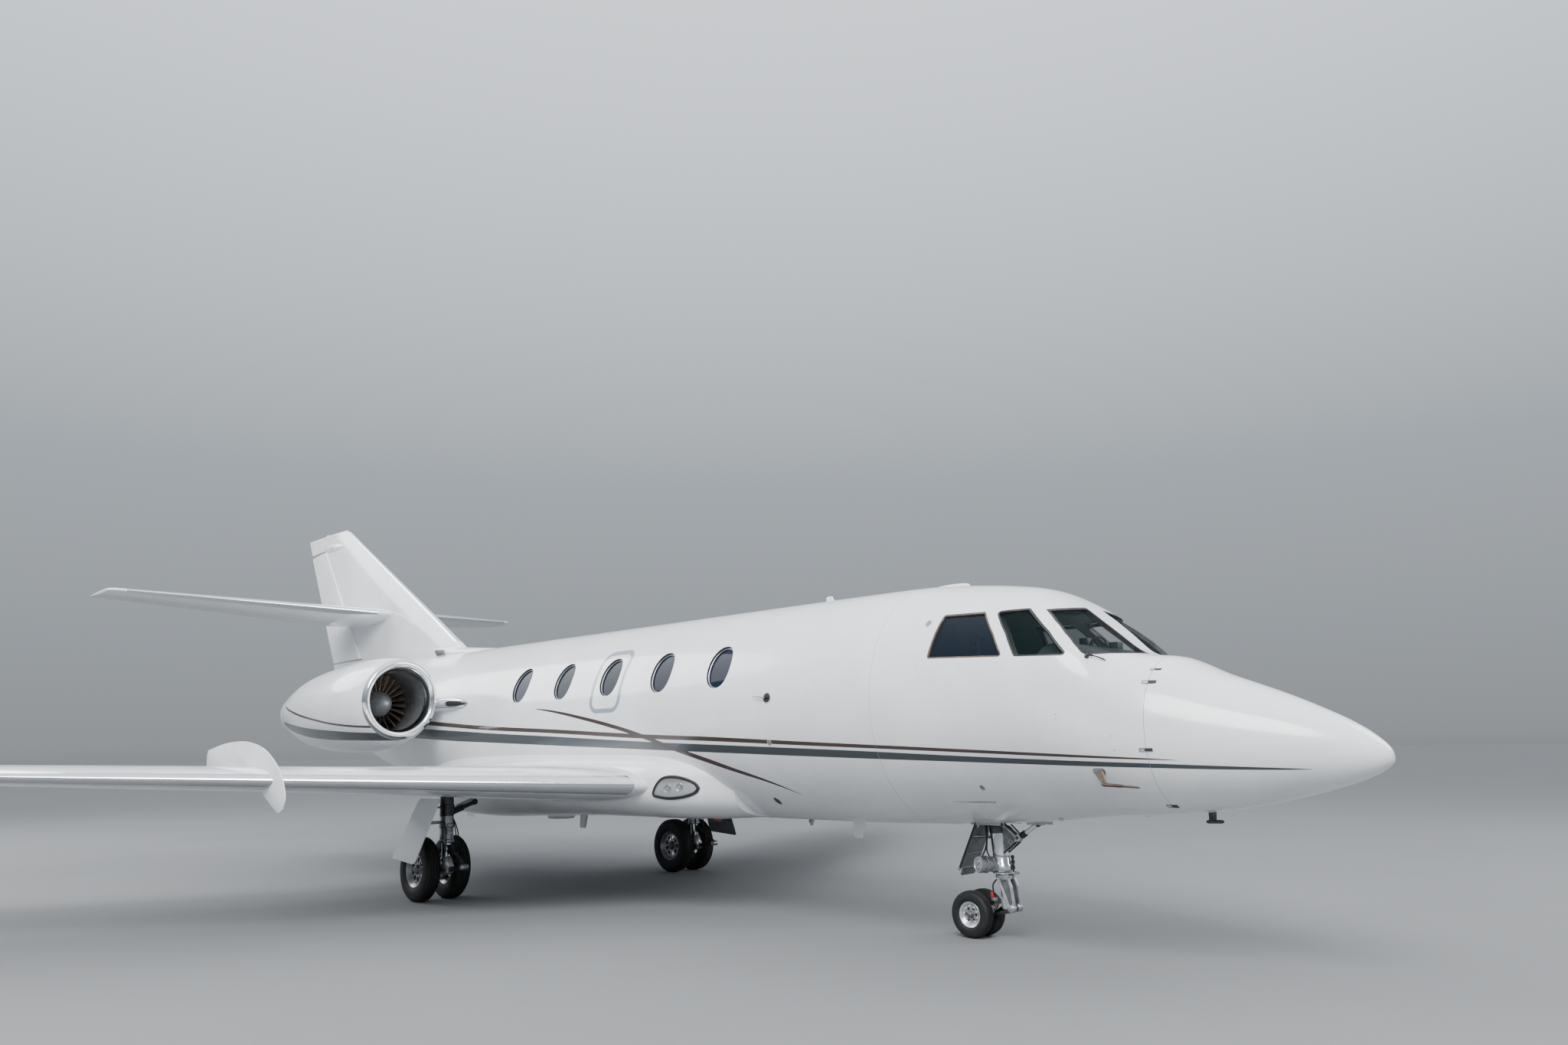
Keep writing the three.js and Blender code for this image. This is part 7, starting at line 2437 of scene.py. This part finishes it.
def cushion(name, low, high, crown, look="hide"):
    """Upholstered pad: a rounded form blown up as cloth, so that its sides pull in between its corners."""
    low, high = np.minimum(low, high), np.maximum(low, high)
    size, centre = high - low, (low + high) / 2
    thin = int(np.argmin(size))
    wide = [k for k in range(3) if k != thin]
    count = 40
    outline = oval(0, 0, 2, 2, count, 0.42)
    rings = []
    for share, level in ((0.02, 1.0), (0.45, 1.0), (0.80, 0.96), (0.93, 0.80), (1.0, 0.42), (1.0, -0.42),
                         (0.93, -0.80), (0.80, -0.96), (0.45, -1.0), (0.02, -1.0)):
        points = np.zeros((count, 3))
        points[:, wide[0]] = outline[:, 0] * share * size[wide[0]] / 2
        points[:, wide[1]] = outline[:, 1] * share * size[wide[1]] / 2
        points[:, thin] = level * size[thin] / 2
        rings.append(points + centre)
    obj = raw_object(name, [loft(rings)])
    obj.data.materials.append(LOOK[look])
    blow_up(obj, crown)
    obj.data.shade_smooth()
    return obj


def apply_modifiers(obj):
    graph = bpy.context.evaluated_depsgraph_get()
    mesh = bpy.data.meshes.new_from_object(obj.evaluated_get(graph))
    obj.modifiers.clear()
    obj.data = mesh


CLOTH_FRAMES = 20
CLOTH_PRESSURE = 4.0
CUSHION_VOXEL = 0.006
CUSHION_SHARE_KEPT = 0.17


def blow_up(obj, cap):
    """Cloth under pressure, held to a cap on how far a point may move, then subdivided and thinned."""
    remesh = obj.modifiers.new("remesh", "REMESH")
    remesh.mode = "VOXEL"
    remesh.voxel_size = CUSHION_VOXEL
    remesh.use_smooth_shade = True
    apply_modifiers(obj)
    rest = np.array([v.co[:] for v in obj.data.vertices])
    cloth = obj.modifiers.new("cloth", "CLOTH")
    cloth.settings.use_pressure = True
    cloth.settings.uniform_pressure_force = CLOTH_PRESSURE
    cloth.settings.effector_weights.gravity = 0.0
    cloth.settings.quality = 6
    scene = bpy.context.scene
    for frame_number in range(1, CLOTH_FRAMES + 1):
        scene.frame_set(frame_number)
    apply_modifiers(obj)
    moved = np.array([v.co[:] for v in obj.data.vertices])
    step = moved - rest
    length = np.linalg.norm(step, axis=1)
    step *= (np.minimum(length, cap) / np.maximum(length, 1e-9))[:, None]
    obj.data.vertices.foreach_set("co", (rest + step).astype(np.float32).reshape(-1))
    obj.data.update()
    smooth = obj.modifiers.new("smooth", "SUBSURF")
    smooth.levels = smooth.render_levels = 1
    thinned = obj.modifiers.new("thinned", "DECIMATE")
    thinned.ratio = CUSHION_SHARE_KEPT
    apply_modifiers(obj)
    scene.frame_set(1)


def lean_back(obj, foot, degrees):
    """Tips a pad about a line across the seat through a foot point."""
    move = Matrix.Translation(Vector(foot)) @ Matrix.Rotation(math.radians(degrees), 4,
                                                              "Y") @ Matrix.Translation(-Vector(foot))
    obj.data.transform(move)


SEAT_Y = 0.42


def build_seats():
    """Two pilot seats: pads, shells, arm rests and floor columns."""
    foot = at(3.02, 0, 1.46)
    pads = [("seat_pan_pad", at(2.64, SEAT_Y - 0.215, 1.375), at(3.06, SEAT_Y + 0.215, 1.465), 0.016,
             "fleece", 0), ("seat_back_pad", at(2.985, SEAT_Y - 0.20, 1.475), at(3.075, SEAT_Y + 0.20, 2.06),
                            0.016, "fleece", -8), ("seat_head_pad", at(2.99, SEAT_Y - 0.125, 2.09),
                                                   at(3.065, SEAT_Y + 0.125, 2.27), 0.012, "hide", -8)]
    for name, low, high, cap, look, lean in pads:
        pad = cushion(f"{name}_port", low, high, cap, look=look)
        if lean:
            lean_back(pad, foot, lean)
        twin = bpy.data.objects.new(f"{name}_stbd", pad.data.copy())
        bpy.context.scene.collection.objects.link(twin)
        twin.data.transform(Matrix.Translation((0, -2 * SEAT_Y, 0)))
        for obj in (pad, twin):
            obj.data.name = obj.name
            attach(obj, "airframe")
    looks = ["black", "steel", "hide"]
    tilt = Matrix.Translation(Vector(foot)) @ Matrix.Rotation(math.radians(-8), 4,
                                                              "Y") @ Matrix.Translation(-Vector(foot))
    for tag, side in SIDES.items():
        y = side * SEAT_Y
        shell = rectangle(-0.205, 0.205, 1.44, 2.09, 0.05)
        back = slab(np.stack([shell[:, 0] + y, shell[:, 1]], axis=1), at(3.095, 0, 0), (0, 1, 0),
                    (0, 0, 1), 0.020, 0.006, 0)
        parts = [turned(back, tilt), block(at(2.63, y - 0.21, 1.345), at(3.09, y + 0.21, 1.372), 0.008, 0)]
        for off in (-0.06, 0.06):
            post = bar(at(3.075, y + off, 2.04), at(3.055, y + off, 2.13), 0.007, 14, 1)
            parts.append(turned(post, tilt))
        for off in (-0.235, 0.235):
            parts += [
                block(at(2.70, y + off - 0.022, 1.640), at(3.03, y + off + 0.022, 1.675), 0.012, 2),
                bar(at(3.02, y + off, 1.40), at(3.02, y + off, 1.65), 0.011, 16, 1),
            ]
        parts.append(block(at(2.72, side * 0.235, 1.085), at(2.97, side * 0.345, 1.350), 0.01, 0))
        for off in (-0.14, 0.16):
            parts.append(block(at(2.60, y + off * side - 0.014, 1.082),
                               at(3.12, y + off * side + 0.014, 1.100), 0.003, 1))
        for s in (2.70, 2.98):
            parts.append(rod(at(s, y, 1.090), at(s, y, 1.350), [(0, 0.018), (1, 0.014)], 20, 1))
        piece(f"seat_frame_{tag}", parts, looks,
              replaces=[f"pilot_seat_{tag}"], sharp=35)


# Wheels

def tyre_parts(centre, radius, width, bead, grooves, count=96):
    """Tyre about a line along Y, with rounded shoulders and tread grooves."""
    half = width / 2
    wall = [(bead, half * 0.60), (bead + 0.012, half * 0.80), (bead + (radius - bead) * 0.32, half * 0.985),
            (bead + (radius - bead) * 0.55, half), (bead + (radius - bead) * 0.78, half * 0.93),
            (radius - (radius - bead) * 0.09, half * 0.76), (radius - 0.004, half * 0.62)]
    side = spline(np.array(wall), 6)
    profile, looks = [tuple(p) for p in side], [0] * (len(side) - 1)
    depth, gap = 0.007, 0.0035
    for place in grooves:
        y = place * half
        edge = radius - 0.0045 * (y / (half * 0.62)) ** 2
        profile += [(edge, y + gap), (edge - depth, y + gap * 0.7),
                    (edge - depth, y - gap * 0.7), (edge, y - gap)]
        looks += [0, 1, 1, 1]
    profile += [(r, -y) for r, y in side[::-1]]
    looks += [0] * len(side)
    inner = [(bead - 0.012, -half * 0.55), (bead - 0.012, half * 0.55)]
    profile += inner
    looks += [0, 0, 0]
    return lathe(profile, centre, (0, 1, 0), count, closed=True, looks=looks[:len(profile)])


def wheel_rim(centre, outward, bead, width, holes, flange=0, look=1, hub_look=2):
    """Alloy wheel: flanged barrel, dished disc with round holes, hub and bolts. It faces outward."""
    axis = (0, outward, 0)
    half = width / 2
    barrel = [(bead + 0.010, half * 0.92), (bead + 0.014, half * 0.84), (bead + 0.010, half * 0.74),
              (bead - 0.004, half * 0.62), (bead - 0.016, half * 0.42), (bead - 0.016, -half * 0.5),
              (bead + 0.004, -half * 0.7), (bead + 0.012, -half * 0.86), (bead + 0.004, -half * 0.9),
              (bead - 0.014, -half * 0.7), (bead - 0.026, -half * 0.5), (bead - 0.026, half * 0.36),
              (bead - 0.012, half * 0.60), (bead, half * 0.80)]
    parts = [lathe(barrel, centre, axis, 72, flange, closed=True)]
    disc_r = bead - 0.022
    face = half * 0.30
    parts.append(disc_with_holes(centre, axis, disc_r, bead * 0.30, face, 0.012, holes, look))
    hub = [(0.0, -half * 0.2), (bead * 0.33, -half * 0.2), (bead * 0.34, face + 0.004),
           (bead * 0.27, face + 0.02), (bead * 0.24, face + 0.034), (bead * 0.13, face + 0.042),
           (0.0, face + 0.043)]
    parts.append(lathe(hub, centre, axis, 48, hub_look))
    for k in range(9):
        angle = 2 * math.pi * (k + 0.5) / 9
        spoke = np.array([math.cos(angle), 0.0, math.sin(angle)])
        place = np.asarray(centre) + spoke * disc_r * 0.93 + np.array([0, outward * (face + 0.006), 0])
        parts.append(lathe([(0.0, -0.004), (0.0085, -0.004), (0.0085, 0.005), (0.0045, 0.007),
                            (0.0045, 0.011), (0, 0.011)], place, axis, 6, flange))
    return parts


def disc_with_holes(centre, axis, outer, inner, along, thick, holes, look):
    """Flat ring pierced by round holes, built as sectors that each wrap half of two holes."""
    axis = np.asarray(axis, float)
    middle = (outer + inner) / 2
    hole = (outer - inner) * 0.30
    faces, points = [], []
    per = 16
    for k in range(holes):
        base = 2 * math.pi * k / holes
        spread = math.pi / holes
        loop = []
        for i in range(per):
            turn = 2 * math.pi * i / per
            loop.append((middle + hole * math.cos(turn), base + hole * math.sin(turn) / middle))
        frame_loop = []
        for i in range(per):
            turn = 2 * math.pi * i / per
            c, s = math.cos(turn), math.sin(turn)
            grow = 1 / max(abs(c), abs(s))
            frame_loop.append((middle + (outer - inner) / 2 * c * grow, base + spread * s * grow))
        start = len(points)
        for level in (along - thick / 2, along + thick / 2):
            for r, t in loop + frame_loop:
                points.append(np.asarray(centre) + axis * level + r * np.array([math.cos(t), 0, math.sin(t)]))
        n = 2 * per
        for i in range(per):
            j = (i + 1) % per
            faces.append([start + i, start + j, start + per + j, start + per + i])
            faces.append([start + n + i, start + n + per + i, start + n + per + j, start + n + j])
            faces.append([start + i, start + n + i, start + n + j, start + j])
    return np.array(points), faces, [look] * len(faces)


def build_main_wheels(tag, side):
    """Tyres and rims of one main leg on one axle."""
    body = f"main_wheels_{tag}_body"
    for place, sign in (("in", -1), ("out", 1)):
        y = side * (MAIN_Y + sign * MAIN_TYRE_Y)
        centre = at(MAIN_S, y, MAIN_R)
        piece(f"main_tyre_{place}_skin_{tag}", [tyre_parts(centre, MAIN_R, 0.168, 0.165,
                                                           (0.55, 0.2, -0.2, -0.55))], ["tyre", "groove"],
              body, [f"main_tyre_{place}_{tag}"], sharp=40)
    parts = []
    for sign in (-1, 1):
        y = side * (MAIN_Y + sign * MAIN_TYRE_Y)
        parts += wheel_rim(at(MAIN_S, y, MAIN_R), side * sign, 0.165, 0.150, 9)
    reach = MAIN_TYRE_Y + 0.02
    parts.append(bar(at(MAIN_S, side * (MAIN_Y - reach), MAIN_R), at(MAIN_S, side * (MAIN_Y + reach), MAIN_R),
                     0.0345, 40, 2))
    piece(f"main_wheel_rims_{tag}", parts, ["rim", "rim", "hub"], body,
          [f"main_wheels_{tag}"], sharp=35)


def build_nose_wheels():
    """Nose tyres and rims on one axle."""
    for tag, side in SIDES.items():
        centre = at(NOSE_S, side * NOSE_TYRE_Y, NOSE_R)
        piece(f"nose_tyre_skin_{tag}", [tyre_parts(centre, NOSE_R, NOSE_TYRE_W, 0.088, (0.45, 0.0, -0.45))],
              ["tyre", "groove"], "nose_wheels_body", [f"nose_tyre_{tag}"], sharp=40)
    parts = []
    for side in SIDES.values():
        parts += wheel_rim(at(NOSE_S, side * NOSE_TYRE_Y, NOSE_R), side, 0.088, 0.092, 6)
    parts.append(bar(at(NOSE_S, -NOSE_TYRE_Y, NOSE_R), at(NOSE_S, NOSE_TYRE_Y, NOSE_R), 0.0245, 32, 2))
    piece("nose_wheel_rims", parts, ["rim_flange", "rim", "hub"], "nose_wheels_body",
          ["nose_wheels"], sharp=35)


# Camera, light and ground

CAMERA_PLACE = (10.6339, -7.6340, 1.4953)
CAMERA_YAW = 133.9712
CAMERA_PITCH = 12.0560
CAMERA_ROLL = -0.8124
CAMERA_LENS = 24.470
CAMERA_SENSOR = 36.0
VIEW_LIMIT = 500.0
FLOOR_HALF = 450.0

# Large lamps: name, place, target, size, power.
LAMPS = [
    ("key", (14, -16, 18), (0, 0, 1.5), 14.0, 8200.0),
    ("fill", (16, 12, 12), (0, 0, 1.5), 12.0, 2000.0),
    ("rim", (-16, -8, 12), (-4, 0, 2.0), 12.0, 2200.0),
]
# Sky from the horizon up: place on the ramp, colour.
SKY = [(0.48, (0.16, 0.17, 0.18)), (0.505, (0.26, 0.28, 0.30)), (0.62, (0.38, 0.42, 0.46)),
       (0.80, (0.95, 1.02, 1.10)), (1.0, (1.50, 1.55, 1.60))]
SKY_STRENGTH = 1.15


def build_camera():
    """Camera at the place and angle that the photograph was taken from."""
    yaw, pitch, roll = (math.radians(v) for v in (CAMERA_YAW, CAMERA_PITCH, CAMERA_ROLL))
    ahead = Vector((math.cos(pitch) * math.cos(yaw), math.cos(pitch) * math.sin(yaw), math.sin(pitch)))
    level = Vector((math.sin(yaw), -math.cos(yaw), 0))
    upright = level.cross(ahead)
    right = math.cos(roll) * level + math.sin(roll) * upright
    up = -math.sin(roll) * level + math.cos(roll) * upright
    data = bpy.data.cameras.new("camera")
    data.lens = CAMERA_LENS
    data.sensor_width = CAMERA_SENSOR
    data.clip_end = VIEW_LIMIT
    camera = bpy.data.objects.new("camera", data)
    camera.matrix_world = Matrix((
        (right.x, up.x, -ahead.x, CAMERA_PLACE[0]),
        (right.y, up.y, -ahead.y, CAMERA_PLACE[1]),
        (right.z, up.z, -ahead.z, CAMERA_PLACE[2]),
        (0, 0, 0, 1)))
    bpy.context.scene.collection.objects.link(camera)
    bpy.context.scene.camera = camera


def build_light():
    """Soft sky and three large lamps."""
    world = bpy.data.worlds.new("soft_sky")
    world.use_nodes = True
    tree = world.node_tree
    tree.nodes.clear()
    coords = tree.nodes.new("ShaderNodeTexCoord")
    split = tree.nodes.new("ShaderNodeSeparateXYZ")
    ramp = tree.nodes.new("ShaderNodeValToRGB")
    background = tree.nodes.new("ShaderNodeBackground")
    output = tree.nodes.new("ShaderNodeOutputWorld")
    tree.links.new(coords.outputs["Generated"], split.inputs[0])
    scaled = tree.nodes.new("ShaderNodeMath")
    scaled.operation = "MULTIPLY_ADD"
    scaled.inputs[1].default_value = 0.5
    scaled.inputs[2].default_value = 0.5
    tree.links.new(split.outputs[2], scaled.inputs[0])
    tree.links.new(scaled.outputs[0], ramp.inputs[0])
    while len(ramp.color_ramp.elements) < len(SKY):
        ramp.color_ramp.elements.new(0.5)
    for element, (place, colour) in zip(ramp.color_ramp.elements, SKY):
        element.position = place
        element.color = (*colour, 1.0)
    tree.links.new(ramp.outputs[0], background.inputs[0])
    background.inputs[1].default_value = SKY_STRENGTH
    tree.links.new(background.outputs[0], output.inputs[0])
    bpy.context.scene.world = world
    for name, place, target, size, power in LAMPS:
        data = bpy.data.lights.new(name, "AREA")
        data.shape = "DISK"
        data.size = size
        data.energy = power
        lamp = bpy.data.objects.new(name, data)
        lamp.location = place
        lamp.rotation_euler = (Vector(target) - Vector(place)).to_track_quat("-Z", "Y").to_euler()
        bpy.context.scene.collection.objects.link(lamp)


def build_ground():
    """Pale floor."""
    shader = Shader("pale_floor")
    cloud = shader.noise(0.35, 5.0, 0.6)
    fine = shader.noise(60.0, 3.0)
    shader.set(Base_Color=shader.mix(cloud, (0.17, 0.175, 0.18), (0.20, 0.205, 0.21)), Roughness=0.85,
               Normal=shader.bump(fine, 0.001, 0.2))
    half = FLOOR_HALF
    mesh = bpy.data.meshes.new("floor")
    mesh.from_pydata([(-half, -half, 0), (half, -half, 0), (half, half, 0), (-half, half, 0)],
                     [], [(0, 1, 2, 3)])
    mesh.materials.append(shader.material)
    floor = bpy.data.objects.new("floor", mesh)
    bpy.context.scene.collection.objects.link(floor)


def repaint(node, look):
    """Gives a carried construction node its finish."""
    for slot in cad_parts[node].material_slots:
        slot.material = LOOK[look]


def build_all():
    """Every piece, in the order that the scene keeps."""
    build_camera()
    build_light()
    build_ground()
    build_radome()
    build_cockpit_shell()
    build_cockpit_glazing()
    build_cabin_shell()
    build_cabin_windows()
    build_exit_hatch()
    build_door()
    build_tail_cone()
    build_fairing()
    build_fin()
    build_rudder()
    build_tailplane()
    for tag, side in SIDES.items():
        build_wing(tag, side)
        build_trailing_surfaces(tag, side)
        build_elevator(tag, side)
        build_nacelle(tag, side)
        build_pylon(tag, side)
        build_fan(tag, side)
        build_engine_core(tag, side)
        build_main_wheels(tag, side)
        build_main_leg(tag, side)
        build_leg_door(tag, side)
        build_fence(tag, side)
        build_wing_fittings(tag, side)
        build_body_fittings(tag, side)
    build_nose_wheels()
    build_nose_bay()
    build_nose_strut()
    build_nose_fork()
    build_nose_door()
    build_top_fittings()
    build_belly_fittings()
    build_tail_fittings()
    build_flight_deck()
    build_seats()
    repaint("cabin_floor", "carpet")
    repaint("cockpit_bulkhead", "veneer")
    repaint("rear_bulkhead", "veneer")


build_all()
